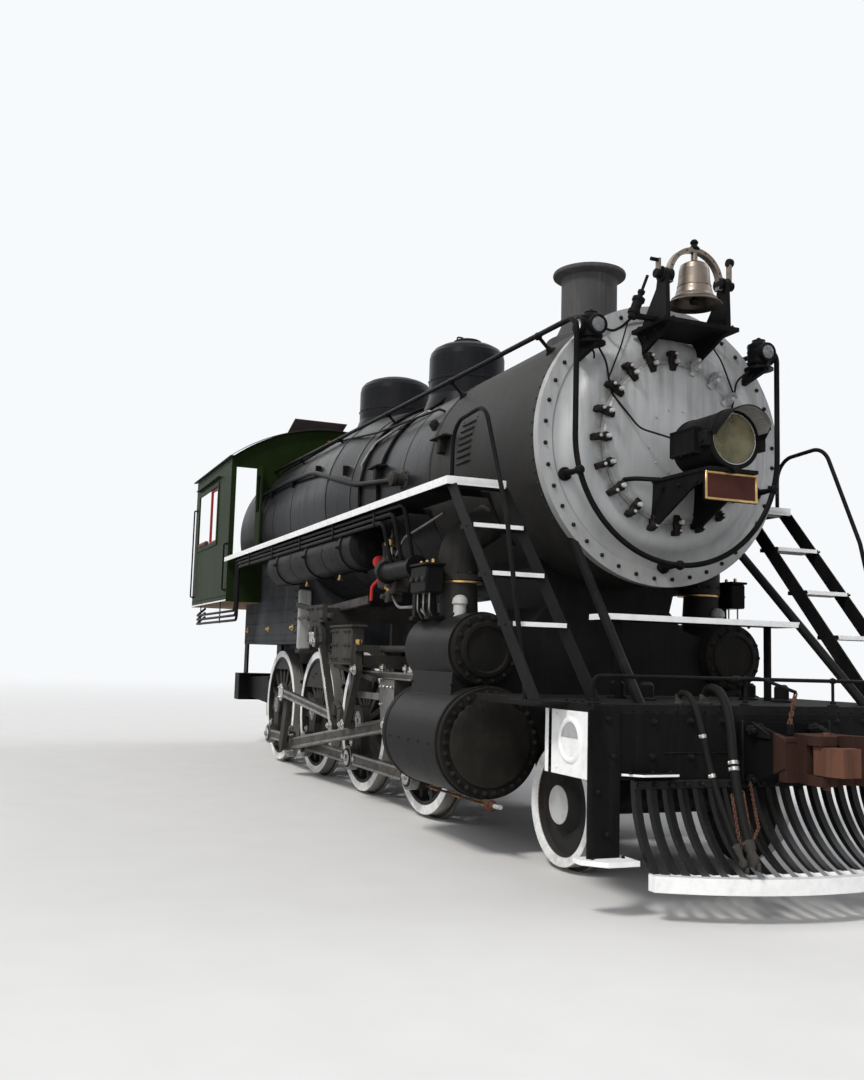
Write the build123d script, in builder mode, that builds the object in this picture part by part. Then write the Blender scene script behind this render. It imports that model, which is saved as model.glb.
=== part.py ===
from build123d import *
from math import sin, cos, radians, degrees, asin, atan2, hypot, sqrt
import os

os.makedirs("parts", exist_ok=True)

# Frame: X forward, Y to the engine's left, Z up, millimetres.
# Z = 0 is the level of the wheel flange tips; X = 0 is the middle of the engine's length.

# rail and wheel sizes
FLANGE_HEIGHT = 28.0
RAIL_TOP = FLANGE_HEIGHT
WHEEL_BACK = 678.0
TYRE_WIDTH = 140.0
WHEEL_FACE = WHEEL_BACK + TYRE_WIDTH
FLANGE_WIDTH = 30.0
FLANGE_SLOPE = 9.0
TREAD_TAPER = 4.0
DRIVER_TREAD_RADIUS = 724.0
PILOT_TREAD_RADIUS = 419.0
DRIVER_AXLE_Z = RAIL_TOP + DRIVER_TREAD_RADIUS
PILOT_AXLE_Z = RAIL_TOP + PILOT_TREAD_RADIUS

# places along the engine
PILOT_AXLE_X = 4600.0
DRIVER_SPACING = 1727.0
DRIVER_1_X = PILOT_AXLE_X - 2530.0
DRIVER_2_X = DRIVER_1_X - DRIVER_SPACING
DRIVER_3_X = DRIVER_2_X - DRIVER_SPACING
DRIVER_4_X = DRIVER_3_X - DRIVER_SPACING

# driving wheels
TYRE_THICKNESS = 75.0
RIM_THICKNESS = 45.0
RIM_RADIUS = DRIVER_TREAD_RADIUS - TYRE_THICKNESS - RIM_THICKNESS
HUB_RADIUS = 165.0
HUB_FACE = 868.0
SPOKE_COUNT = 15
SPOKE_WIDTH = 62.0
SPOKE_THICKNESS = 58.0
SPOKE_MID_Y = 752.0
AXLE_RADIUS = 105.0
CRANK_RADIUS = 381.0
CRANK_BOSS_RADIUS = 125.0
CRANK_PIN_RADIUS = 72.0
COUNTERWEIGHT_FACE = 806.0
COUNTERWEIGHT_BACK = 700.0

# rods
SIDE_ROD_INNER = 885.0
SIDE_ROD_OUTER = 970.0
SIDE_ROD_HEIGHT = 120.0
SIDE_ROD_EYE_RADIUS = 125.0
MAIN_EYE_RADIUS = 150.0
PIN_CLEARANCE = 0.5
PIN_END = 984.0
PIN_CAP_RADIUS = 98.0
PIN_CAP_START = 973.0
ROD_LINE_Y = 1120.0
STUB_START = 990.0
STUB_END = 1178.0
MAIN_ROD_THICKNESS = 80.0
MAIN_ROD_HEIGHT = 120.0
MAIN_BIG_END_RADIUS = 150.0
MAIN_SMALL_END_RADIUS = 88.0
WRIST_PIN_RADIUS = 45.0

# cylinders
CYLINDER_Z = 828.0
CYLINDER_FRONT_X = PILOT_AXLE_X - 560.0
CYLINDER_BACK_X = PILOT_AXLE_X - 1640.0
CYLINDER_JACKET_RADIUS = 405.0
CYLINDER_HEAD_RADIUS = 398.0
CYLINDER_HEAD_THICKNESS = 66.0
VALVE_CHEST_Z = 1502.0
VALVE_CHEST_RADIUS = 282.0
VALVE_HEAD_RADIUS = 266.0
VALVE_FRONT_X = PILOT_AXLE_X - 660.0
VALVE_BACK_X = PILOT_AXLE_X - 1540.0
VALVE_HEAD_THICKNESS = 50.0
SADDLE_FRONT_X = PILOT_AXLE_X - 700.0
SADDLE_BACK_X = PILOT_AXLE_X - 1500.0
SADDLE_HALF_WIDTH = 640.0
SADDLE_TOP_Z = 2300.0
SADDLE_WAIST_Z = 1850.0
PISTON_ROD_RADIUS = 48.0
PISTON_ROD_CLEARANCE = 0.5

# crosshead and guides
CROSSHEAD_REACH = 464.0
WRIST_LEFT_X = CYLINDER_BACK_X - CROSSHEAD_REACH
MAIN_ROD_LENGTH = sqrt(
    (WRIST_LEFT_X - DRIVER_3_X - CRANK_RADIUS) ** 2 + (CYLINDER_Z - DRIVER_AXLE_Z) ** 2
)
WRIST_X = DRIVER_3_X + sqrt(MAIN_ROD_LENGTH**2 - (CYLINDER_Z - DRIVER_AXLE_Z + CRANK_RADIUS) ** 2)
CHEEK_THICKNESS = 30.0
CHEEK_GAP = 5.0
CROSSHEAD_HALF_LENGTH = 190.0
GUIDE_LOWER_Z = 1030.0
GUIDE_LOWER_HEIGHT = 60.0
SLIPPER_GAP = 5.0
SLIPPER_HEIGHT = 130.0
GUIDE_UPPER_HEIGHT = 65.0
GUIDE_LOWER_HALF_WIDTH = 38.0
GUIDE_UPPER_HALF_WIDTH = 75.0
YOKE_X = DRIVER_1_X - 890.0
YOKE_THICKNESS = 50.0
YOKE_BEAM_Z = 1310.0
YOKE_BEAM_HEIGHT = 130.0
YOKE_OUTER = 1250.0

# frame
FRAME_INNER = 472.0
FRAME_OUTER = 588.0
FRAME_TOP_Z = 1130.0
FRAME_BOTTOM_Z = 455.0
FRAME_RAIL = 110.0
PEDESTAL_HALF_OPENING = 175.0
PEDESTAL_LEG = 115.0
FRAME_FRONT_X = DRIVER_1_X + 640.0
FRAME_BACK_X = DRIVER_4_X - 700.0
FRONT_RAIL_BOTTOM_Z = 900.0
FRONT_RAIL_TOP_Z = 1050.0
BEAM_FRONT_X = PILOT_AXLE_X + 1286.0
BEAM_THICKNESS = 200.0
BEAM_BOTTOM_Z = 760.0
DECK_TOP_Z = RAIL_TOP + 1165.0
DECK_THICKNESS = 50.0
BEAM_HALF_WIDTH = 1327.0
BEAM_END_WIDTH = 120.0
BEAM_END_DEPTH = 565.0
BEAM_GROOVE = 70.0
DECK_BACK_X = PILOT_AXLE_X - 300.0
TAIL_END_X = PILOT_AXLE_X - 10950.0

# boiler
BOILER_Z = RAIL_TOP + 3015.0
SMOKEBOX_RADIUS = 1036.0
SMOKEBOX_FRONT_X = PILOT_AXLE_X - 40.0
SMOKEBOX_BACK_X = PILOT_AXLE_X - 2080.0
FRONT_RING_RADIUS = 1052.0
FRONT_RING_THICKNESS = 70.0
DOOR_RADIUS = 590.0
BARREL_RADIUS = 1030.0
CONE_START_X = PILOT_AXLE_X - 3450.0
CONE_END_X = PILOT_AXLE_X - 5000.0
BACK_RADIUS = 1115.0
BACK_CENTRE_Z = 3170.0
BACKHEAD_X = PILOT_AXLE_X - 9350.0
STACK_X = PILOT_AXLE_X - 1083.0
STACK_TOP_Z = RAIL_TOP + 4694.0
STACK_RADIUS = 235.0
STACK_LIP_RADIUS = 295.0
STACK_BORE = 205.0
SAND_DOME_X = PILOT_AXLE_X - 3620.0
SAND_DOME_RADIUS = 400.0
SAND_DOME_TOP_Z = RAIL_TOP + 4760.0
STEAM_DOME_X = PILOT_AXLE_X - 5780.0
STEAM_DOME_RADIUS = 450.0
STEAM_DOME_TOP_Z = RAIL_TOP + 4865.0
FIREBOX_FRONT_X = PILOT_AXLE_X - 6330.0
FIREBOX_BACK_X = PILOT_AXLE_X - 9250.0
FIREBOX_HALF_WIDTH = 1000.0
FIREBOX_BOTTOM_Z = 1560.0
FIREBOX_TOP_Z = 3110.0
ASHPAN_HALF_WIDTH = 440.0
ASHPAN_BOTTOM_Z = 1140.0

# running boards and ladders
BOARD_TOP_Z = RAIL_TOP + 2717.0
BOARD_THICKNESS = 12.0
BOARD_LIP = 60.0
BOARD_OUTER = 1551.0
BOARD_INNER_FRONT = 1075.0
BOARD_INNER_BACK = 1150.0
BOARD_FRONT_X = PILOT_AXLE_X - 410.0
BOARD_BACK_X = PILOT_AXLE_X - 8300.0
LADDER_OUTER = 1510.0
LADDER_INNER = 1100.0
LADDER_FOOT_X = PILOT_AXLE_X + 990.0
LADDER_HEAD_X = PILOT_AXLE_X - 350.0
LADDER_PLATE = 10.0
LADDER_PLATE_WIDTH = 150.0

# cab
CAB_FRONT_X = PILOT_AXLE_X - 8330.0
CAB_BACK_X = PILOT_AXLE_X - 11000.0
CAB_HALF_WIDTH = 1500.0
CAB_WALL = 8.0
CAB_FLOOR_Z = 2138.0
EAVE_Z = 4180.0
ROOF_CROWN_Z = 4700.0
ROOF_FRONT_X = CAB_FRONT_X + 60.0
ROOF_BACK_X = CAB_BACK_X - 150.0
ROOF_SHEET = CAB_WALL
DOORWAY_INNER = 1120.0
DOORWAY_OUTER = 1430.0
DOORWAY_BOTTOM_Z = 2760.0
DOORWAY_TOP_Z = 4040.0
DOOR_THICKNESS = 26.0
WINDOW_FRONT_X = CAB_FRONT_X - 900.0
WINDOW_BACK_X = CAB_FRONT_X - 2330.0
WINDOW_BOTTOM_Z = 3060.0
WINDOW_TOP_Z = 3880.0
HATCH_FRONT_X = PILOT_AXLE_X - 9080.0
HATCH_BACK_X = PILOT_AXLE_X - 9880.0
HATCH_HALF_WIDTH = 400.0
HATCH_OPEN_ANGLE = 18.0

DRIVERS = [
    # name, axle place, widest half angle of the counterweight, crank pin end
    ("driver_wheelset_1", DRIVER_1_X, 38.0),
    ("driver_wheelset_2", DRIVER_2_X, 38.0),
    ("driver_wheelset_3", DRIVER_3_X, 62.0),
    ("driver_wheelset_4", DRIVER_4_X, 38.0),
]


def side_plane(y):
    """Plane facing the engine's right at a given Y, with X forward and Z up."""
    return Plane.XZ.offset(-y)


def high_y(side, inner, outer):
    """The higher Y of a piece that lies between two distances on one side."""
    return max(side * inner, side * outer)


def crank_offset(side):
    """Crank pin place about its axle: right pin at the bottom, left pin a quarter turn ahead."""
    if side < 0:
        return (0.0, -CRANK_RADIUS)
    return (CRANK_RADIUS, 0.0)


# driving wheelsets: axle, two spoked wheels and their crank pins
for wheel_name, axle_x, weight_half_angle in DRIVERS:
    with BuildPart() as wheelset:
        with Locations((axle_x, 0, DRIVER_AXLE_Z)):
            Cylinder(AXLE_RADIUS, 2 * WHEEL_BACK, rotation=(90, 0, 0))
        axle_line = Axis((axle_x, 0, DRIVER_AXLE_Z), (0, 1, 0))
        section_plane = Plane(origin=(axle_x, 0, DRIVER_AXLE_Z), x_dir=(0, 1, 0), z_dir=(1, 0, 0))
        flange_radius = DRIVER_TREAD_RADIUS + FLANGE_HEIGHT
        for side in (-1, 1):
            with BuildSketch(section_plane):
                with BuildLine():
                    Polyline(
                        (side * WHEEL_BACK, RIM_RADIUS),
                        (side * WHEEL_BACK, flange_radius),
                        (side * (WHEEL_BACK + FLANGE_WIDTH), flange_radius),
                        (side * (WHEEL_BACK + FLANGE_WIDTH + FLANGE_SLOPE), DRIVER_TREAD_RADIUS),
                        (side * WHEEL_FACE, DRIVER_TREAD_RADIUS - TREAD_TAPER),
                        (side * WHEEL_FACE, RIM_RADIUS),
                        close=True,
                    )
                make_face()
            revolve(axis=axle_line)
            hub_middle = side * (WHEEL_BACK + HUB_FACE) / 2
            with Locations((axle_x, hub_middle, DRIVER_AXLE_Z)):
                Cylinder(HUB_RADIUS, HUB_FACE - WHEEL_BACK, rotation=(90, 0, 0))
            for number in range(SPOKE_COUNT):
                turn = 360.0 * number / SPOKE_COUNT
                middle = (HUB_RADIUS + RIM_RADIUS) / 2
                place = (
                    axle_x + middle * sin(radians(turn)),
                    side * SPOKE_MID_Y,
                    DRIVER_AXLE_Z + middle * cos(radians(turn)),
                )
                with Locations(Location(place, (0, turn, 0))):
                    Box(SPOKE_WIDTH, SPOKE_THICKNESS, RIM_RADIUS - HUB_RADIUS + 40)
            pin_x, pin_z = crank_offset(side)
            weight_line = RIM_RADIUS * cos(radians(weight_half_angle))
            weight_turn = degrees(atan2(-pin_z, -pin_x))
            with BuildSketch(side_plane(high_y(side, COUNTERWEIGHT_BACK, COUNTERWEIGHT_FACE))):
                with Locations(Location((axle_x, DRIVER_AXLE_Z), weight_turn)):
                    Circle(RIM_RADIUS + 5)
                    with Locations(((weight_line - 800) / 2 - 400, 0)):
                        Rectangle(800 + weight_line + 800, 1600, mode=Mode.SUBTRACT)
            extrude(amount=COUNTERWEIGHT_FACE - COUNTERWEIGHT_BACK)
            with BuildSketch(side_plane(high_y(side, SPOKE_MID_Y - 30, HUB_FACE))):
                with Locations((axle_x + pin_x, DRIVER_AXLE_Z + pin_z)):
                    Circle(CRANK_BOSS_RADIUS)
                with Locations(
                    Location((axle_x + pin_x / 2, DRIVER_AXLE_Z + pin_z / 2), degrees(atan2(pin_z, pin_x)))
                ):
                    Rectangle(CRANK_RADIUS, 2 * CRANK_BOSS_RADIUS - 20)
            extrude(amount=HUB_FACE - SPOKE_MID_Y + 30)
            with Locations((axle_x + pin_x, side * (HUB_FACE + PIN_END) / 2, DRIVER_AXLE_Z + pin_z)):
                Cylinder(CRANK_PIN_RADIUS, PIN_END - HUB_FACE, rotation=(90, 0, 0))
            with Locations((axle_x + pin_x, side * (PIN_CAP_START + PIN_END) / 2, DRIVER_AXLE_Z + pin_z)):
                Cylinder(PIN_CAP_RADIUS, PIN_END - PIN_CAP_START, rotation=(90, 0, 0))
    wheelset.part.label = wheel_name
    export_step(wheelset.part, "parts/" + wheel_name + ".step")

# side rods, one assembly on each side, riding on all four crank pins
for rod_name, side in (("side_rods_right", -1), ("side_rods_left", 1)):
    pin_x, pin_z = crank_offset(side)
    rod_z = DRIVER_AXLE_Z + pin_z
    with BuildPart() as side_rods:
        with BuildSketch(side_plane(high_y(side, SIDE_ROD_INNER, SIDE_ROD_OUTER))):
            for axle_x in (DRIVER_1_X, DRIVER_2_X, DRIVER_3_X, DRIVER_4_X):
                eye = MAIN_EYE_RADIUS if axle_x == DRIVER_3_X else SIDE_ROD_EYE_RADIUS
                with Locations((axle_x + pin_x, rod_z)):
                    Circle(eye)
        extrude(amount=SIDE_ROD_OUTER - SIDE_ROD_INNER)
        bar_length = DRIVER_1_X - DRIVER_4_X
        with Locations(
            ((DRIVER_1_X + DRIVER_4_X) / 2 + pin_x, side * (SIDE_ROD_INNER + SIDE_ROD_OUTER) / 2, rod_z)
        ):
            Box(bar_length, SIDE_ROD_OUTER - SIDE_ROD_INNER - 24, SIDE_ROD_HEIGHT)
        for axle_x in (DRIVER_1_X, DRIVER_2_X, DRIVER_3_X, DRIVER_4_X):
            with Locations((axle_x + pin_x, side * (SIDE_ROD_INNER + SIDE_ROD_OUTER) / 2, rod_z)):
                Cylinder(CRANK_PIN_RADIUS + PIN_CLEARANCE, 200, rotation=(90, 0, 0), mode=Mode.SUBTRACT)
    side_rods.part.label = rod_name
    export_step(side_rods.part, "parts/" + rod_name + ".step")

# main rods with the outer stub of the main crank pin
for rod_name, side, wrist_x in (("main_rod_right", -1, WRIST_X), ("main_rod_left", 1, WRIST_LEFT_X)):
    pin_x, pin_z = crank_offset(side)
    big_x = DRIVER_3_X + pin_x
    big_z = DRIVER_AXLE_Z + pin_z
    slope = degrees(atan2(CYLINDER_Z - big_z, wrist_x - big_x))
    with BuildPart() as main_rod:
        rod_inner = ROD_LINE_Y - MAIN_ROD_THICKNESS / 2
        rod_outer = ROD_LINE_Y + MAIN_ROD_THICKNESS / 2
        with BuildSketch(side_plane(high_y(side, rod_inner, rod_outer))):
            with Locations((wrist_x, CYLINDER_Z)):
                Circle(MAIN_SMALL_END_RADIUS)
            with Locations((big_x, big_z)):
                Circle(MAIN_BIG_END_RADIUS)
            with Locations(Location(((wrist_x + big_x) / 2, (CYLINDER_Z + big_z) / 2), slope)):
                Rectangle(MAIN_ROD_LENGTH, MAIN_ROD_HEIGHT)
            with Locations((wrist_x, CYLINDER_Z)):
                Circle(WRIST_PIN_RADIUS + PIN_CLEARANCE, mode=Mode.SUBTRACT)
        extrude(amount=MAIN_ROD_THICKNESS)
        with Locations((big_x, side * (STUB_START + STUB_END) / 2, big_z)):
            Cylinder(CRANK_PIN_RADIUS, STUB_END - STUB_START, rotation=(90, 0, 0))
    main_rod.part.label = rod_name
    export_step(main_rod.part, "parts/" + rod_name + ".step")

# crossheads with their piston rods
SLIPPER_BOTTOM_Z = GUIDE_LOWER_Z + GUIDE_LOWER_HEIGHT + SLIPPER_GAP
SLIPPER_TOP_Z = SLIPPER_BOTTOM_Z + SLIPPER_HEIGHT
CHEEK_INNER_EDGE = MAIN_ROD_THICKNESS / 2 + CHEEK_GAP
CHEEK_OUTER_EDGE = CHEEK_INNER_EDGE + CHEEK_THICKNESS
for head_name, side, wrist_x, rod_reach in (
    ("crosshead_right", -1, WRIST_X, 1150.0),
    ("crosshead_left", 1, WRIST_LEFT_X, 1250.0),
):
    with BuildPart() as crosshead:
        for edge in (-1, 1):
            cheek_a = ROD_LINE_Y + edge * CHEEK_INNER_EDGE
            cheek_b = ROD_LINE_Y + edge * CHEEK_OUTER_EDGE
            with BuildSketch(side_plane(high_y(side, cheek_a, cheek_b))):
                with BuildLine():
                    Polyline(
                        (wrist_x - CROSSHEAD_HALF_LENGTH, SLIPPER_TOP_Z),
                        (wrist_x - CROSSHEAD_HALF_LENGTH, SLIPPER_BOTTOM_Z - 30),
                        (wrist_x - 110, CYLINDER_Z - 95),
                        (wrist_x + 160, CYLINDER_Z - 95),
                        (wrist_x + CROSSHEAD_HALF_LENGTH, SLIPPER_BOTTOM_Z - 30),
                        (wrist_x + CROSSHEAD_HALF_LENGTH, SLIPPER_TOP_Z),
                        close=True,
                    )
                make_face()
            extrude(amount=CHEEK_THICKNESS)
        with Locations((wrist_x, side * ROD_LINE_Y, (SLIPPER_BOTTOM_Z + SLIPPER_TOP_Z) / 2)):
            Box(2 * CROSSHEAD_HALF_LENGTH, 2 * CHEEK_OUTER_EDGE, SLIPPER_HEIGHT)
        with Locations((wrist_x + 140, side * ROD_LINE_Y, CYLINDER_Z)):
            Box(70, 2 * CHEEK_OUTER_EDGE, 190)
        with Locations((wrist_x, side * ROD_LINE_Y, CYLINDER_Z)):
            Cylinder(WRIST_PIN_RADIUS, 2 * CHEEK_OUTER_EDGE + 10, rotation=(90, 0, 0))
        with Locations((wrist_x + 110 + rod_reach / 2, side * ROD_LINE_Y, CYLINDER_Z)):
            Cylinder(PISTON_ROD_RADIUS, rod_reach, rotation=(0, 90, 0))
    crosshead.part.label = head_name
    export_step(crosshead.part, "parts/" + head_name + ".step")

# crosshead guides and the yoke that carries their back ends
with BuildPart() as guides:
    for side in (-1, 1):
        guide_front = CYLINDER_BACK_X - CYLINDER_HEAD_THICKNESS
        guide_back = YOKE_X + YOKE_THICKNESS / 2
        guide_middle = (guide_front + guide_back) / 2
        guide_length = guide_front - guide_back
        with Locations((guide_middle, side * ROD_LINE_Y, GUIDE_LOWER_Z + GUIDE_LOWER_HEIGHT / 2)):
            Box(guide_length, 2 * GUIDE_LOWER_HALF_WIDTH, GUIDE_LOWER_HEIGHT)
        upper_z = SLIPPER_TOP_Z + SLIPPER_GAP
        with Locations((guide_middle, side * ROD_LINE_Y, upper_z + GUIDE_UPPER_HEIGHT / 2)):
            Box(guide_length, 2 * GUIDE_UPPER_HALF_WIDTH, GUIDE_UPPER_HEIGHT)
        with Locations((YOKE_X, side * (1020 + YOKE_OUTER) / 2, (GUIDE_LOWER_Z + YOKE_BEAM_Z) / 2)):
            Box(YOKE_THICKNESS, YOKE_OUTER - 1020, YOKE_BEAM_Z - GUIDE_LOWER_Z)
        with Locations((YOKE_X, side * (FRAME_INNER + FRAME_OUTER) / 2, (FRAME_TOP_Z + YOKE_BEAM_Z) / 2)):
            Box(YOKE_THICKNESS, FRAME_OUTER - FRAME_INNER, YOKE_BEAM_Z - FRAME_TOP_Z)
    with Locations((YOKE_X, 0, YOKE_BEAM_Z + YOKE_BEAM_HEIGHT / 2)):
        Box(YOKE_THICKNESS, 2 * YOKE_OUTER, YOKE_BEAM_HEIGHT)
guides.part.label = "guides"
export_step(guides.part, "parts/guides.step")

# bar frames with their cross ties, one of which holds the pin of the pilot truck
TRUCK_PIVOT_X = PILOT_AXLE_X - 1600.0
TRUCK_PIN_RADIUS = 40.0
FRAME_TIES = [
    # place along the engine, bottom, top, thickness
    (DRIVER_1_X - DRIVER_SPACING / 2, 600.0, 1130.0, 60.0),
    (DRIVER_2_X - DRIVER_SPACING / 2, 600.0, 1130.0, 60.0),
    (DRIVER_3_X - DRIVER_SPACING / 2, 600.0, 1130.0, 60.0),
    (FRAME_BACK_X - 60.0, 760.0, 1050.0, 60.0),
    (PILOT_AXLE_X + 300.0, 900.0, 1050.0, 60.0),
]
FRAME_AXLES = (DRIVER_1_X, DRIVER_2_X, DRIVER_3_X, DRIVER_4_X)
with BuildPart() as main_frame:
    for side in (-1, 1):
        with BuildSketch(side_plane(high_y(side, FRAME_INNER, FRAME_OUTER))):
            with BuildLine():
                Polyline(
                    (BEAM_FRONT_X - BEAM_THICKNESS, FRONT_RAIL_BOTTOM_Z),
                    (BEAM_FRONT_X - BEAM_THICKNESS, FRONT_RAIL_TOP_Z),
                    (FRAME_FRONT_X, FRONT_RAIL_TOP_Z),
                    (FRAME_FRONT_X, FRAME_TOP_Z),
                    (FRAME_BACK_X, FRAME_TOP_Z),
                    (TAIL_END_X + 300, FRONT_RAIL_TOP_Z),
                    (TAIL_END_X + 300, FRONT_RAIL_BOTTOM_Z - 150),
                    (FRAME_BACK_X, FRAME_BOTTOM_Z + 200),
                    (FRAME_BACK_X + 250, FRAME_BOTTOM_Z),
                    (FRAME_FRONT_X, FRAME_BOTTOM_Z),
                    (FRAME_FRONT_X, FRONT_RAIL_BOTTOM_Z),
                    close=True,
                )
            make_face()
            window_bottom = FRAME_BOTTOM_Z + FRAME_RAIL
            window_top = FRAME_TOP_Z - FRAME_RAIL
            window_height = window_top - window_bottom
            for axle_x in FRAME_AXLES:
                with Locations((axle_x, (window_bottom + window_top) / 2)):
                    Rectangle(2 * PEDESTAL_HALF_OPENING, window_height, mode=Mode.SUBTRACT)
            for front_axle, back_axle in zip(FRAME_AXLES[:-1], FRAME_AXLES[1:]):
                gap = front_axle - back_axle - 2 * (PEDESTAL_HALF_OPENING + PEDESTAL_LEG)
                with Locations(((front_axle + back_axle) / 2, (window_bottom + window_top) / 2)):
                    Rectangle(gap, window_height, mode=Mode.SUBTRACT)
        extrude(amount=FRAME_OUTER - FRAME_INNER)
    for tie_x, tie_bottom, tie_top, tie_thickness in FRAME_TIES:
        with Locations((tie_x, 0, (tie_bottom + tie_top) / 2)):
            Box(tie_thickness, 2 * FRAME_INNER, tie_top - tie_bottom)
    for bearer_x in (FIREBOX_FRONT_X - 200, FIREBOX_BACK_X + 300):
        for side in (-1, 1):
            with Locations(
                (bearer_x, side * (FRAME_INNER + FRAME_OUTER) / 2, (FRAME_TOP_Z + FIREBOX_BOTTOM_Z) / 2)
            ):
                Box(260, 40, FIREBOX_BOTTOM_Z - FRAME_TOP_Z)
    with Locations((TRUCK_PIVOT_X, 0, 870.0)):
        Box(160, 2 * FRAME_INNER, 360)
    with Locations((TRUCK_PIVOT_X, 0, 590.0)):
        Cylinder(TRUCK_PIN_RADIUS, 200)
main_frame.part.label = "main_frame"
export_step(main_frame.part, "parts/main_frame.step")

# driving boxes in the pedestals
BOX_INNER = FRAME_INNER - 20.0
BOX_OUTER = FRAME_OUTER + 20.0
with BuildPart() as axle_boxes:
    for axle_x in FRAME_AXLES:
        for side in (-1, 1):
            with Locations((axle_x, side * (BOX_INNER + BOX_OUTER) / 2, DRIVER_AXLE_Z)):
                Box(2 * PEDESTAL_HALF_OPENING, FRAME_OUTER - FRAME_INNER, 360)
            for face in (BOX_INNER + 10, BOX_OUTER - 10):
                with Locations((axle_x, side * face, DRIVER_AXLE_Z)):
                    Box(2 * PEDESTAL_HALF_OPENING + 50, 20, 340)
        with Locations((axle_x, 0, DRIVER_AXLE_Z)):
            Cylinder(AXLE_RADIUS + PIN_CLEARANCE, 1400, rotation=(90, 0, 0), mode=Mode.SUBTRACT)
axle_boxes.part.label = "axle_boxes"
export_step(axle_boxes.part, "parts/axle_boxes.step")

# brake shoes behind the driving wheels, on hangers from the frame
SHOE_GAP = 10.0
SHOE_THICKNESS = 55.0
SHOE_HALF_HEIGHT = 190.0
SHOE_INNER = WHEEL_BACK + FLANGE_WIDTH + FLANGE_SLOPE + 8.0
SHOE_OUTER = WHEEL_FACE - 8.0
BRAKE_PIN_Z = 1085.0
with BuildPart() as brake_gear:
    for axle_x in FRAME_AXLES:
        for side in (-1, 1):
            shoe_inside = DRIVER_TREAD_RADIUS + SHOE_GAP
            with BuildSketch(side_plane(high_y(side, SHOE_INNER, SHOE_OUTER))):
                with Locations((axle_x, DRIVER_AXLE_Z)):
                    Circle(shoe_inside + SHOE_THICKNESS)
                    Circle(shoe_inside, mode=Mode.SUBTRACT)
                with Locations((axle_x - shoe_inside - 10, DRIVER_AXLE_Z)):
                    Rectangle(200, 2 * SHOE_HALF_HEIGHT, mode=Mode.INTERSECT)
            extrude(amount=SHOE_OUTER - SHOE_INNER)
            hanger_x = axle_x - shoe_inside - SHOE_THICKNESS
            shoe_y = (SHOE_INNER + SHOE_OUTER) / 2
            with Locations((hanger_x - 4, side * shoe_y, (DRIVER_AXLE_Z - 60 + BRAKE_PIN_Z) / 2)):
                Box(26, 44, BRAKE_PIN_Z + 60 - DRIVER_AXLE_Z)
            with Locations((hanger_x - 4, side * (FRAME_OUTER + SHOE_OUTER) / 2, BRAKE_PIN_Z)):
                Cylinder(26, SHOE_OUTER - FRAME_OUTER, rotation=(90, 0, 0))
brake_gear.part.label = "brake_gear"
export_step(brake_gear.part, "parts/brake_gear.step")

# tail casting with the drawbar pocket
with BuildPart() as drawbar_casting:
    with Locations((TAIL_END_X + 150, 0, 900)):
        Box(300, 1500, 420)
    for side in (-1, 1):
        with Locations((TAIL_END_X + 200, side * 620, (1110 + CAB_FLOOR_Z) / 2)):
            Box(200, 30, CAB_FLOOR_Z - 1110)
    with Locations((TAIL_END_X + 110, 0, 900)):
        Box(230, 420, 160, mode=Mode.SUBTRACT)
    with Locations((TAIL_END_X + 120, 0, 900)):
        Cylinder(45, 600, mode=Mode.SUBTRACT)
drawbar_casting.part.label = "drawbar_casting"
export_step(drawbar_casting.part, "parts/drawbar_casting.step")

# smokebox: a plain drum under the stack
with BuildPart() as smokebox:
    with Locations(((SMOKEBOX_FRONT_X + SMOKEBOX_BACK_X) / 2, 0, BOILER_Z)):
        Cylinder(SMOKEBOX_RADIUS, SMOKEBOX_FRONT_X - SMOKEBOX_BACK_X, rotation=(0, 90, 0))
smokebox.part.label = "smokebox"
export_step(smokebox.part, "parts/smokebox.step")

# smokebox front, pressed out towards its round door
RING_FRONT_X = SMOKEBOX_FRONT_X + FRONT_RING_THICKNESS
PLATE_FACE_X = SMOKEBOX_FRONT_X + 160.0
front_section = Plane(origin=(SMOKEBOX_FRONT_X, 0, BOILER_Z), x_dir=(1, 0, 0), z_dir=(0, -1, 0))
with BuildPart() as smokebox_front:
    with BuildSketch(front_section):
        with BuildLine():
            Polyline(
                (160.0, 700.0),
                (160.0, 0.0),
                (0.0, 0.0),
                (0.0, FRONT_RING_RADIUS),
                (FRONT_RING_THICKNESS, FRONT_RING_RADIUS),
                (FRONT_RING_THICKNESS, 940.0),
                (60.0, 925.0),
            )
            ThreePointArc((60.0, 925.0), (78.0, 858.0), (118.0, 802.0))
            ThreePointArc((118.0, 802.0), (149.0, 756.0), (160.0, 700.0))
        make_face()
    revolve(axis=Axis((0, 0, BOILER_Z), (1, 0, 0)))
smokebox_front.part.label = "smokebox_front"
export_step(smokebox_front.part, "parts/smokebox_front.step")

with BuildPart() as smokebox_door:
    with BuildSketch(front_section):
        with BuildLine():
            Polyline(
                (160.0, 0.0),
                (160.0, DOOR_RADIUS),
                (188.0, DOOR_RADIUS),
                (198.0, DOOR_RADIUS - 14.0),
                (211.0, 440.0),
                (220.0, 250.0),
                (222.0, 0.0),
                close=True,
            )
        make_face()
    revolve(axis=Axis((0, 0, BOILER_Z), (1, 0, 0)))
smokebox_door.part.label = "smokebox_door"
export_step(smokebox_door.part, "parts/smokebox_door.step")

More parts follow.
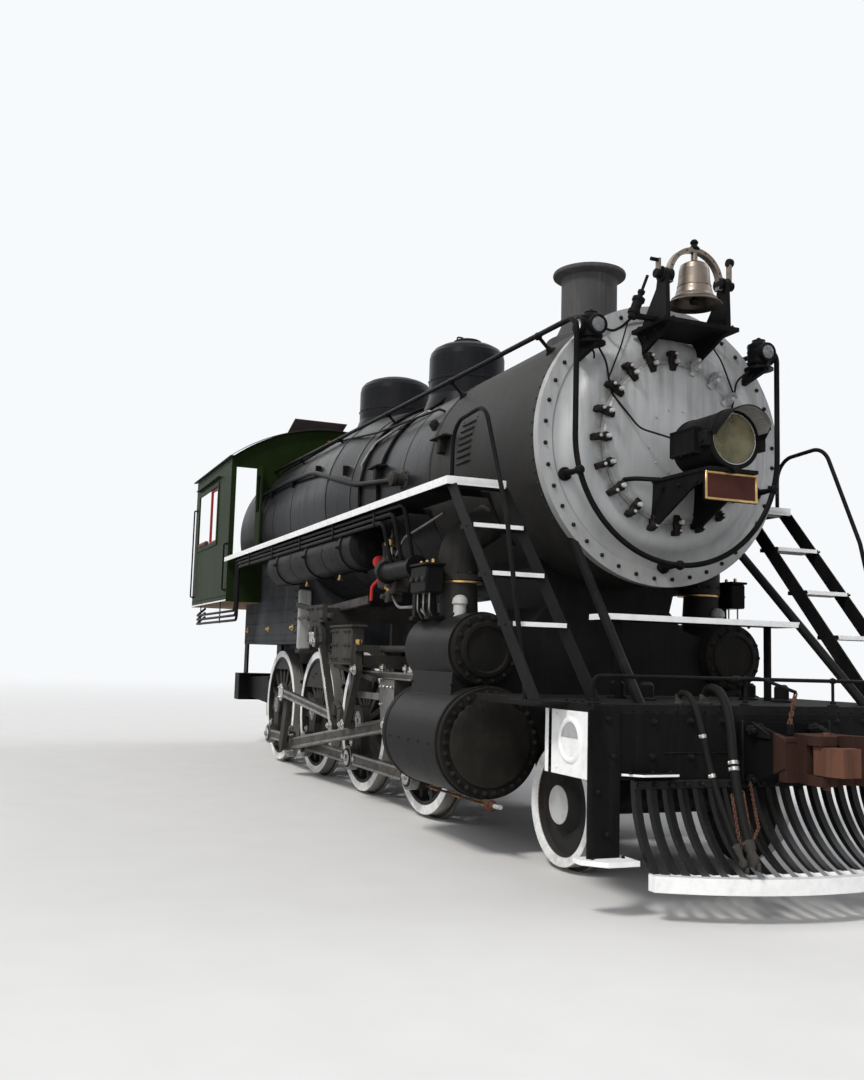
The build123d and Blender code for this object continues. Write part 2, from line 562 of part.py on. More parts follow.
# boiler with its cone course
with BuildPart() as boiler:
    with Locations(((SMOKEBOX_BACK_X + CONE_START_X) / 2, 0, BOILER_Z)):
        Cylinder(BARREL_RADIUS, SMOKEBOX_BACK_X - CONE_START_X, rotation=(0, 90, 0))
    with BuildSketch(Plane(origin=(CONE_START_X, 0, BOILER_Z), x_dir=(0, -1, 0), z_dir=(-1, 0, 0))):
        Circle(BARREL_RADIUS)
    with BuildSketch(Plane(origin=(CONE_END_X, 0, BACK_CENTRE_Z), x_dir=(0, -1, 0), z_dir=(-1, 0, 0))):
        Circle(BACK_RADIUS)
    loft()
    with Locations(((CONE_END_X + BACKHEAD_X) / 2, 0, BACK_CENTRE_Z)):
        Cylinder(BACK_RADIUS, CONE_END_X - BACKHEAD_X, rotation=(0, 90, 0))
boiler.part.label = "boiler"
export_step(boiler.part, "parts/boiler.step")

# firebox sides below the boiler, and the ashpan
with BuildPart() as firebox:
    with Locations(
        (
            (FIREBOX_FRONT_X + FIREBOX_BACK_X) / 2,
            0,
            (FIREBOX_BOTTOM_Z + FIREBOX_TOP_Z) / 2,
        )
    ):
        Box(FIREBOX_FRONT_X - FIREBOX_BACK_X, 2 * FIREBOX_HALF_WIDTH, FIREBOX_TOP_Z - FIREBOX_BOTTOM_Z)
    with Locations(
        (
            (FIREBOX_FRONT_X + FIREBOX_BACK_X) / 2,
            0,
            (ASHPAN_BOTTOM_Z + FIREBOX_BOTTOM_Z) / 2,
        )
    ):
        Box(
            FIREBOX_FRONT_X - FIREBOX_BACK_X - 300,
            2 * ASHPAN_HALF_WIDTH,
            FIREBOX_BOTTOM_Z - ASHPAN_BOTTOM_Z,
        )
    add(boiler.part, mode=Mode.SUBTRACT)
firebox.part.label = "firebox"
export_step(firebox.part, "parts/firebox.step")

# cylinder castings, each with its half of the saddle, bolted on the centre line
for casting_name, side in (("cylinder_right", -1), ("cylinder_left", 1)):
    with BuildPart() as casting:
        with Locations(((CYLINDER_FRONT_X + CYLINDER_BACK_X) / 2, side * ROD_LINE_Y, CYLINDER_Z)):
            Cylinder(CYLINDER_JACKET_RADIUS, CYLINDER_FRONT_X - CYLINDER_BACK_X, rotation=(0, 90, 0))
        with Locations(((VALVE_FRONT_X + VALVE_BACK_X) / 2, side * ROD_LINE_Y, VALVE_CHEST_Z)):
            Cylinder(VALVE_CHEST_RADIUS, VALVE_FRONT_X - VALVE_BACK_X, rotation=(0, 90, 0))
        with BuildSketch(Plane(origin=(SADDLE_BACK_X, 0, 0), x_dir=(0, 1, 0), z_dir=(1, 0, 0))):
            with BuildLine():
                Polyline(
                    (0, 700.0),
                    (side * 900.0, 700.0),
                    (side * 1380.0, CYLINDER_Z),
                    (side * 1330.0, VALVE_CHEST_Z),
                    (side * 700.0, VALVE_CHEST_Z + 200),
                    (side * 560.0, SADDLE_WAIST_Z),
                    (side * SADDLE_HALF_WIDTH, 2150.0),
                    (side * SADDLE_HALF_WIDTH, SADDLE_TOP_Z),
                    (0, SADDLE_TOP_Z),
                    close=True,
                )
            make_face()
        extrude(amount=SADDLE_FRONT_X - SADDLE_BACK_X)
        add(smokebox.part, mode=Mode.SUBTRACT)
        add(main_frame.part, mode=Mode.SUBTRACT)
        with Locations((CYLINDER_BACK_X, side * ROD_LINE_Y, CYLINDER_Z)):
            Cylinder(
                PISTON_ROD_RADIUS + PISTON_ROD_CLEARANCE, 1900, rotation=(0, 90, 0), mode=Mode.SUBTRACT
            )
    casting.part.label = casting_name
    export_step(casting.part, "parts/" + casting_name + ".step")

# cylinder and valve chest covers
with BuildPart() as cylinder_heads:
    for side in (-1, 1):
        with Locations((CYLINDER_FRONT_X + CYLINDER_HEAD_THICKNESS / 2, side * ROD_LINE_Y, CYLINDER_Z)):
            Cylinder(CYLINDER_HEAD_RADIUS, CYLINDER_HEAD_THICKNESS, rotation=(0, 90, 0))
        with Locations((CYLINDER_BACK_X - CYLINDER_HEAD_THICKNESS / 2, side * ROD_LINE_Y, CYLINDER_Z)):
            Cylinder(CYLINDER_HEAD_RADIUS, CYLINDER_HEAD_THICKNESS, rotation=(0, 90, 0))
        with Locations((CYLINDER_BACK_X - CYLINDER_HEAD_THICKNESS / 2, side * ROD_LINE_Y, 1120.0)):
            Box(CYLINDER_HEAD_THICKNESS, 190, 320)
        with Locations((VALVE_FRONT_X + VALVE_HEAD_THICKNESS / 2, side * ROD_LINE_Y, VALVE_CHEST_Z)):
            Cylinder(VALVE_HEAD_RADIUS, VALVE_HEAD_THICKNESS, rotation=(0, 90, 0))
        with Locations((VALVE_BACK_X - VALVE_HEAD_THICKNESS / 2, side * ROD_LINE_Y, VALVE_CHEST_Z)):
            Cylinder(VALVE_HEAD_RADIUS, VALVE_HEAD_THICKNESS, rotation=(0, 90, 0))
        with Locations((CYLINDER_BACK_X, side * ROD_LINE_Y, CYLINDER_Z)):
            Cylinder(
                PISTON_ROD_RADIUS + PISTON_ROD_CLEARANCE, 1900, rotation=(0, 90, 0), mode=Mode.SUBTRACT
            )
        with Locations((CYLINDER_FRONT_X + CYLINDER_HEAD_THICKNESS / 2, side * ROD_LINE_Y, CYLINDER_Z)):
            Cylinder(200, CYLINDER_HEAD_THICKNESS, rotation=(0, 90, 0))
cylinder_heads.part.label = "cylinder_heads"
export_step(cylinder_heads.part, "parts/cylinder_heads.step")

# outside steam pipes from the smokebox to the valve chests
STEAM_PIPE_RADIUS = 150.0
STEAM_PIPE_X = STACK_X
with BuildPart() as steam_pipes:
    for side in (-1, 1):
        with BuildLine() as pipe_line:
            FilletPolyline(
                (STEAM_PIPE_X, side * 760, 2620),
                (STEAM_PIPE_X, side * 1170, 2320),
                (STEAM_PIPE_X, side * 1130, 1700),
                radius=260,
            )
        pipe_plane = Plane(
            origin=(STEAM_PIPE_X, side * 760, 2620),
            x_dir=(1, 0, 0),
            z_dir=(0, side * 410, -300),
        )
        with BuildSketch(pipe_plane):
            Circle(STEAM_PIPE_RADIUS)
        sweep(path=pipe_line.line)
    add(smokebox.part, mode=Mode.SUBTRACT)
    for side in (-1, 1):
        with Locations(((VALVE_FRONT_X + VALVE_BACK_X) / 2, side * ROD_LINE_Y, VALVE_CHEST_Z)):
            Cylinder(
                VALVE_CHEST_RADIUS,
                VALVE_FRONT_X - VALVE_BACK_X,
                rotation=(0, 90, 0),
                mode=Mode.SUBTRACT,
            )
steam_pipes.part.label = "steam_pipes"
export_step(steam_pipes.part, "parts/steam_pipes.step")

# stack: hollow above the smokebox
with BuildPart() as stack:
    with BuildSketch(Plane(origin=(STACK_X, 0, 0), x_dir=(1, 0, 0), z_dir=(0, -1, 0))):
        with BuildLine():
            Polyline(
                (STACK_BORE, 3950.0),
                (STACK_BORE + 150, 3950.0),
                (STACK_BORE + 150, 4110.0),
                (STACK_RADIUS + 45, 4150.0),
                (STACK_RADIUS, 4250.0),
                (STACK_RADIUS, STACK_TOP_Z - 60),
                (STACK_LIP_RADIUS, STACK_TOP_Z - 40),
                (STACK_LIP_RADIUS, STACK_TOP_Z),
                (STACK_BORE, STACK_TOP_Z),
                close=True,
            )
        make_face()
    revolve(axis=Axis((STACK_X, 0, 0), (0, 0, 1)))
    add(smokebox.part, mode=Mode.SUBTRACT)
stack.part.label = "stack"
export_step(stack.part, "parts/stack.step")

# domes
DOMES = [
    # name, place, radius, top, skirt foot radius, skirt foot height, skirt head height
    ("sand_dome", SAND_DOME_X, SAND_DOME_RADIUS, SAND_DOME_TOP_Z, 480.0, 3940.0, 4170.0),
    ("steam_dome", STEAM_DOME_X, STEAM_DOME_RADIUS, STEAM_DOME_TOP_Z, 540.0, 4080.0, 4330.0),
]
with BuildPart() as domes:
    for dome_name, dome_x, dome_radius, dome_top, skirt_radius, skirt_foot, skirt_head in DOMES:
        with BuildSketch(Plane(origin=(dome_x, 0, 0), x_dir=(1, 0, 0), z_dir=(0, -1, 0))):
            with BuildLine():
                Polyline(
                    (0, dome_top),
                    (0, 3800.0),
                    (skirt_radius, 3800.0),
                    (skirt_radius, skirt_foot),
                    (dome_radius, skirt_head),
                    (dome_radius, dome_top - 200),
                )
                Polyline(
                    (dome_radius, dome_top - 200),
                    (dome_radius - 12, dome_top - 145),
                    (dome_radius - 48, dome_top - 98),
                    (dome_radius - 110, dome_top - 62),
                    (dome_radius - 210, dome_top - 27),
                    (100, dome_top - 4),
                    (0, dome_top),
                )
            make_face()
        revolve(axis=Axis((dome_x, 0, 0), (0, 0, 1)))
    add(boiler.part, mode=Mode.SUBTRACT)
domes.part.label = "domes"
export_step(domes.part, "parts/domes.step")

# front deck, buffer beam, pilot
LANDING_THICKNESS = 20.0
with BuildPart() as deck:
    deck_middle = (BEAM_FRONT_X + DECK_BACK_X) / 2
    with Locations((deck_middle, 0, DECK_TOP_Z - DECK_THICKNESS / 2)):
        Box(BEAM_FRONT_X - DECK_BACK_X, 2 * BEAM_HALF_WIDTH, DECK_THICKNESS)
    with Locations((LADDER_FOOT_X - 190, 0, DECK_TOP_Z - LANDING_THICKNESS / 2)):
        Box(420, 2 * (LADDER_OUTER + 10), LANDING_THICKNESS)
    for side in (-1, 1):
        with Locations(
            (
                deck_middle - 100,
                side * (FRAME_INNER + FRAME_OUTER) / 2,
                (FRONT_RAIL_TOP_Z + DECK_TOP_Z - DECK_THICKNESS) / 2,
            )
        ):
            Box(900, FRAME_OUTER - FRAME_INNER, DECK_TOP_Z - DECK_THICKNESS - FRONT_RAIL_TOP_Z)
deck.part.label = "deck"
export_step(deck.part, "parts/deck.step")

with BuildPart() as pilot_beam:
    beam_top = DECK_TOP_Z - DECK_THICKNESS
    with Locations((BEAM_FRONT_X - BEAM_THICKNESS / 2, 0, (BEAM_BOTTOM_Z + beam_top) / 2)):
        Box(BEAM_THICKNESS, 2 * BEAM_HALF_WIDTH, beam_top - BEAM_BOTTOM_Z)
    for side in (-1, 1):
        with Locations(
            (
                BEAM_FRONT_X - BEAM_END_DEPTH / 2,
                side * (BEAM_HALF_WIDTH - BEAM_END_WIDTH / 2),
                (BEAM_BOTTOM_Z + beam_top) / 2,
            )
        ):
            Box(BEAM_END_DEPTH, BEAM_END_WIDTH, beam_top - BEAM_BOTTOM_Z)
        with Locations((BEAM_FRONT_X - BEAM_END_DEPTH + 65, side * BEAM_HALF_WIDTH, BEAM_BOTTOM_Z + 130)):
            Box(36, 2 * BEAM_GROOVE, 200, mode=Mode.SUBTRACT)
        with Locations((BEAM_FRONT_X - BEAM_END_DEPTH + 65, side * BEAM_HALF_WIDTH, beam_top - 100)):
            Box(36, 2 * BEAM_GROOVE, 160, mode=Mode.SUBTRACT)
pilot_beam.part.label = "pilot_beam"
export_step(pilot_beam.part, "parts/pilot_beam.step")

PILOT_BAR_COUNT = 20
PILOT_BAR_WIDTH = 44.0
PILOT_HALF_WIDTH = 1050.0
PILOT_NOSE = 520.0
PILOT_SIDE_REACH = 215.0
PILOT_BOTTOM_Z = 175.0
PILOT_STRIP_HEIGHT = 90.0
PILOT_STRIP_WIDTH = 60.0
PILOT_BULGE = PILOT_NOSE - PILOT_SIDE_REACH
PILOT_SWEEP = (PILOT_HALF_WIDTH**2 + PILOT_BULGE**2) / (2 * PILOT_BULGE)
with BuildPart() as pilot:
    with BuildSketch(Plane.XY.offset(PILOT_BOTTOM_Z)):
        nose_x = BEAM_FRONT_X + PILOT_NOSE
        side_x = BEAM_FRONT_X + PILOT_SIDE_REACH
        with BuildLine():
            ThreePointArc((side_x, -PILOT_HALF_WIDTH), (nose_x, 0), (side_x, PILOT_HALF_WIDTH))
            Line((side_x, PILOT_HALF_WIDTH), (side_x - PILOT_STRIP_WIDTH, PILOT_HALF_WIDTH))
            ThreePointArc(
                (side_x - PILOT_STRIP_WIDTH, PILOT_HALF_WIDTH),
                (nose_x - PILOT_STRIP_WIDTH, 0),
                (side_x - PILOT_STRIP_WIDTH, -PILOT_HALF_WIDTH),
            )
            Line((side_x - PILOT_STRIP_WIDTH, -PILOT_HALF_WIDTH), (side_x, -PILOT_HALF_WIDTH))
        make_face()
    extrude(amount=PILOT_STRIP_HEIGHT)
    for number in range(PILOT_BAR_COUNT):
        bar_y = -PILOT_HALF_WIDTH + 40 + (2 * PILOT_HALF_WIDTH - 80) * number / (PILOT_BAR_COUNT - 1)
        reach = PILOT_NOSE - PILOT_SWEEP + sqrt(PILOT_SWEEP**2 - bar_y**2)
        foot_x = BEAM_FRONT_X + reach - 8
        foot_z = PILOT_BOTTOM_Z + PILOT_STRIP_HEIGHT / 2
        head_x = BEAM_FRONT_X - 20
        head_z = BEAM_BOTTOM_Z
        bend_x = head_x + (foot_x - head_x) * 0.28
        bend_z = foot_z + (head_z - foot_z) * 0.42
        with BuildSketch(side_plane(bar_y + PILOT_BAR_WIDTH / 2)):
            with BuildLine():
                ThreePointArc((head_x, head_z), (bend_x, bend_z), (foot_x, foot_z))
                Line((foot_x, foot_z), (foot_x - 44, foot_z))
                ThreePointArc((foot_x - 44, foot_z), (bend_x - 44, bend_z), (head_x - 44, head_z))
                Line((head_x - 44, head_z), (head_x, head_z))
            make_face()
        extrude(amount=PILOT_BAR_WIDTH)
pilot.part.label = "pilot"
export_step(pilot.part, "parts/pilot.step")

# coupler head and its knuckle
COUPLER_Z = RAIL_TOP + 880.0
KNUCKLE_PIN_X = PILOT_AXLE_X + 1800.0
KNUCKLE_PIN_Y = -105.0
KNUCKLE_PIN_RADIUS = 22.0
with BuildPart() as coupler:
    with Locations((BEAM_FRONT_X + 20, 0, COUPLER_Z)):
        Box(40, 640, 380)
    for gusset_y in (-230, 190):
        with BuildSketch(side_plane(gusset_y + 40)):
            with BuildLine():
                Polyline(
                    (BEAM_FRONT_X, COUPLER_Z - 190),
                    (BEAM_FRONT_X, COUPLER_Z + 190),
                    (BEAM_FRONT_X + 310, COUPLER_Z + 110),
                    (BEAM_FRONT_X + 310, COUPLER_Z - 60),
                    close=True,
                )
            make_face()
        extrude(amount=40)
    with Locations((BEAM_FRONT_X + 160, 0, COUPLER_Z + 105)):
        Box(310, 440, 24)
    with Locations((BEAM_FRONT_X + 280, 0, COUPLER_Z - 20)):
        Box(60, 440, 240)
    with Locations((BEAM_FRONT_X + 170, 0, COUPLER_Z)):
        Box(300, 170, 170)
    with BuildSketch(Plane.XY.offset(COUPLER_Z - 140)):
        with BuildLine():
            Polyline(
                (BEAM_FRONT_X + 260, -120),
                (KNUCKLE_PIN_X - 70, -175),
                (KNUCKLE_PIN_X + 30, -175),
                (KNUCKLE_PIN_X + 30, -60),
                (KNUCKLE_PIN_X - 40, 10),
                (KNUCKLE_PIN_X - 20, 110),
                (KNUCKLE_PIN_X + 150, 190),
                (KNUCKLE_PIN_X + 150, 230),
                (KNUCKLE_PIN_X - 30, 190),
                (BEAM_FRONT_X + 260, 120),
                close=True,
            )
        make_face()
    extrude(amount=280)
    with Locations((KNUCKLE_PIN_X + 30, KNUCKLE_PIN_Y, COUPLER_Z)):
        Box(260, 260, 170, mode=Mode.SUBTRACT)
    with Locations((KNUCKLE_PIN_X, KNUCKLE_PIN_Y, COUPLER_Z)):
        Cylinder(KNUCKLE_PIN_RADIUS + 1, 400, mode=Mode.SUBTRACT)
coupler.part.label = "coupler"
export_step(coupler.part, "parts/coupler.step")

with BuildPart() as knuckle:
    with BuildSketch(Plane.XY.offset(COUPLER_Z - 80)):
        with BuildLine():
            Polyline(
                (KNUCKLE_PIN_X - 50, -155),
                (KNUCKLE_PIN_X + 60, -160),
                (KNUCKLE_PIN_X + 145, -120),
                (KNUCKLE_PIN_X + 145, 10),
                (KNUCKLE_PIN_X + 60, 20),
                (KNUCKLE_PIN_X + 60, -60),
                (KNUCKLE_PIN_X - 50, -60),
                close=True,
            )
        make_face()
    extrude(amount=160)
    with Locations((KNUCKLE_PIN_X, KNUCKLE_PIN_Y, COUPLER_Z)):
        Cylinder(KNUCKLE_PIN_RADIUS, 320)
knuckle.part.label = "knuckle"
export_step(knuckle.part, "parts/knuckle.step")

# steps at the beam ends
STEP_Y = 1240.0
STEP_PLATE_WIDTH = 210.0
STEP_TREAD_Z = 330.0
UPPER_STEP_Z = 800.0
with BuildPart() as front_steps:
    for side in (-1, 1):
        with Locations((BEAM_FRONT_X + 6, side * (STEP_Y + 15), (STEP_TREAD_Z + 1165) / 2)):
            Box(12, STEP_PLATE_WIDTH, 1165 - STEP_TREAD_Z)
        with BuildSketch(Plane.XY.offset(STEP_TREAD_Z - 30)):
            with BuildLine():
                Polyline(
                    (BEAM_FRONT_X - 80, side * 1085),
                    (BEAM_FRONT_X + 125, side * 1085),
                    (BEAM_FRONT_X + 125, side * 1290),
                    (BEAM_FRONT_X + 10, side * 1400),
                    (BEAM_FRONT_X - 80, side * 1400),
                    close=True,
                )
            make_face()
        extrude(amount=30)
        with BuildSketch(Plane.XY.offset(UPPER_STEP_Z - 14)):
            with BuildLine():
                Polyline(
                    (BEAM_FRONT_X, side * 800),
                    (BEAM_FRONT_X, side * 1135),
                    (BEAM_FRONT_X + 90, side * 1040),
                    (BEAM_FRONT_X + 90, side * 800),
                    close=True,
                )
            make_face()
        extrude(amount=14)
front_steps.part.label = "front_steps"
export_step(front_steps.part, "parts/front_steps.step")

# slanting stays from the smokebox to the deck
STAY_HEAD = (PILOT_AXLE_X - 60.0, 720.0, 2330.0)
STAY_FOOT = (PILOT_AXLE_X + 1080.0, 880.0, DECK_TOP_Z)
with BuildPart() as smokebox_stays:
    for side in (-1, 1):
        head = Vector(STAY_HEAD[0], side * STAY_HEAD[1], STAY_HEAD[2])
        foot = Vector(STAY_FOOT[0], side * STAY_FOOT[1], STAY_FOOT[2])
        run = head - foot
        with BuildSketch(Plane(origin=foot - run.normalized() * 60, z_dir=run)):
            Circle(32)
        extrude(amount=run.length + 160)
    with Locations((deck_middle, 0, DECK_TOP_Z - 300)):
        Box(4000, 3000, 600, mode=Mode.SUBTRACT)
    add(smokebox.part, mode=Mode.SUBTRACT)
    add(smokebox_front.part, mode=Mode.SUBTRACT)
smokebox_stays.part.label = "smokebox_stays"
export_step(smokebox_stays.part, "parts/smokebox_stays.step")

# step board across the front, on posts from the deck
CROSS_BOARD_TOP_Z = RAIL_TOP + 1726.0
with BuildPart() as cross_board:
    with Locations((PILOT_AXLE_X + 440, 0, CROSS_BOARD_TOP_Z - 20)):
        Box(250, 1572, 40)
    for side in (-1, 1):
        with Locations((PILOT_AXLE_X + 420, side * 620, (DECK_TOP_Z + CROSS_BOARD_TOP_Z - 40) / 2)):
            Box(60, 20, CROSS_BOARD_TOP_Z - 40 - DECK_TOP_Z)
    add(smokebox_stays.part, mode=Mode.SUBTRACT)
cross_board.part.label = "cross_board"
export_step(cross_board.part, "parts/cross_board.step")

# running boards with their brackets
BOARD_BRACKETS = (-900.0, -2100.0, -3300.0, -4500.0, -5700.0, -6900.0, -8000.0)
with BuildPart() as running_boards:
    for side in (-1, 1):
        with BuildSketch(Plane.XY.offset(BOARD_TOP_Z - BOARD_THICKNESS)):
            with BuildLine():
                Polyline(
                    (BOARD_FRONT_X, side * BOARD_INNER_FRONT),
                    (BOARD_FRONT_X, side * BOARD_OUTER),
                    (BOARD_BACK_X, side * BOARD_OUTER),
                    (BOARD_BACK_X, side * BOARD_INNER_BACK),
                    (CONE_END_X, side * BOARD_INNER_BACK),
                    (CONE_START_X, side * BOARD_INNER_FRONT),
                    close=True,
                )
            make_face()
        extrude(amount=BOARD_THICKNESS)
        with Locations(
            ((BOARD_FRONT_X + BOARD_BACK_X) / 2, side * (BOARD_OUTER - 6), BOARD_TOP_Z - BOARD_LIP / 2)
        ):
            Box(BOARD_FRONT_X - BOARD_BACK_X, 12, BOARD_LIP)
        with Locations(
            (BOARD_FRONT_X - 6, side * (BOARD_INNER_FRONT + BOARD_OUTER) / 2, BOARD_TOP_Z - BOARD_LIP / 2)
        ):
            Box(12, BOARD_OUTER - BOARD_INNER_FRONT, BOARD_LIP)
        for bracket_place in BOARD_BRACKETS:
            with BuildSketch(
                Plane(origin=(PILOT_AXLE_X + bracket_place, 0, 0), x_dir=(0, 1, 0), z_dir=(1, 0, 0))
            ):
                with BuildLine():
                    Polyline(
                        (side * 700, BOARD_TOP_Z - BOARD_THICKNESS),
                        (side * (BOARD_OUTER - 20), BOARD_TOP_Z - BOARD_THICKNESS),
                        (side * (BOARD_OUTER - 20), BOARD_TOP_Z - 60),
                        (side * 1000, BOARD_TOP_Z - 60),
                        (side * 780, BOARD_TOP_Z - 420),
                        (side * 700, BOARD_TOP_Z - 420),
                        close=True,
                    )
                make_face()
            extrude(amount=16)
    add(boiler.part, mode=Mode.SUBTRACT)
    add(smokebox.part, mode=Mode.SUBTRACT)
    add(firebox.part, mode=Mode.SUBTRACT)
    add(steam_pipes.part, mode=Mode.SUBTRACT)
running_boards.part.label = "running_boards"
export_step(running_boards.part, "parts/running_boards.step")

# ladders from the deck to the running boards
TREADS = [
    # distance ahead of the pilot axle, height
    (-85.0, RAIL_TOP + 2340.0),
    (235.0, RAIL_TOP + 1985.0),
    (550.0, RAIL_TOP + 1645.0),
]
with BuildPart() as ladders:
    for side in (-1, 1):
        for plate_y in (LADDER_OUTER, LADDER_INNER):
            with BuildSketch(side_plane(high_y(side, plate_y - LADDER_PLATE, plate_y))):
                with BuildLine():
                    Polyline(
                        (LADDER_FOOT_X, DECK_TOP_Z),
                        (LADDER_HEAD_X, BOARD_TOP_Z - BOARD_LIP),
                        (LADDER_HEAD_X - LADDER_PLATE_WIDTH, BOARD_TOP_Z - BOARD_LIP),
                        (LADDER_FOOT_X - LADDER_PLATE_WIDTH, DECK_TOP_Z),
                        close=True,
                    )
                make_face()
            extrude(amount=LADDER_PLATE)
        for tread_place, tread_z in TREADS:
            tread_y = side * (LADDER_OUTER + LADDER_INNER) / 2
            with Locations((PILOT_AXLE_X + tread_place - 60, tread_y, tread_z - 15)):
                Box(200, LADDER_OUTER - LADDER_INNER, 30)
        top_step_y = side * (LADDER_OUTER + LADDER_INNER) / 2
        with Locations((LADDER_HEAD_X - 75, top_step_y, BOARD_TOP_Z - BOARD_LIP - 6)):
            Box(150, LADDER_OUTER - LADDER_INNER, 12)
ladders.part.label = "ladders"
export_step(ladders.part, "parts/ladders.step")

# cab: sides, front, roof, floor
with BuildPart() as cab_sides:
    for side in (-1, 1):
        with BuildSketch(side_plane(high_y(side, CAB_HALF_WIDTH - CAB_WALL, CAB_HALF_WIDTH))):
            with BuildLine():
                Polyline(
                    (CAB_FRONT_X, CAB_FLOOR_Z),
                    (CAB_FRONT_X, EAVE_Z),
                    (CAB_BACK_X, EAVE_Z),
                    (CAB_BACK_X, CAB_FLOOR_Z),
                    close=True,
                )
            make_face()
            with Locations(((WINDOW_FRONT_X + WINDOW_BACK_X) / 2, (WINDOW_BOTTOM_Z + WINDOW_TOP_Z) / 2)):
                Rectangle(
                    WINDOW_FRONT_X - WINDOW_BACK_X, WINDOW_TOP_Z - WINDOW_BOTTOM_Z, mode=Mode.SUBTRACT
                )
        extrude(amount=CAB_WALL)
cab_sides.part.label = "cab_sides"
export_step(cab_sides.part, "parts/cab_sides.step")

CAB_INSIDE = CAB_HALF_WIDTH - CAB_WALL
DOOR_HINGE_X = CAB_FRONT_X + 22.0
DOOR_HINGE_Y = DOORWAY_INNER - 4.0
DOOR_BOTTOM_Z = BOARD_TOP_Z + 22.0
DOOR_TOP_Z = DOORWAY_TOP_Z - 6.0
DOOR_PIN_RADIUS = 4.0
DOOR_LUGS = (DOOR_BOTTOM_Z + 150.0, DOOR_TOP_Z - 150.0)
HATCH_CURB_Z = ROOF_CROWN_Z + 22.0
HATCH_HINGE_X = HATCH_BACK_X - 18.0
HATCH_HINGE_Z = HATCH_CURB_Z + 11.0
HATCH_PIN_RADIUS = 7.0
HATCH_LUGS = (-300.0, -220.0, 220.0, 300.0)
with BuildPart() as cab_roof:
    with BuildSketch(Plane(origin=(ROOF_FRONT_X, 0, 0), x_dir=(0, -1, 0), z_dir=(-1, 0, 0))):
        with BuildLine():
            ThreePointArc((-CAB_HALF_WIDTH, EAVE_Z), (0, ROOF_CROWN_Z), (CAB_HALF_WIDTH, EAVE_Z))
            Line((CAB_HALF_WIDTH, EAVE_Z), (CAB_INSIDE, EAVE_Z))
            ThreePointArc((CAB_INSIDE, EAVE_Z), (0, ROOF_CROWN_Z - ROOF_SHEET), (-CAB_INSIDE, EAVE_Z))
            Line((-CAB_INSIDE, EAVE_Z), (-CAB_HALF_WIDTH, EAVE_Z))
        make_face()
    extrude(amount=ROOF_FRONT_X - ROOF_BACK_X)
    for side in (-1, 1):
        with Locations(((ROOF_FRONT_X + ROOF_BACK_X) / 2, side * (CAB_HALF_WIDTH + 15), EAVE_Z + 6)):
            Box(ROOF_FRONT_X - ROOF_BACK_X, 50, 12)
    with Locations(((HATCH_FRONT_X + HATCH_BACK_X) / 2, 0, HATCH_CURB_Z - 70)):
        Box(HATCH_FRONT_X - HATCH_BACK_X, 2 * HATCH_HALF_WIDTH, 140)
    with Locations(((HATCH_FRONT_X + HATCH_BACK_X) / 2, 0, HATCH_CURB_Z - 100)):
        Box(
            HATCH_FRONT_X - HATCH_BACK_X - 20,
            2 * HATCH_HALF_WIDTH - 20,
            400,
            mode=Mode.SUBTRACT,
        )
    for lug_y in HATCH_LUGS:
        with Locations((HATCH_HINGE_X, lug_y, HATCH_HINGE_Z - 25)):
            Box(30, 30, 74)
    with Locations((HATCH_HINGE_X, 0, HATCH_HINGE_Z)):
        Cylinder(HATCH_PIN_RADIUS + PIN_CLEARANCE, 900, rotation=(90, 0, 0), mode=Mode.SUBTRACT)
cab_roof.part.label = "cab_roof"
export_step(cab_roof.part, "parts/cab_roof.step")

with BuildPart() as cab_front:
    with BuildSketch(Plane(origin=(CAB_FRONT_X, 0, 0), x_dir=(0, -1, 0), z_dir=(-1, 0, 0))):
        with BuildLine():
            Polyline(
                (-CAB_INSIDE, EAVE_Z),
                (-CAB_INSIDE, CAB_FLOOR_Z),
                (CAB_INSIDE, CAB_FLOOR_Z),
                (CAB_INSIDE, EAVE_Z),
            )
            ThreePointArc((CAB_INSIDE, EAVE_Z), (0, ROOF_CROWN_Z - ROOF_SHEET), (-CAB_INSIDE, EAVE_Z))
        make_face()
        for side in (-1, 1):
            with Locations(
                (side * (DOORWAY_INNER + DOORWAY_OUTER) / 2, (DOORWAY_BOTTOM_Z + DOORWAY_TOP_Z) / 2)
            ):
                Rectangle(
                    DOORWAY_OUTER - DOORWAY_INNER, DOORWAY_TOP_Z - DOORWAY_BOTTOM_Z, mode=Mode.SUBTRACT
                )
    extrude(amount=CAB_WALL)
    add(boiler.part, mode=Mode.SUBTRACT)
    add(firebox.part, mode=Mode.SUBTRACT)
    add(cab_roof.part, mode=Mode.SUBTRACT)
    for side in (-1, 1):
        for lug_z in DOOR_LUGS:
            with Locations((CAB_FRONT_X + 15, side * DOOR_HINGE_Y, lug_z)):
                Box(34, 14, 40)
            with Locations((DOOR_HINGE_X, side * DOOR_HINGE_Y, lug_z)):
                Cylinder(DOOR_PIN_RADIUS + PIN_CLEARANCE, 80, mode=Mode.SUBTRACT)
cab_front.part.label = "cab_front"
export_step(cab_front.part, "parts/cab_front.step")

with BuildPart() as cab_floor:
    with Locations(((CAB_FRONT_X - CAB_WALL + CAB_BACK_X) / 2, 0, CAB_FLOOR_Z + 30)):
        Box(CAB_FRONT_X - CAB_WALL - CAB_BACK_X, 2 * CAB_INSIDE, 60)
    add(firebox.part, mode=Mode.SUBTRACT)
    add(boiler.part, mode=Mode.SUBTRACT)
cab_floor.part.label = "cab_floor"
export_step(cab_floor.part, "parts/cab_floor.step")

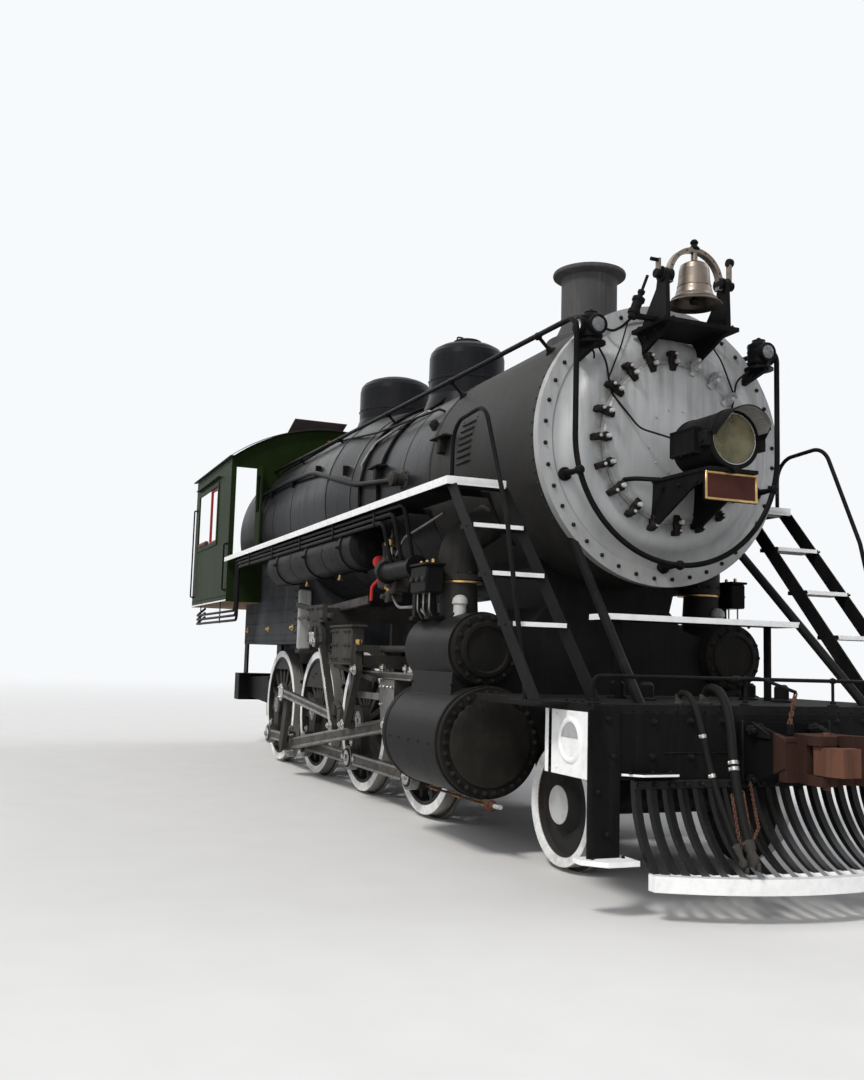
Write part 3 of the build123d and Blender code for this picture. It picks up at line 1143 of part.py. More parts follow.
# roof hatch lid, propped open on its back edge
HATCH_LID_THICKNESS = 10.0
with BuildPart() as roof_hatch:
    lid_plane = Plane(
        origin=(HATCH_HINGE_X, 0, HATCH_HINGE_Z),
        x_dir=(cos(radians(HATCH_OPEN_ANGLE)), 0, sin(radians(HATCH_OPEN_ANGLE))),
        z_dir=(-sin(radians(HATCH_OPEN_ANGLE)), 0, cos(radians(HATCH_OPEN_ANGLE))),
    )
    lid_length = HATCH_FRONT_X - HATCH_HINGE_X + 20
    with BuildSketch(lid_plane):
        with Locations((lid_length / 2, 0)):
            Rectangle(lid_length, 2 * HATCH_HALF_WIDTH + 30)
    extrude(amount=HATCH_LID_THICKNESS)
    for lug_y in HATCH_LUGS:
        with Locations((HATCH_HINGE_X, lug_y, HATCH_HINGE_Z)):
            Box(50, 42, 90, mode=Mode.SUBTRACT)
    with Locations((HATCH_HINGE_X, 0, HATCH_HINGE_Z)):
        Cylinder(HATCH_PIN_RADIUS, 640, rotation=(90, 0, 0))
roof_hatch.part.label = "roof_hatch"
export_step(roof_hatch.part, "parts/roof_hatch.step")

# cab front doors, hinged at their inner edge and folded forward
DOOR_WIDTH = DOORWAY_OUTER - DOORWAY_INNER - 10.0
for door_name, side in (("cab_door_right", -1), ("cab_door_left", 1)):
    with BuildPart() as cab_door:
        with Locations(
            (
                DOOR_HINGE_X + DOOR_WIDTH / 2 + 8,
                side * (DOOR_HINGE_Y + DOOR_THICKNESS / 2 + 8),
                (DOOR_BOTTOM_Z + DOOR_TOP_Z) / 2,
            )
        ):
            Box(DOOR_WIDTH, DOOR_THICKNESS, DOOR_TOP_Z - DOOR_BOTTOM_Z)
        with Locations(
            (
                DOOR_HINGE_X + DOOR_WIDTH / 2 + 8,
                side * (DOOR_HINGE_Y + DOOR_THICKNESS / 2 + 8),
                DOOR_TOP_Z - 380,
            )
        ):
            Box(DOOR_WIDTH - 120, DOOR_THICKNESS * 2, 520, mode=Mode.SUBTRACT)
        for lug_z in DOOR_LUGS:
            with Locations((DOOR_HINGE_X, side * DOOR_HINGE_Y, lug_z + 40)):
                Cylinder(DOOR_PIN_RADIUS, 120)
            with Locations((DOOR_HINGE_X + 8, side * (DOOR_HINGE_Y + 8), lug_z + 65)):
                Box(20, 20, 60)
    cab_door.part.label = door_name
    export_step(cab_door.part, "parts/" + door_name + ".step")

# window sashes standing in the front half of each side window
SASH_WIDTH = 620.0
SASH_FRAME = 55.0
SASH_THICKNESS = 30.0
with BuildPart() as window_sashes:
    for side in (-1, 1):
        sash_x = WINDOW_FRONT_X - SASH_WIDTH / 2 + 20
        sash_z = (WINDOW_BOTTOM_Z + WINDOW_TOP_Z) / 2
        sash_y = side * (CAB_HALF_WIDTH - CAB_WALL - SASH_THICKNESS / 2)
        with Locations((sash_x, sash_y, sash_z)):
            Box(SASH_WIDTH, SASH_THICKNESS, WINDOW_TOP_Z - WINDOW_BOTTOM_Z + 60)
        with Locations((sash_x, sash_y, sash_z)):
            Box(
                SASH_WIDTH - 2 * SASH_FRAME,
                60,
                WINDOW_TOP_Z - WINDOW_BOTTOM_Z - 60,
                mode=Mode.SUBTRACT,
            )
window_sashes.part.label = "window_sashes"
export_step(window_sashes.part, "parts/window_sashes.step")

# fittings on the backhead: fire door, throttle lever, gauges and water glasses
with BuildPart() as cab_fittings:
    with Locations((BACKHEAD_X - 25, 0, 2700)):
        Box(50, 520, 420)
    with Locations((BACKHEAD_X - 62, 0, 2700)):
        Box(24, 440, 340)
    with Locations((BACKHEAD_X - 60, 0, 3600)):
        Cylinder(60, 120, rotation=(0, 90, 0))
    with Locations((BACKHEAD_X - 110, -260, 3600)):
        Box(24, 700, 50)
    for gauge_y, gauge_z in ((-420, 3850), (-180, 3980), (420, 3850)):
        with Locations((BACKHEAD_X - 40, gauge_y, gauge_z)):
            Cylinder(95, 80, rotation=(0, 90, 0))
    for glass_y in (-640, 620):
        with Locations((BACKHEAD_X - 60, glass_y, 3450)):
            Box(120, 50, 380)
cab_fittings.part.label = "cab_fittings"
export_step(cab_fittings.part, "parts/cab_fittings.step")

# seat boxes in the cab
SEAT_DEPTH = 500.0
SEAT_GAP = 12.0
with BuildPart() as cab_seats:
    for side in (-1, 1):
        seat_y = side * (CAB_INSIDE - SEAT_GAP - SEAT_DEPTH / 2)
        with Locations((WINDOW_BACK_X + 500, seat_y, CAB_FLOOR_Z + 60 + 280)):
            Box(620, SEAT_DEPTH, 560)
        with Locations((WINDOW_BACK_X + 500, seat_y, CAB_FLOOR_Z + 60 + 600)):
            Box(560, SEAT_DEPTH - 40, 80)
cab_seats.part.label = "cab_seats"
export_step(cab_seats.part, "parts/cab_seats.step")

# bell with its yoke, and the stand
BELL_X = PILOT_AXLE_X + 400.0
BELL_AXIS_Z = RAIL_TOP + 4165.0
BELL_PIN_RADIUS = 18.0
YOKE_RADIUS = 235.0
YOKE_BAR = 34.0
BELL_PROFILE = [
    # radius, distance below the pivot line
    (0.0, -125.0),
    (70.0, -122.0),
    (98.0, -105.0),
    (108.0, -70.0),
    (113.0, 0.0),
    (120.0, 60.0),
    (135.0, 115.0),
    (165.0, 160.0),
    (200.0, 185.0),
    (190.0, 190.0),
    (152.0, 168.0),
    (118.0, 118.0),
    (102.0, 60.0),
    (96.0, 0.0),
    (92.0, -60.0),
    (80.0, -92.0),
    (0.0, -100.0),
]
with BuildPart() as bell:
    with BuildSketch(Plane(origin=(BELL_X, 0, BELL_AXIS_Z), x_dir=(1, 0, 0), z_dir=(0, -1, 0))):
        with BuildLine():
            Polyline(*[(radius, -drop) for radius, drop in BELL_PROFILE], close=True)
        make_face()
    revolve(axis=Axis((BELL_X, 0, 0), (0, 0, 1)))
    with BuildSketch(Plane(origin=(BELL_X - 25, 0, BELL_AXIS_Z), x_dir=(0, 1, 0), z_dir=(1, 0, 0))):
        Circle(YOKE_RADIUS)
        Circle(YOKE_RADIUS - YOKE_BAR, mode=Mode.SUBTRACT)
        with Locations((0, YOKE_RADIUS / 2 - 25)):
            Rectangle(2 * YOKE_RADIUS, YOKE_RADIUS + 50, mode=Mode.INTERSECT)
    extrude(amount=50)
    with Locations((BELL_X, 0, BELL_AXIS_Z + 175)):
        Cylinder(24, 130)
    for side in (-1, 1):
        with Locations((BELL_X, side * 265, BELL_AXIS_Z)):
            Cylinder(BELL_PIN_RADIUS, 110, rotation=(90, 0, 0))
    with Locations((BELL_X, 306, BELL_AXIS_Z + 80)):
        Box(44, 18, 200)
    with Locations((BELL_X, -306, BELL_AXIS_Z + 45)):
        Box(44, 18, 130)
bell.part.label = "bell"
export_step(bell.part, "parts/bell.step")

with BuildPart() as bell_stand:
    with Locations((BELL_X - 110, 0, RAIL_TOP + 3815)):
        Box(420, 640, 30)
    for side in (-1, 1):
        with BuildSketch(side_plane(high_y(side, 242, 278))):
            with BuildLine():
                Polyline(
                    (BELL_X - 260, RAIL_TOP + 3825),
                    (BELL_X + 60, RAIL_TOP + 3825),
                    (BELL_X + 48, BELL_AXIS_Z - 60),
                    (BELL_X + 52, BELL_AXIS_Z),
                )
                ThreePointArc(
                    (BELL_X + 52, BELL_AXIS_Z), (BELL_X, BELL_AXIS_Z + 52), (BELL_X - 52, BELL_AXIS_Z)
                )
                Polyline(
                    (BELL_X - 52, BELL_AXIS_Z),
                    (BELL_X - 70, BELL_AXIS_Z - 90),
                    (BELL_X - 190, RAIL_TOP + 3930),
                    (BELL_X - 260, RAIL_TOP + 3825),
                )
            make_face()
            with Locations((BELL_X, BELL_AXIS_Z)):
                Circle(BELL_PIN_RADIUS + PIN_CLEARANCE, mode=Mode.SUBTRACT)
        extrude(amount=36)
        with BuildSketch(side_plane(high_y(side, 230, 256))):
            with BuildLine():
                Polyline(
                    (BELL_X + 80, RAIL_TOP + 3805),
                    (BELL_X - 60, RAIL_TOP + 3740),
                    (SMOKEBOX_FRONT_X - 60, RAIL_TOP + 3560),
                    (SMOKEBOX_FRONT_X - 60, RAIL_TOP + 3825),
                    (BELL_X + 80, RAIL_TOP + 3825),
                    close=True,
                )
            make_face()
        extrude(amount=26)
    add(smokebox.part, mode=Mode.SUBTRACT)
    add(smokebox_front.part, mode=Mode.SUBTRACT)
    add(smokebox_door.part, mode=Mode.SUBTRACT)
bell_stand.part.label = "bell_stand"
export_step(bell_stand.part, "parts/bell_stand.step")

# headlight on its shelf
HEADLIGHT_Z = RAIL_TOP + 2920.0
HEADLIGHT_RADIUS = 200.0
HEADLIGHT_FRONT_X = PILOT_AXLE_X + 850.0
HEADLIGHT_BACK_X = PILOT_AXLE_X + 420.0
HOOD_LENGTH = 190.0
SHELF_TOP_Z = HEADLIGHT_Z - HEADLIGHT_RADIUS
with BuildPart() as headlight:
    with Locations(((HEADLIGHT_FRONT_X + HEADLIGHT_BACK_X) / 2, 0, HEADLIGHT_Z)):
        Cylinder(HEADLIGHT_RADIUS, HEADLIGHT_FRONT_X - HEADLIGHT_BACK_X, rotation=(0, 90, 0))
    with Locations(((HEADLIGHT_FRONT_X + HEADLIGHT_BACK_X) / 2, 0, HEADLIGHT_Z - HEADLIGHT_RADIUS / 2)):
        Box(240, 180, HEADLIGHT_RADIUS)
    with Locations((HEADLIGHT_FRONT_X - 15, 0, HEADLIGHT_Z)):
        Cylinder(HEADLIGHT_RADIUS - 25, 40, rotation=(0, 90, 0), mode=Mode.SUBTRACT)
    with BuildSketch(Plane(origin=(HEADLIGHT_FRONT_X - 10, 0, HEADLIGHT_Z), x_dir=(0, 1, 0), z_dir=(1, 0, 0))):
        Circle(HEADLIGHT_RADIUS)
        Circle(HEADLIGHT_RADIUS - 5, mode=Mode.SUBTRACT)
        with Locations((0, HEADLIGHT_RADIUS)):
            Rectangle(3 * HEADLIGHT_RADIUS, 2 * HEADLIGHT_RADIUS, mode=Mode.INTERSECT)
    extrude(amount=HOOD_LENGTH)
    with BuildSketch(side_plane(2 * HEADLIGHT_RADIUS)):
        with BuildLine():
            Polyline(
                (HEADLIGHT_FRONT_X + 50, HEADLIGHT_Z - 20),
                (HEADLIGHT_FRONT_X + 400, HEADLIGHT_Z - 20),
                (HEADLIGHT_FRONT_X + 400, HEADLIGHT_Z + HEADLIGHT_RADIUS + 60),
                (HEADLIGHT_FRONT_X + HOOD_LENGTH - 10, HEADLIGHT_Z + HEADLIGHT_RADIUS + 60),
                (HEADLIGHT_FRONT_X + HOOD_LENGTH - 30, HEADLIGHT_Z + 90),
                close=True,
            )
        make_face()
    extrude(amount=4 * HEADLIGHT_RADIUS, mode=Mode.SUBTRACT)
    for side in (-1, 1):
        with Locations((PILOT_AXLE_X + 610, side * 215, HEADLIGHT_Z - 10)):
            Box(270, 70, 180)
headlight.part.label = "headlight"
export_step(headlight.part, "parts/headlight.step")

with BuildPart() as headlight_shelf:
    shelf_back_x = PLATE_FACE_X + 5
    with Locations(((HEADLIGHT_FRONT_X + shelf_back_x) / 2, 0, SHELF_TOP_Z - 12)):
        Box(HEADLIGHT_FRONT_X - shelf_back_x, 400, 24)
    for side in (-1, 1):
        with BuildSketch(side_plane(high_y(side, 170, 190))):
            with BuildLine():
                Polyline(
                    (HEADLIGHT_FRONT_X - 60, SHELF_TOP_Z - 24),
                    (shelf_back_x, SHELF_TOP_Z - 24),
                    (shelf_back_x, SHELF_TOP_Z - 330),
                    (shelf_back_x + 110, SHELF_TOP_Z - 330),
                    (HEADLIGHT_FRONT_X - 190, SHELF_TOP_Z - 110),
                    (HEADLIGHT_FRONT_X - 60, SHELF_TOP_Z - 90),
                    close=True,
                )
            make_face()
        extrude(amount=20)
    with Locations((HEADLIGHT_FRONT_X - 40, 0, SHELF_TOP_Z - 24 - 100)):
        Box(14, 430, 200)
    add(smokebox_door.part, mode=Mode.SUBTRACT)
    add(smokebox_front.part, mode=Mode.SUBTRACT)
headlight_shelf.part.label = "headlight_shelf"
export_step(headlight_shelf.part, "parts/headlight_shelf.step")

# marker lamps on their brackets
LAMP_X = PILOT_AXLE_X + 200.0
LAMP_Y = 735.0
LAMP_Z = RAIL_TOP + 3760.0
with BuildPart() as marker_lamps:
    for side in (-1, 1):
        with Locations((LAMP_X, side * LAMP_Y, LAMP_Z)):
            Cylinder(84, 150)
        with Locations((LAMP_X, side * LAMP_Y, LAMP_Z + 85)):
            Cone(78, 46, 40)
        with Locations((LAMP_X, side * LAMP_Y, LAMP_Z - 88)):
            Cylinder(62, 40)
        with Locations((LAMP_X, side * LAMP_Y, LAMP_Z - 114)):
            Cylinder(108, 14)
        with Locations((LAMP_X + 45, side * LAMP_Y, LAMP_Z)):
            Cylinder(68, 110, rotation=(0, 90, 0))
        with Locations((LAMP_X, side * (LAMP_Y + 30), LAMP_Z)):
            Cylinder(68, 130, rotation=(90, 0, 0))
        with BuildSketch(side_plane(high_y(side, LAMP_Y - 20, LAMP_Y + 20))):
            with BuildLine():
                Polyline(
                    (LAMP_X + 90, LAMP_Z - 118),
                    (SMOKEBOX_FRONT_X - 100, LAMP_Z - 118),
                    (SMOKEBOX_FRONT_X - 100, LAMP_Z - 240),
                    (SMOKEBOX_FRONT_X + 60, LAMP_Z - 200),
                    (LAMP_X + 90, LAMP_Z - 140),
                    close=True,
                )
            make_face()
        extrude(amount=40)
    add(smokebox.part, mode=Mode.SUBTRACT)
    add(smokebox_front.part, mode=Mode.SUBTRACT)
marker_lamps.part.label = "marker_lamps"
export_step(marker_lamps.part, "parts/marker_lamps.step")

# handrail: along the boiler, down in front of the smokebox, round below and back along the other side
RAIL_RADIUS = 20.0
RAIL_Y = 870.0
RAIL_BEND_Z = 3850.0
RAIL_BACK_Z = 4020.0
RAIL_CURL = 120.0
RAIL_POSTS = (-350.0, -2000.0, -3650.0, -5300.0, -7000.0)
RAIL_SINK = 0.79
FRONT_RAIL_X = PILOT_AXLE_X + 240.0
FRONT_RAIL_Z = RAIL_TOP + 2980.0
FRONT_RAIL_POSTS = (197.0, 270.0, 343.0)
with BuildPart() as handrails:
    with BuildLine() as rail_line:
        FilletPolyline(
            (CAB_FRONT_X + 3, -RAIL_Y, RAIL_BACK_Z),
            (FRONT_RAIL_X, -RAIL_Y, RAIL_BEND_Z),
            (FRONT_RAIL_X, -RAIL_Y, FRONT_RAIL_Z),
            radius=RAIL_CURL,
        )
        ThreePointArc(
            (FRONT_RAIL_X, -RAIL_Y, FRONT_RAIL_Z),
            (FRONT_RAIL_X, 0, FRONT_RAIL_Z - RAIL_Y),
            (FRONT_RAIL_X, RAIL_Y, FRONT_RAIL_Z),
        )
        FilletPolyline(
            (FRONT_RAIL_X, RAIL_Y, FRONT_RAIL_Z),
            (FRONT_RAIL_X, RAIL_Y, RAIL_BEND_Z),
            (CAB_FRONT_X + 3, RAIL_Y, RAIL_BACK_Z),
            radius=RAIL_CURL,
        )
    with BuildSketch(Plane(origin=rail_line.line @ 0, z_dir=rail_line.line % 0)):
        Circle(RAIL_RADIUS)
    sweep(path=rail_line.line)
    rail_slope = (RAIL_BEND_Z - RAIL_BACK_Z) / (FRONT_RAIL_X - CAB_FRONT_X)
    for side in (-1, 1):
        for post_place in RAIL_POSTS:
            post_x = PILOT_AXLE_X + post_place
            post_z = RAIL_BEND_Z + rail_slope * (post_x - FRONT_RAIL_X)
            post_head = Vector(post_x, side * RAIL_Y, post_z)
            foot_z = BOILER_Z + RAIL_SINK * (post_z - BOILER_Z)
            post_foot = Vector(post_x, side * RAIL_Y * RAIL_SINK, foot_z)
            with BuildSketch(Plane(origin=post_foot, z_dir=post_head - post_foot)):
                Circle(14)
            extrude(amount=(post_head - post_foot).length)
    for post_turn in FRONT_RAIL_POSTS:
        post_y = RAIL_Y * cos(radians(post_turn))
        post_z = FRONT_RAIL_Z + RAIL_Y * sin(radians(post_turn))
        with Locations(((SMOKEBOX_FRONT_X + 30 + FRONT_RAIL_X) / 2, post_y, post_z)):
            Cylinder(16, FRONT_RAIL_X - SMOKEBOX_FRONT_X - 30, rotation=(0, 90, 0))
    add(boiler.part, mode=Mode.SUBTRACT)
    add(smokebox.part, mode=Mode.SUBTRACT)
    add(smokebox_front.part, mode=Mode.SUBTRACT)
handrails.part.label = "handrails"
export_step(handrails.part, "parts/handrails.step")

# arched grab rails beside the ladders
GRAB_Y = LADDER_OUTER - 30.0
GRAB_PATH = [
    # distance ahead of the pilot axle, height
    (-490.0, BOARD_TOP_Z),
    (-490.0, RAIL_TOP + 3120.0),
    (60.0, RAIL_TOP + 3150.0),
    (430.0, RAIL_TOP + 2350.0),
    (740.0, DECK_TOP_Z + 60.0),
    (740.0, DECK_TOP_Z),
]
with BuildPart() as grab_rails:
    for side in (-1, 1):
        with BuildLine() as grab_line:
            FilletPolyline(
                *[(PILOT_AXLE_X + place, side * GRAB_Y, height) for place, height in GRAB_PATH],
                radius=190,
            )
        with BuildSketch(Plane(origin=grab_line.line @ 0, z_dir=grab_line.line % 0)):
            Circle(16)
        sweep(path=grab_line.line)
grab_rails.part.label = "grab_rails"
export_step(grab_rails.part, "parts/grab_rails.step")

# pilot truck frame and its wheelset
PILOT_JOURNAL_RADIUS = 75.0
with BuildPart() as pilot_truck:
    for side in (-1, 1):
        with BuildSketch(side_plane(high_y(side, 520, 620))):
            with Locations((PILOT_AXLE_X, PILOT_AXLE_Z)):
                Rectangle(300, 260)
            with Locations((PILOT_AXLE_X, PILOT_AXLE_Z + 150)):
                Rectangle(760, 90)
            with Locations((PILOT_AXLE_X, PILOT_AXLE_Z)):
                Circle(PILOT_JOURNAL_RADIUS + PIN_CLEARANCE, mode=Mode.SUBTRACT)
        extrude(amount=100)
        with Locations((PILOT_AXLE_X - 340, 0, PILOT_AXLE_Z + 150)):
            Box(80, 1100, 90)
        with Locations((PILOT_AXLE_X + 340, 0, PILOT_AXLE_Z + 150)):
            Box(80, 1100, 90)
        with BuildSketch(Plane.XY.offset(PILOT_AXLE_Z + 105)):
            with BuildLine():
                Polyline(
                    (PILOT_AXLE_X - 340, side * 400),
                    (TRUCK_PIVOT_X, side * 60),
                    (TRUCK_PIVOT_X, -side * 0),
                    (PILOT_AXLE_X - 340, side * 280),
                    close=True,
                )
            make_face()
        extrude(amount=70)
    with Locations((TRUCK_PIVOT_X, 0, PILOT_AXLE_Z + 140)):
        Cylinder(110, 70)
    with Locations((TRUCK_PIVOT_X, 0, PILOT_AXLE_Z + 140)):
        Cylinder(TRUCK_PIN_RADIUS + PIN_CLEARANCE, 200, mode=Mode.SUBTRACT)
pilot_truck.part.label = "pilot_truck"
export_step(pilot_truck.part, "parts/pilot_truck.step")

with BuildPart() as pilot_wheelset:
    with Locations((PILOT_AXLE_X, 0, PILOT_AXLE_Z)):
        Cylinder(PILOT_JOURNAL_RADIUS, 2 * WHEEL_BACK, rotation=(90, 0, 0))
    pilot_plane = Plane(origin=(PILOT_AXLE_X, 0, PILOT_AXLE_Z), x_dir=(0, 1, 0), z_dir=(1, 0, 0))
    pilot_flange = PILOT_TREAD_RADIUS + FLANGE_HEIGHT
    for side in (-1, 1):
        with BuildSketch(pilot_plane):
            with BuildLine():
                Polyline(
                    (side * WHEEL_BACK, 0),
                    (side * WHEEL_BACK, pilot_flange),
                    (side * (WHEEL_BACK + FLANGE_WIDTH), pilot_flange),
                    (side * (WHEEL_BACK + FLANGE_WIDTH + FLANGE_SLOPE), PILOT_TREAD_RADIUS),
                    (side * WHEEL_FACE, PILOT_TREAD_RADIUS - TREAD_TAPER),
                    (side * WHEEL_FACE, PILOT_TREAD_RADIUS - 60),
                    (side * (WHEEL_FACE - 60), PILOT_TREAD_RADIUS - 80),
                    (side * (WHEEL_FACE - 70), 190),
                    (side * (WHEEL_FACE + 10), 130),
                    (side * (WHEEL_FACE + 10), 0),
                    close=True,
                )
            make_face()
        revolve(axis=Axis((PILOT_AXLE_X, 0, PILOT_AXLE_Z), (0, 1, 0)))
pilot_wheelset.part.label = "pilot_wheelset"
export_step(pilot_wheelset.part, "parts/pilot_wheelset.step")

# valve gear outside the rods: return crank, eccentric rod, hanger, link and reach pieces
GEAR_CRANK_INNER = 1190.0
GEAR_CRANK_OUTER = 1245.0
GEAR_ROD_INNER = 1262.0
GEAR_ROD_OUTER = 1310.0
GEAR_LINK_INNER = 1325.0
GEAR_LINK_OUTER = 1375.0
ECCENTRIC_DX = 190.0
ECCENTRIC_Z = 985.0
GEAR_FRONT_X = PILOT_AXLE_X - 3210.0
GEAR_FRONT_Z = 780.0
HANGER_FOOT_X = PILOT_AXLE_X - 3590.0
HANGER_FOOT_Z = 745.0
HANGER_HEAD_X = PILOT_AXLE_X - 4100.0
HANGER_HEAD_Z = 1560.0
BELL_CRANK_X = PILOT_AXLE_X - 2900.0
BELL_CRANK_Z = VALVE_CHEST_Z


def bar_between(start, end, height):
    """Sketch a straight bar with round ends between two points of a side view."""
    run = hypot(end[0] - start[0], end[1] - start[1])
    turn = degrees(atan2(end[1] - start[1], end[0] - start[0]))
    with Locations(Location(((start[0] + end[0]) / 2, (start[1] + end[1]) / 2), turn)):
        Rectangle(run, height)
    with Locations(start):
        Circle(height / 2)
    with Locations(end):
        Circle(height / 2)


with BuildPart() as valve_gear:
    for side in (-1, 1):
        eccentric = (DRIVER_3_X + ECCENTRIC_DX, ECCENTRIC_Z)
        pin_x, pin_z = crank_offset(side)
        crank_foot = (DRIVER_3_X + pin_x, DRIVER_AXLE_Z + pin_z)
        if side > 0:
            eccentric = (DRIVER_3_X - 230.0, DRIVER_AXLE_Z + 190.0)
        front = (GEAR_FRONT_X, GEAR_FRONT_Z)
        with BuildSketch(side_plane(high_y(side, GEAR_CRANK_INNER, GEAR_CRANK_OUTER))):
            bar_between(crank_foot, eccentric, 150)
        extrude(amount=GEAR_CRANK_OUTER - GEAR_CRANK_INNER)
        with Locations((eccentric[0], side * (GEAR_CRANK_INNER + GEAR_ROD_OUTER) / 2, eccentric[1])):
            Cylinder(45, GEAR_ROD_OUTER - GEAR_CRANK_INNER, rotation=(90, 0, 0))
        with BuildSketch(side_plane(high_y(side, GEAR_ROD_INNER, GEAR_ROD_OUTER))):
            bar_between(eccentric, front, 90)
            with Locations(eccentric):
                Circle(110)
        extrude(amount=GEAR_ROD_OUTER - GEAR_ROD_INNER)
        with BuildSketch(side_plane(high_y(side, GEAR_ROD_OUTER, GEAR_LINK_OUTER))):
            bar_between((HANGER_FOOT_X, HANGER_FOOT_Z), (HANGER_HEAD_X, HANGER_HEAD_Z), 80)
        extrude(amount=GEAR_LINK_OUTER - GEAR_ROD_OUTER)
        with BuildSketch(side_plane(high_y(side, GEAR_LINK_OUTER, GEAR_LINK_OUTER + 50))):
            with Locations((HANGER_HEAD_X, HANGER_HEAD_Z)):
                Circle(260)
                Circle(180, mode=Mode.SUBTRACT)
                with Locations((0, -200)):
                    Rectangle(600, 400, mode=Mode.SUBTRACT)
            with Locations((HANGER_HEAD_X, HANGER_HEAD_Z + 290)):
                Rectangle(520, 180)
            with Locations((HANGER_HEAD_X, HANGER_HEAD_Z)):
                Circle(60)
            with Locations((HANGER_HEAD_X, HANGER_HEAD_Z + 120)):
                Rectangle(60, 260)
        extrude(amount=50)
        with Locations((HANGER_HEAD_X, side * GEAR_LINK_OUTER / 2, HANGER_HEAD_Z + 290)):
            Box(60, GEAR_LINK_OUTER, 140)
        gear_leg_top = HANGER_HEAD_Z + 220
        gear_leg_y = side * (FRAME_INNER + FRAME_OUTER) / 2
        with Locations((HANGER_HEAD_X, gear_leg_y, (FRAME_TOP_Z + gear_leg_top) / 2)):
            Box(60, FRAME_OUTER - FRAME_INNER, gear_leg_top - FRAME_TOP_Z)
        with BuildSketch(side_plane(high_y(side, GEAR_ROD_OUTER, GEAR_LINK_OUTER))):
            bar_between(front, (BELL_CRANK_X, BELL_CRANK_Z - 200), 70)
            bar_between((BELL_CRANK_X, BELL_CRANK_Z - 200), (BELL_CRANK_X - 60, BELL_CRANK_Z), 70)
        extrude(amount=GEAR_LINK_OUTER - GEAR_ROD_OUTER)
        with BuildSketch(Plane.XY.offset(BELL_CRANK_Z - 30)):
            with BuildLine():
                Polyline(
                    (BELL_CRANK_X - 100, side * GEAR_LINK_OUTER),
                    (BELL_CRANK_X - 100, side * 1000),
                    (BELL_CRANK_X + 20, side * 1000),
                    (BELL_CRANK_X + 20, side * GEAR_LINK_OUTER),
                    close=True,
                )
            make_face()
        extrude(amount=60)
        valve_rod_start = BELL_CRANK_X
        valve_rod_end = VALVE_BACK_X - VALVE_HEAD_THICKNESS
        with Locations(((valve_rod_start + valve_rod_end) / 2, side * ROD_LINE_Y, BELL_CRANK_Z)):
            Cylinder(30, valve_rod_end - valve_rod_start, rotation=(0, 90, 0))
valve_gear.part.label = "valve_gear"
export_step(valve_gear.part, "parts/valve_gear.step")

# air reservoirs under the running boards
RESERVOIR_FRONT_X = PILOT_AXLE_X - 2750.0
RESERVOIR_BACK_X = PILOT_AXLE_X - 5950.0
RESERVOIR_Y = 1300.0
RESERVOIR_Z = 2445.0
RESERVOIR_RADIUS = 210.0
with BuildPart() as air_reservoirs:
    for side in (-1, 1):
        with BuildSketch(
            Plane(
                origin=(RESERVOIR_BACK_X, side * RESERVOIR_Y, RESERVOIR_Z),
                x_dir=(1, 0, 0),
                z_dir=(0, -1, 0),
            )
        ):
            length = RESERVOIR_FRONT_X - RESERVOIR_BACK_X
            with BuildLine():
                Polyline(
                    (0, 0),
                    (0, RESERVOIR_RADIUS - 70),
                    (40, RESERVOIR_RADIUS),
                    (length - 40, RESERVOIR_RADIUS),
                    (length, RESERVOIR_RADIUS - 70),
                    (length, 0),
                    close=True,
                )
            make_face()
        revolve(axis=Axis((0, side * RESERVOIR_Y, RESERVOIR_Z), (1, 0, 0)))
        for band_place in (-3100.0, -4300.0, -5500.0):
            with Locations((PILOT_AXLE_X + band_place + 8, side * RESERVOIR_Y, RESERVOIR_Z)):
                Cylinder(RESERVOIR_RADIUS + 12, 60, rotation=(0, 90, 0))
            hanger_top = BOARD_TOP_Z - BOARD_THICKNESS
            with Locations((PILOT_AXLE_X + band_place + 8, side * RESERVOIR_Y, hanger_top - 60)):
                Box(60, 60, 120)
air_reservoirs.part.label = "air_reservoirs"
export_step(air_reservoirs.part, "parts/air_reservoirs.step")

# air pump on the left of the boiler
PUMP_X = PILOT_AXLE_X - 2450.0
PUMP_Y = 1270.0
with BuildPart() as air_pump:
    with Locations((PUMP_X, PUMP_Y, 3180)):
        Cylinder(165, 420)
    with Locations((PUMP_X, PUMP_Y, 2915)):
        Cylinder(70, 110)
    with Locations((PUMP_X, PUMP_Y, 2805)):
        Cylinder(190, 120)
    with Locations((PUMP_X, PUMP_Y - 150, 3050)):
        Box(240, 240, 300)
    add(boiler.part, mode=Mode.SUBTRACT)
    add(running_boards.part, mode=Mode.SUBTRACT)
air_pump.part.label = "air_pump"
export_step(air_pump.part, "parts/air_pump.step")

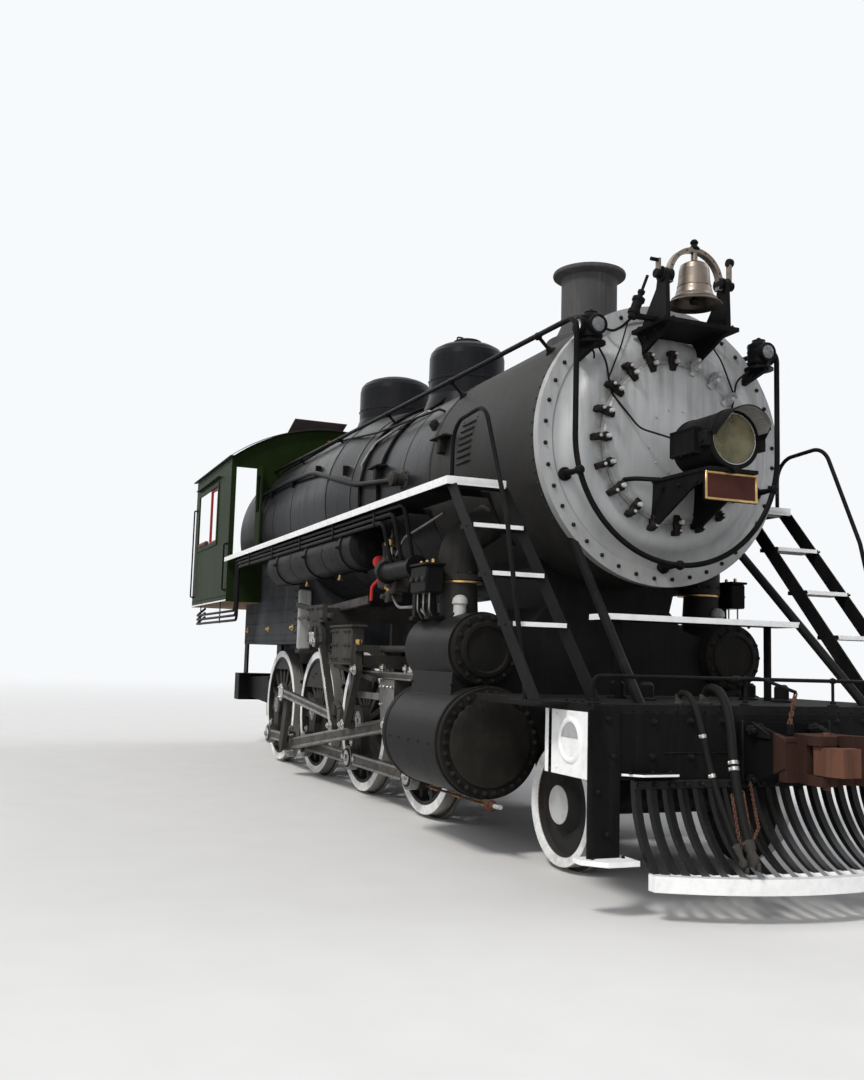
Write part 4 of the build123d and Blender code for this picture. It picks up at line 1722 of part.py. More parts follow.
# two free hoses over the beam
HOSES = [
    # name, radius, start, way points
    (
        "brake_hose",
        27.0,
        [
            (BEAM_FRONT_X - 120, -470, DECK_TOP_Z),
            (BEAM_FRONT_X - 120, -470, DECK_TOP_Z + 130),
            (BEAM_FRONT_X + 150, -500, DECK_TOP_Z + 60),
            (BEAM_FRONT_X + 260, -540, 700),
            (BEAM_FRONT_X + 420, -560, 420),
        ],
        60.0,
    ),
    (
        "signal_hose",
        18.0,
        [
            (BEAM_FRONT_X - 80, -690, DECK_TOP_Z),
            (BEAM_FRONT_X - 80, -690, DECK_TOP_Z + 90),
            (BEAM_FRONT_X + 90, -690, DECK_TOP_Z + 40),
            (BEAM_FRONT_X + 220, -650, 700),
            (BEAM_FRONT_X + 400, -620, 400),
        ],
        50.0,
    ),
]
for hose_name, hose_radius, hose_points, hose_bend in HOSES:
    with BuildPart() as hose:
        with BuildLine() as hose_line:
            FilletPolyline(*hose_points, radius=hose_bend)
        with BuildSketch(Plane.XY.offset(DECK_TOP_Z)):
            with Locations((hose_points[0][0], hose_points[0][1])):
                Circle(hose_radius)
        sweep(path=hose_line.line)
    hose.part.label = hose_name
    export_step(hose.part, "parts/" + hose_name + ".step")
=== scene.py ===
"""Dress the steam locomotive engine: materials, trim, hoses, cushions, floor and light."""

import itertools
import math

import bmesh
import bpy
from mathutils import Matrix, Vector


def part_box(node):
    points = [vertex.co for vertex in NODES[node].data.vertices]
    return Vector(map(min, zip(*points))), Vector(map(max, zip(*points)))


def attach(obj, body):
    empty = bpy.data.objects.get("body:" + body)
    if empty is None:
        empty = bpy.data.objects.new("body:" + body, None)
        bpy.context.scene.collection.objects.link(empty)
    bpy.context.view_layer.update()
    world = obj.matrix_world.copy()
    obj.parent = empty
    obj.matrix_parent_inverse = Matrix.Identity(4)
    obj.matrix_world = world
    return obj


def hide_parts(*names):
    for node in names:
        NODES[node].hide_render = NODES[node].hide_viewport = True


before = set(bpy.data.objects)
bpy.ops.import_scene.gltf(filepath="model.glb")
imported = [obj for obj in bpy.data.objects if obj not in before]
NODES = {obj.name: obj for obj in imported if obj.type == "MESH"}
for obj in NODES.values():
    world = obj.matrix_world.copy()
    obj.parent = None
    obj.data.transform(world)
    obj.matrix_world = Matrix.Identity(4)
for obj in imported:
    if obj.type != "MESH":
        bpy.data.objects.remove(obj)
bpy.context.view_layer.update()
SIDES = (-1, 1)
FORWARD, BACKWARD = (1, 0, 0), (-1, 0, 0)
UPWARD, DOWNWARD = (0, 0, 1), (0, 0, -1)
scene = bpy.context.scene

# camera, solved from the photo
YAW, PITCH, ROLL = (math.radians(angle) for angle in (157.804, 6.25, 1.628))
EYE = (11.309, -4.56, 1.424)
FOCAL_PIXELS, PHOTO_PIXELS, SENSOR_WIDTH = 1083.0, 1080.0, 36.0
look = Vector((math.cos(YAW) * math.cos(PITCH), math.sin(YAW) * math.cos(PITCH), math.sin(PITCH)))
level = look.cross(Vector(UPWARD)).normalized()
over_head = level.cross(look)
right = math.cos(ROLL) * level + math.sin(ROLL) * over_head
up = math.cos(ROLL) * over_head - math.sin(ROLL) * level
camera = bpy.data.objects.new("camera", bpy.data.cameras.new("camera"))
scene.collection.objects.link(camera)
camera.matrix_world = Matrix.Translation(EYE) @ Matrix((right, up, -look)).transposed().to_4x4()
camera.data.sensor_width = SENSOR_WIDTH
camera.data.lens = FOCAL_PIXELS / PHOTO_PIXELS * SENSOR_WIDTH
camera.data.clip_end = 400.0
scene.camera = camera


# materials
def wire(tree, kind, inputs=None, **facts):
    """New node with attributes, and with values or other nodes' sockets on its inputs."""
    node = tree.nodes.new(kind)
    for key, value in facts.items():
        setattr(node, key, value)
    for key, value in (inputs or {}).items():
        plug(tree, node.inputs[key], value)
    return node


def plug(tree, socket, value):
    """Link a socket into another, or set its value."""
    if isinstance(value, bpy.types.NodeSocket):
        tree.links.new(value, socket)
    elif socket.type == "RGBA" and len(value) == 3:
        socket.default_value = (*value, 1.0)
    else:
        socket.default_value = value


class Mat:
    """A node material built from object-space noise, position masks and bump."""

    def __init__(self, name, metal=0.0, spec=0.12, round_edges=0.005):
        self.material = bpy.data.materials.new(name)
        self.material.use_nodes = True
        self.tree = self.material.node_tree
        self.shader = self.tree.nodes["Principled BSDF"]
        self.set("Metallic", metal)
        self.set("Specular IOR Level", spec)
        self.set("IOR", 1.22 if metal == 0.0 else 1.45)
        where = self.node("ShaderNodeTexCoord")
        self.place = where.outputs["Object"]
        self.x, self.y, self.z = self.split(self.place)
        self.nx, self.ny, self.nz = self.split(where.outputs["Normal"])
        self.side = self.size_of(self.y)
        self.bevel = self.node("ShaderNodeBevel", {"Radius": round_edges}, samples=3).outputs[0]
        geometry = self.node("ShaderNodeNewGeometry")
        both = {0: self.bevel, 1: geometry.outputs["Normal"]}
        same = self.node("ShaderNodeVectorMath", both, operation="DOT_PRODUCT").outputs["Value"]
        self.edge = self.over(self.calc("SUBTRACT", 1.0, same), 0.05, 0.04)

    def node(self, kind, inputs=None, **facts):
        return wire(self.tree, kind, inputs, **facts)

    def set(self, name, value):
        plug(self.tree, self.shader.inputs[name], value)

    def split(self, vector):
        return self.node("ShaderNodeSeparateXYZ", {0: vector}).outputs[:3]

    def calc(self, operation, a, b=0.0, c=0.0, clamp=False):
        facts = {"operation": operation, "use_clamp": clamp}
        return self.node("ShaderNodeMath", {0: a, 1: b, 2: c}, **facts).outputs[0]

    def size_of(self, value):
        return self.calc("ABSOLUTE", value)

    def most(self, a, b):
        return self.calc("MAXIMUM", a, b)

    def add(self, a, b):
        return self.calc("ADD", a, b)

    def mul(self, *values):
        result = values[0]
        for value in values[1:]:
            result = self.calc("MULTIPLY", result, value)
        return result

    def over(self, value, edge, soft):
        """0 below the edge, 1 above it."""
        ends = {"Value": value, "From Min": edge - soft, "From Max": edge + soft}
        return self.node("ShaderNodeMapRange", ends, interpolation_type="SMOOTHSTEP").outputs[0]

    def under(self, value, edge, soft):
        """1 below the edge, 0 above it."""
        return self.calc("SUBTRACT", 1.0, self.over(value, edge, soft))

    def band(self, value, low, high, soft=0.002):
        return self.mul(self.over(value, low, soft), self.under(value, high, soft))

    def noise(self, scale, detail=4.0, rough=0.55, stretch=(1, 1, 1), warp=0.0):
        at = self.node("ShaderNodeVectorMath", {0: self.place, 1: stretch}, operation="MULTIPLY").outputs[0]
        facts = {"Vector": at, "Scale": scale, "Detail": detail, "Roughness": rough, "Distortion": warp}
        return self.node("ShaderNodeTexNoise", facts).outputs[0]

    def patches(self, low, high, *noise, **facts):
        """0 where a noise is low and 1 where it is high."""
        return self.ramp(self.noise(*noise, **facts), (low, 0.0), (high, 1.0))

    def ramp(self, value, *stops):
        """Colours or greys at places along a value."""
        node = self.node("ShaderNodeValToRGB", {0: value})
        for element, (place, colour) in zip(node.color_ramp.elements, stops):
            element.position = place
            colour = (colour,) * 3 if isinstance(colour, (int, float)) else colour
            element.color = (*colour, 1.0)
        return node.outputs[0]

    def mix(self, share, a, b):
        return self.node("ShaderNodeMix", {0: share, 6: a, 7: b}, data_type="RGBA").outputs[2]

    def far_from(self, first, second):
        """Distance from an axis, from the two places measured across it."""
        return self.calc("SQRT", self.add(self.calc("POWER", first, 2), self.calc("POWER", second, 2)))

    def done(self, colour, rough, bumps=()):
        self.set("Base Color", colour)
        self.set("Roughness", rough)
        normal = self.bevel
        for height, strength, distance in bumps:
            facts = {"Strength": strength, "Distance": distance, "Height": height, "Normal": normal}
            normal = self.node("ShaderNodeBump", facts).outputs[0]
        self.set("Normal", normal)
        return self.material


def worn_paint(
    name,
    base,
    other,
    rough=(0.3, 0.5),
    dust=0.15,
    dust_colour=(0.07, 0.064, 0.056),
    wear=0.35,
    wear_colour=(0.08, 0.072, 0.064),
    streak=0.25,
    streak_colour=(0.03, 0.026, 0.022),
    grain=0.25,
    extra=None,
    **facts,
):
    """Paint on metal that has been out in the weather: patches, runs, dust on top and worn edges."""
    m = Mat(name, **facts)
    big = m.noise(1.3, 6.0, 0.6, warp=0.4)
    fine = m.noise(38.0, 5.0, 0.65)
    colour = m.mix(m.ramp(big, (0.35, 0.0), (0.65, 1.0)), base, other)
    runs = m.mul(m.patches(0.5, 0.72, 7.0, 5.0, 0.6, stretch=(1.6, 1.6, 0.16)), streak)
    colour = m.mix(runs, colour, streak_colour)
    top = m.mul(m.over(m.nz, 0.55, 0.35), m.ramp(m.noise(9.0, 6.0, 0.7), (0.3, 0.35), (0.7, 1.0)), dust)
    colour = m.mix(top, colour, dust_colour)
    colour = m.mix(m.mul(m.patches(0.66, 0.74, 70.0, 3.0, 0.7), 0.2), colour, wear_colour)
    chips = m.mul(m.edge, m.patches(0.38, 0.6, 22.0, 4.0, 0.7), wear)
    colour = m.mix(chips, colour, wear_colour)
    mask = None
    if extra:
        colour, mask = extra(m, colour)
    shine = m.ramp(m.add(m.mul(big, 0.5), m.mul(fine, 0.5)), (0.3, rough[0]), (0.7, rough[1]))
    shine = m.calc("ADD", shine, m.mul(m.most(top, runs), 0.3), clamp=True)
    if mask is not None:
        shine = m.most(shine, m.mul(mask, 0.45))
    return m.done(colour, shine, [(m.noise(2.2, 2.0, 0.5), 0.12, 0.02), (fine, grain, 0.002)])


WHITE = (0.87, 0.87, 0.855)


def white_where(find, amount=0.35):
    """White paint where a mask is 1, with grime on it."""

    def paint(m, colour):
        mask = find(m)
        grime = m.mul(m.patches(0.45, 0.75, 11.0, 6.0, 0.7), amount)
        return m.mix(mask, colour, m.mix(grime, WHITE, (0.5, 0.47, 0.43))), mask

    return paint


# places of the white edges, from the solids' faces
TREAD_SPAN = (1.112, 1.498)
BOARD_EDGE_Y, BOARD_FRONT_X = 1.5465, 4.1885
BOW_TOP_Z, BOW_BACK_X = 0.2655, 5.99
STEP_SPAN, STEP_INNER_Y = (0.29, 0.3315), 1.0
UPPER_STEP_SPAN, UPPER_STEP_OUTER_Y = (0.78, 0.7995), 1.14
CROSS_BOARD_TOP_Z = 1.7139
BEAM_END_FACE_Y, BEAM_JOINT_SPAN = 1.3255, (5.366, 5.404)
COUPLER_SHANK_X = 6.1


def upright(m):
    """1 on faces that stand, 0 on faces that look up or down."""
    return m.under(m.size_of(m.nz), 0.5, 0.1)


def tread_edges(m):
    return m.mul(m.over(m.nx, 0.95, 0.02), m.band(m.side, *TREAD_SPAN))


def board_edges(m):
    return m.most(m.over(m.side, BOARD_EDGE_Y, 0.001), m.over(m.x, BOARD_FRONT_X, 0.0005))


def pilot_bow(m):
    return m.mul(m.under(m.z, BOW_TOP_Z, 0.001), m.over(m.x, BOW_BACK_X, 0.002))


def step_edges(m):
    lower = m.mul(m.band(m.z, *STEP_SPAN, 0.001), m.over(m.side, STEP_INNER_Y, 0.01))
    inner = m.under(m.side, UPPER_STEP_OUTER_Y, 0.001)
    return m.most(lower, m.mul(m.band(m.z, *UPPER_STEP_SPAN, 0.0006), inner, upright(m)))


def cross_board_edge(m):
    return m.mul(m.over(m.z, CROSS_BOARD_TOP_Z, 0.0005), upright(m))


def beam_ends(m):
    away_from_joint = m.calc("SUBTRACT", 1.0, m.band(m.x, *BEAM_JOINT_SPAN, 0.001))
    return m.mul(m.over(m.size_of(m.ny), 0.7, 0.1), m.over(m.side, BEAM_END_FACE_Y, 0.0005), away_from_joint)


def black(name, rough, find=None, amount=0.35, **facts):
    """Black frame paint, white where a mask says so."""
    extra = white_where(find, amount) if find else None
    return worn_paint(name, (0.005, 0.005, 0.0056), (0.01, 0.0098, 0.0098), rough, extra=extra, **facts)


frame_black = black("frame_black", (0.32, 0.55))
ladder_black = black("ladder_black", (0.3, 0.5), tread_edges)
board_black = black("board_black", (0.4, 0.6), board_edges)
pilot_black = black("pilot_black", (0.14, 0.3), pilot_bow, spec=0.5, wear=0.3)
step_black = black("step_black", (0.35, 0.5), step_edges)
cross_black = black("cross_black", (0.4, 0.6), cross_board_edge)
beam_black = black("beam_black", (0.28, 0.5), beam_ends, 0.4)
deck_black = worn_paint(
    "deck_black", (0.008, 0.0078, 0.0078), (0.016, 0.015, 0.0145), (0.5, 0.75),
    dust=0.2, dust_colour=(0.06, 0.055, 0.05), wear=0.6,
)
jacket = worn_paint(
    "boiler_jacket", (0.009, 0.0097, 0.0115), (0.017, 0.0175, 0.019), (0.26, 0.42),
    dust=0.12, wear=0.2, streak=0.3, grain=0.12, spec=0.18,
)
cylinder_jacket = worn_paint(
    "cylinder_jacket", (0.008, 0.008, 0.0085), (0.015, 0.015, 0.015), (0.3, 0.45), grain=0.15, spec=0.15
)
head_iron = worn_paint(
    "head_iron", (0.01, 0.0096, 0.0092), (0.02, 0.019, 0.017), (0.4, 0.6),
    wear_colour=(0.12, 0.105, 0.09), streak=0.3, streak_colour=(0.045, 0.032, 0.024),
)
smokebox_paint = worn_paint(
    "smokebox_paint", (0.016, 0.0155, 0.015), (0.03, 0.029, 0.027), (0.46, 0.62), dust=0.3,
    dust_colour=(0.075, 0.07, 0.063), streak=0.5, streak_colour=(0.05, 0.044, 0.039), spec=0.3,
)
stack_paint = worn_paint(
    "stack_paint", (0.05, 0.05, 0.051), (0.085, 0.084, 0.084), (0.5, 0.68),
    dust=0.4, streak=0.6, streak_colour=(0.12, 0.11, 0.1),
)
BOILER_Z = 3.043


def front_plate(name):
    """Aluminium paint on the smokebox front: soot runs below the upper clamps, rust tints, dark patches."""
    m = Mat(name, metal=0.2, round_edges=0.006)
    big = m.noise(1.7, 6.0, 0.62, warp=0.6)
    fine = m.noise(46.0, 5.0, 0.7)
    colour = m.mix(m.ramp(big, (0.32, 0.0), (0.68, 1.0)), (0.34, 0.345, 0.345), (0.42, 0.425, 0.425))
    height = m.calc("SUBTRACT", m.z, BOILER_Z)
    upper = m.calc("MULTIPLY_ADD", m.over(height, 0.05, 0.6), 0.3, 0.1)
    soot = m.mul(m.patches(0.44, 0.66, 9.0, 5.0, 0.6, stretch=(0.5, 1.9, 0.12)), upper)
    colour = m.mix(soot, colour, (0.17, 0.15, 0.13))
    rust = m.mul(m.patches(0.6, 0.78, 14.0, 5.0, 0.7, stretch=(1, 1, 0.3)), 0.3)
    colour = m.mix(rust, colour, (0.24, 0.16, 0.1))
    clamp_ring = m.band(m.far_from(m.y, height), 0.56, 0.66, 0.03)
    colour = m.mix(m.mul(clamp_ring, m.patches(0.35, 0.65, 16.0, 4.0, 0.6), 0.6), colour, (0.13, 0.12, 0.11))
    foot = m.mul(m.under(height, -0.72, 0.25), m.ramp(m.noise(5.0, 5.0, 0.6), (0.3, 0.2), (0.7, 1.0)), 0.45)
    colour = m.mix(foot, colour, (0.2, 0.185, 0.165))
    colour = m.mix(m.mul(m.edge, 0.35), colour, (0.15, 0.14, 0.13))
    shine = m.ramp(m.add(m.mul(big, 0.5), m.mul(fine, 0.5)), (0.35, 0.42), (0.65, 0.56))
    shine = m.calc("ADD", shine, m.mul(soot, 0.3), clamp=True)
    return m.done(colour, shine, [(m.noise(2.5, 3.0, 0.5), 0.25, 0.02), (fine, 0.2, 0.0015)])


plate_paint = front_plate("smokebox_front_paint")


def steel(
    name, base, other, rough=(0.22, 0.42), grime=0.45,
    grime_colour=(0.06, 0.05, 0.04), brush=(0.3, 1, 1),
):
    """Bright steel with brushing, oil and grime."""
    m = Mat(name, metal=0.9, round_edges=0.004)
    big = m.noise(4.0, 5.0, 0.6, warp=0.5)
    lines = m.noise(90.0, 3.0, 0.6, stretch=brush)
    dirt = m.mul(m.patches(0.46, 0.7, 6.5, 6.0, 0.7), grime)
    colour = m.mix(dirt, m.mix(big, base, other), grime_colour)
    shine = m.ramp(m.add(m.mul(big, 0.4), m.mul(lines, 0.6)), (0.3, rough[0]), (0.7, rough[1]))
    shine = m.calc("ADD", shine, m.mul(dirt, 0.4), clamp=True)
    return m.done(colour, shine, [(lines, 0.12, 0.0008), (m.noise(30.0, 4.0, 0.6), 0.1, 0.001)])


rod_steel = steel("rod_steel", (0.23, 0.224, 0.212), (0.14, 0.134, 0.125))
# dark grimy steel for the dull rods, and for the hollows of fluted rods, where its darkness is grime and
# painted shade of the flute
dull_steel_and_flute_shade = steel(
    "rod_dull_and_flute_shade", (0.09, 0.082, 0.073), (0.055, 0.05, 0.045), (0.4, 0.6), 0.6,
    grime_colour=(0.05, 0.04, 0.032),
)
brushed_head = steel(
    "brushed_head", (0.05, 0.046, 0.041), (0.028, 0.0265, 0.024), (0.4, 0.6), 0.6, brush=(1, 1, 0.1)
)
bright_steel = steel("bright_steel", (0.48, 0.47, 0.455), (0.36, 0.35, 0.335), (0.18, 0.34), 0.3)
pipe_steel = steel("pipe_steel", (0.3, 0.29, 0.28), (0.2, 0.19, 0.18), (0.35, 0.55), 0.5)
brass = steel("brass", (0.62, 0.42, 0.17), (0.4, 0.25, 0.1), grime_colour=(0.09, 0.055, 0.025))
bronze = steel(
    "bell_bronze", (0.22, 0.185, 0.15), (0.13, 0.108, 0.09), (0.3, 0.48), 0.5,
    grime_colour=(0.08, 0.066, 0.054), brush=(1, 1, 0.4),
)


def wheel(name, axle_x, axle_z, ring, tread, cap=0.0):
    """Black wheel with a white ring on its face and a bright tread."""

    def marks(m, colour):
        far = m.far_from(m.calc("SUBTRACT", m.x, axle_x), m.calc("SUBTRACT", m.z, axle_z))
        white = m.mul(m.over(far, ring, 0.002), m.over(m.side, 0.79, 0.004))
        grime = m.mul(m.patches(0.42, 0.7, 8.0, 6.0, 0.7), 0.55)
        colour = m.mix(white, colour, m.mix(grime, WHITE, (0.34, 0.29, 0.24)))
        if cap:
            hub = m.mul(m.under(far, cap, 0.002), m.over(m.side, 0.8, 0.004))
            colour = m.mix(hub, colour, m.mix(grime, (0.5, 0.5, 0.49), (0.25, 0.23, 0.2)))
        run = m.mul(m.over(far, tread - 0.012, 0.002), m.under(m.size_of(m.ny), 0.6, 0.1))
        m.set("Metallic", run)
        return m.mix(run, colour, (0.45, 0.43, 0.4)), white

    return worn_paint(
        name, (0.018, 0.018, 0.019), (0.036, 0.034, 0.032), (0.35, 0.55),
        dust=0.4, streak_colour=(0.1, 0.07, 0.05), wear=0.4, extra=marks,
    )


def shank_black(m, colour):
    """The coupler is black in front and brown behind."""
    return m.mix(m.over(m.x, COUPLER_SHANK_X, 0.006), (0.007, 0.0068, 0.0068), colour), None


cab_green = worn_paint(
    "cab_green", (0.012, 0.021, 0.006), (0.017, 0.027, 0.01), (0.28, 0.42), dust=0.05,
    wear=0.15, streak=0.15, streak_colour=(0.03, 0.035, 0.02), grain=0.1, spec=0.04,
)
roof_black = worn_paint(
    "roof_black", (0.03, 0.026, 0.028), (0.05, 0.043, 0.045), (0.45, 0.65), dust=0.35, streak=0.4
)
hatch_paint = worn_paint("hatch_paint", (0.075, 0.055, 0.06), (0.11, 0.08, 0.085), (0.5, 0.7), dust=0.4)
sash_red = worn_paint(
    "sash_red", (0.28, 0.02, 0.022), (0.36, 0.04, 0.04), (0.32, 0.5),
    wear_colour=(0.12, 0.06, 0.04), streak_colour=(0.1, 0.03, 0.02),
)
valve_red = worn_paint("valve_red", (0.5, 0.03, 0.03), (0.4, 0.05, 0.04), (0.35, 0.5), streak=0.2)
rust_iron = worn_paint(
    "coupler_rust", (0.075, 0.034, 0.024), (0.125, 0.058, 0.038), (0.6, 0.8),
    dust=0.3, dust_colour=(0.17, 0.1, 0.07), wear_colour=(0.26, 0.17, 0.13),
    streak=0.6, streak_colour=(0.03, 0.02, 0.017), grain=0.8,
)
coupler_paint = worn_paint(
    "coupler_paint", (0.026, 0.0145, 0.0125), (0.045, 0.023, 0.018), (0.5, 0.7),
    dust=0.2, dust_colour=(0.1, 0.06, 0.045), wear_colour=(0.16, 0.085, 0.06),
    streak=0.5, streak_colour=(0.012, 0.01, 0.009), grain=0.7, extra=shank_black,
)
cast_grey = worn_paint(
    "cast_iron_grey", (0.032, 0.03, 0.027), (0.06, 0.056, 0.05), (0.45, 0.65),
    wear_colour=(0.18, 0.165, 0.15), streak=0.5, grain=0.5,
)
pale_grey = worn_paint(
    "pale_grey", (0.4, 0.4, 0.39), (0.5, 0.5, 0.48), (0.5, 0.65), streak=0.7, streak_colour=(0.2, 0.17, 0.14)
)
firebox_grey = worn_paint(
    "firebox_grey", (0.03, 0.032, 0.036), (0.06, 0.063, 0.068), (0.5, 0.7),
    streak=0.6, streak_colour=(0.11, 0.105, 0.1), wear_colour=(0.16, 0.15, 0.14), grain=0.5,
)
seat_leather = worn_paint(
    "seat_leather", (0.09, 0.05, 0.032), (0.13, 0.075, 0.05), (0.4, 0.6),
    wear_colour=(0.2, 0.13, 0.09), grain=0.7,
)
white_paint = worn_paint(
    "white_paint", WHITE, (0.78, 0.775, 0.76), (0.4, 0.6),
    wear_colour=(0.4, 0.38, 0.35), streak_colour=(0.55, 0.52, 0.48), dust=0.1,
)
# grey for the painted shadow in the upper half of each poling pocket
pocket_shadow_grey = worn_paint("poling_pocket_painted_shadow", (0.36, 0.36, 0.37), (0.46, 0.46, 0.46), (0.5, 0.65), streak=0.5)
hood_pale = worn_paint("hood_pale", (0.2, 0.195, 0.185), (0.27, 0.26, 0.245), (0.5, 0.65), streak=0.5)
plate_field = worn_paint("plate_field", (0.045, 0.016, 0.014), (0.07, 0.026, 0.02), (0.35, 0.5), streak=0.2)
gauge_white = worn_paint("gauge_face", (0.7, 0.69, 0.65), (0.62, 0.61, 0.57), (0.4, 0.5), streak=0.1)


def floor_wood_material():
    m = Mat("floor_wood")
    plank = m.calc("FRACT", m.mul(m.y, 6.5))
    gap = m.calc("SUBTRACT", 1.0, m.band(plank, 0.03, 0.97, 0.02))
    grain = m.noise(14.0, 6.0, 0.65, stretch=(0.25, 3, 3), warp=0.8)
    colour = m.mix(grain, (0.12, 0.075, 0.045), (0.26, 0.17, 0.1))
    colour = m.mix(gap, colour, (0.02, 0.015, 0.01))
    return m.done(colour, m.ramp(grain, (0.3, 0.55), (0.7, 0.8)), [(grain, 0.3, 0.002), (gap, 0.5, -0.004)])


def hose_rubber_material():
    m = Mat("hose_rubber", spec=0.25)
    big = m.noise(9.0, 5.0, 0.6)
    colour = m.mix(big, (0.006, 0.006, 0.006), (0.016, 0.0155, 0.0145))
    return m.done(colour, m.ramp(big, (0.3, 0.45), (0.7, 0.7)), [(m.noise(160.0, 3.0, 0.6), 0.4, 0.0012)])


def shiny(name, colours, tint_scale, rough, rough_noise, clearness=0.0, ior=None, **facts):
    """Glass or mirror, with two tints and two roughnesses spread by noise."""
    m = Mat(name, **facts)
    m.set("Transmission Weight", clearness)
    if ior:
        m.set("IOR", ior)
    tint = m.ramp(m.noise(tint_scale, 2.0), (0.3, colours[0]), (0.7, colours[1]))
    return m.done(tint, m.ramp(m.noise(*rough_noise), *rough))


floor_wood = floor_wood_material()
hose_rubber = hose_rubber_material()
lens_glass = shiny(
    "lens_glass", ((0.15, 0.14, 0.07), (0.36, 0.33, 0.2)), 6.0,
    ((0.3, 0.0), (0.8, 0.012)), (5.0, 2.0), clearness=0.55, ior=1.25, spec=0.5,
)
reflector = shiny(
    "reflector", ((0.46, 0.4, 0.22), (0.22, 0.19, 0.1)), 6.0, ((0.3, 0.1), (0.7, 0.2)), (9.0, 2.0), metal=0.9
)
lamp_glass = shiny(
    "lamp_glass", ((0.72, 0.74, 0.76), (0.5, 0.52, 0.54)), 40.0,
    ((0.3, 0.05), (0.8, 0.16)), (60.0, 3.0), clearness=0.85, spec=0.5,
)

LOOKS = {
    jacket: "boiler domes",
    smokebox_paint: "smokebox steam_pipes",
    stack_paint: "stack",
    plate_paint: "smokebox_front smokebox_door",
    ladder_black: "ladders",
    board_black: "running_boards",
    pilot_black: "pilot",
    step_black: "front_steps",
    cross_black: "cross_board",
    beam_black: "pilot_beam",
    deck_black: "deck",
    frame_black: "main_frame smokebox_stays headlight headlight_shelf marker_lamps bell_stand brake_gear"
    " drawbar_casting axle_boxes pilot_truck handrails grab_rails air_reservoirs air_pump",
    cylinder_jacket: "cylinder_right cylinder_left",
    head_iron: "cylinder_heads",
    cab_green: "cab_sides cab_front cab_door_right cab_door_left",
    roof_black: "cab_roof",
    hatch_paint: "roof_hatch",
    sash_red: "window_sashes",
    rod_steel: "side_rods_right side_rods_left main_rod_right main_rod_left "
    "crosshead_right crosshead_left guides",
    cast_grey: "valve_gear cab_fittings",
    bronze: "bell",
    rust_iron: "knuckle",
    coupler_paint: "coupler",
    firebox_grey: "firebox",
    seat_leather: "cab_seats",
    floor_wood: "cab_floor",
}
AXLE_X = (2.070, 0.343, -1.384, -3.111)
AXLE_Z = 0.752
WHEELSETS = [(f"driver_wheelset_{number + 1}", x, AXLE_Z, 0.638, 0.724) for number, x in enumerate(AXLE_X)]
WHEELSETS.append(("pilot_wheelset", 4.6, 0.447, 0.352, 0.419, 0.132))


def dress(node_name, look_of):
    """Put a material on every slot of a CAD node, or on a new slot where it has none."""
    materials = NODES[node_name].data.materials
    if not materials:
        materials.append(look_of)
    for number in range(len(materials)):
        materials[number] = look_of


for look_of, names in LOOKS.items():
    for name in names.split():
        dress(name, look_of)
for name, *sizes in WHEELSETS:
    dress(name, wheel(name + "_paint", *sizes))


# mesh building
def axes(direction):
    """Two unit vectors across a direction, and the direction itself."""
    along = Vector(direction).normalized()
    helper = Vector(UPWARD) if abs(along.z) < 0.9 else Vector(FORWARD)
    first = along.cross(helper).normalized()
    return first, along.cross(first).normalized(), along


def around(count, start=0.0):
    """Angles spaced round a circle, in radians."""
    return [math.radians(start + 360.0 * number / count) for number in range(count)]


def ring_of(centre, radius, count, axis="x", start=0.0):
    """Places spaced round a centre, in the plane across an axis."""
    first, second = {"x": (1, 2), "y": (0, 2), "z": (0, 1)}[axis]
    places = []
    for angle in around(count, start):
        place = list(centre)
        place[first] += radius * math.cos(angle)
        place[second] += radius * math.sin(angle)
        places.append(tuple(place))
    return places


def spaced(first, last, count):
    """Values spaced evenly from the first to the last."""
    return [first + (last - first) * number / (count - 1) for number in range(count)]


def spread(*parts):
    """Every place whose x, y and z are among the numbers given for each."""
    return list(itertools.product(*(part if isinstance(part, (list, tuple)) else [part] for part in parts)))


def side_name(side):
    return "right" if side < 0 else "left"


def turn_onto(run):
    """Turn across the engine that lays the forward axis along a run."""
    return Matrix.Rotation(-math.atan2(run.z, run.x), 3, "Y")


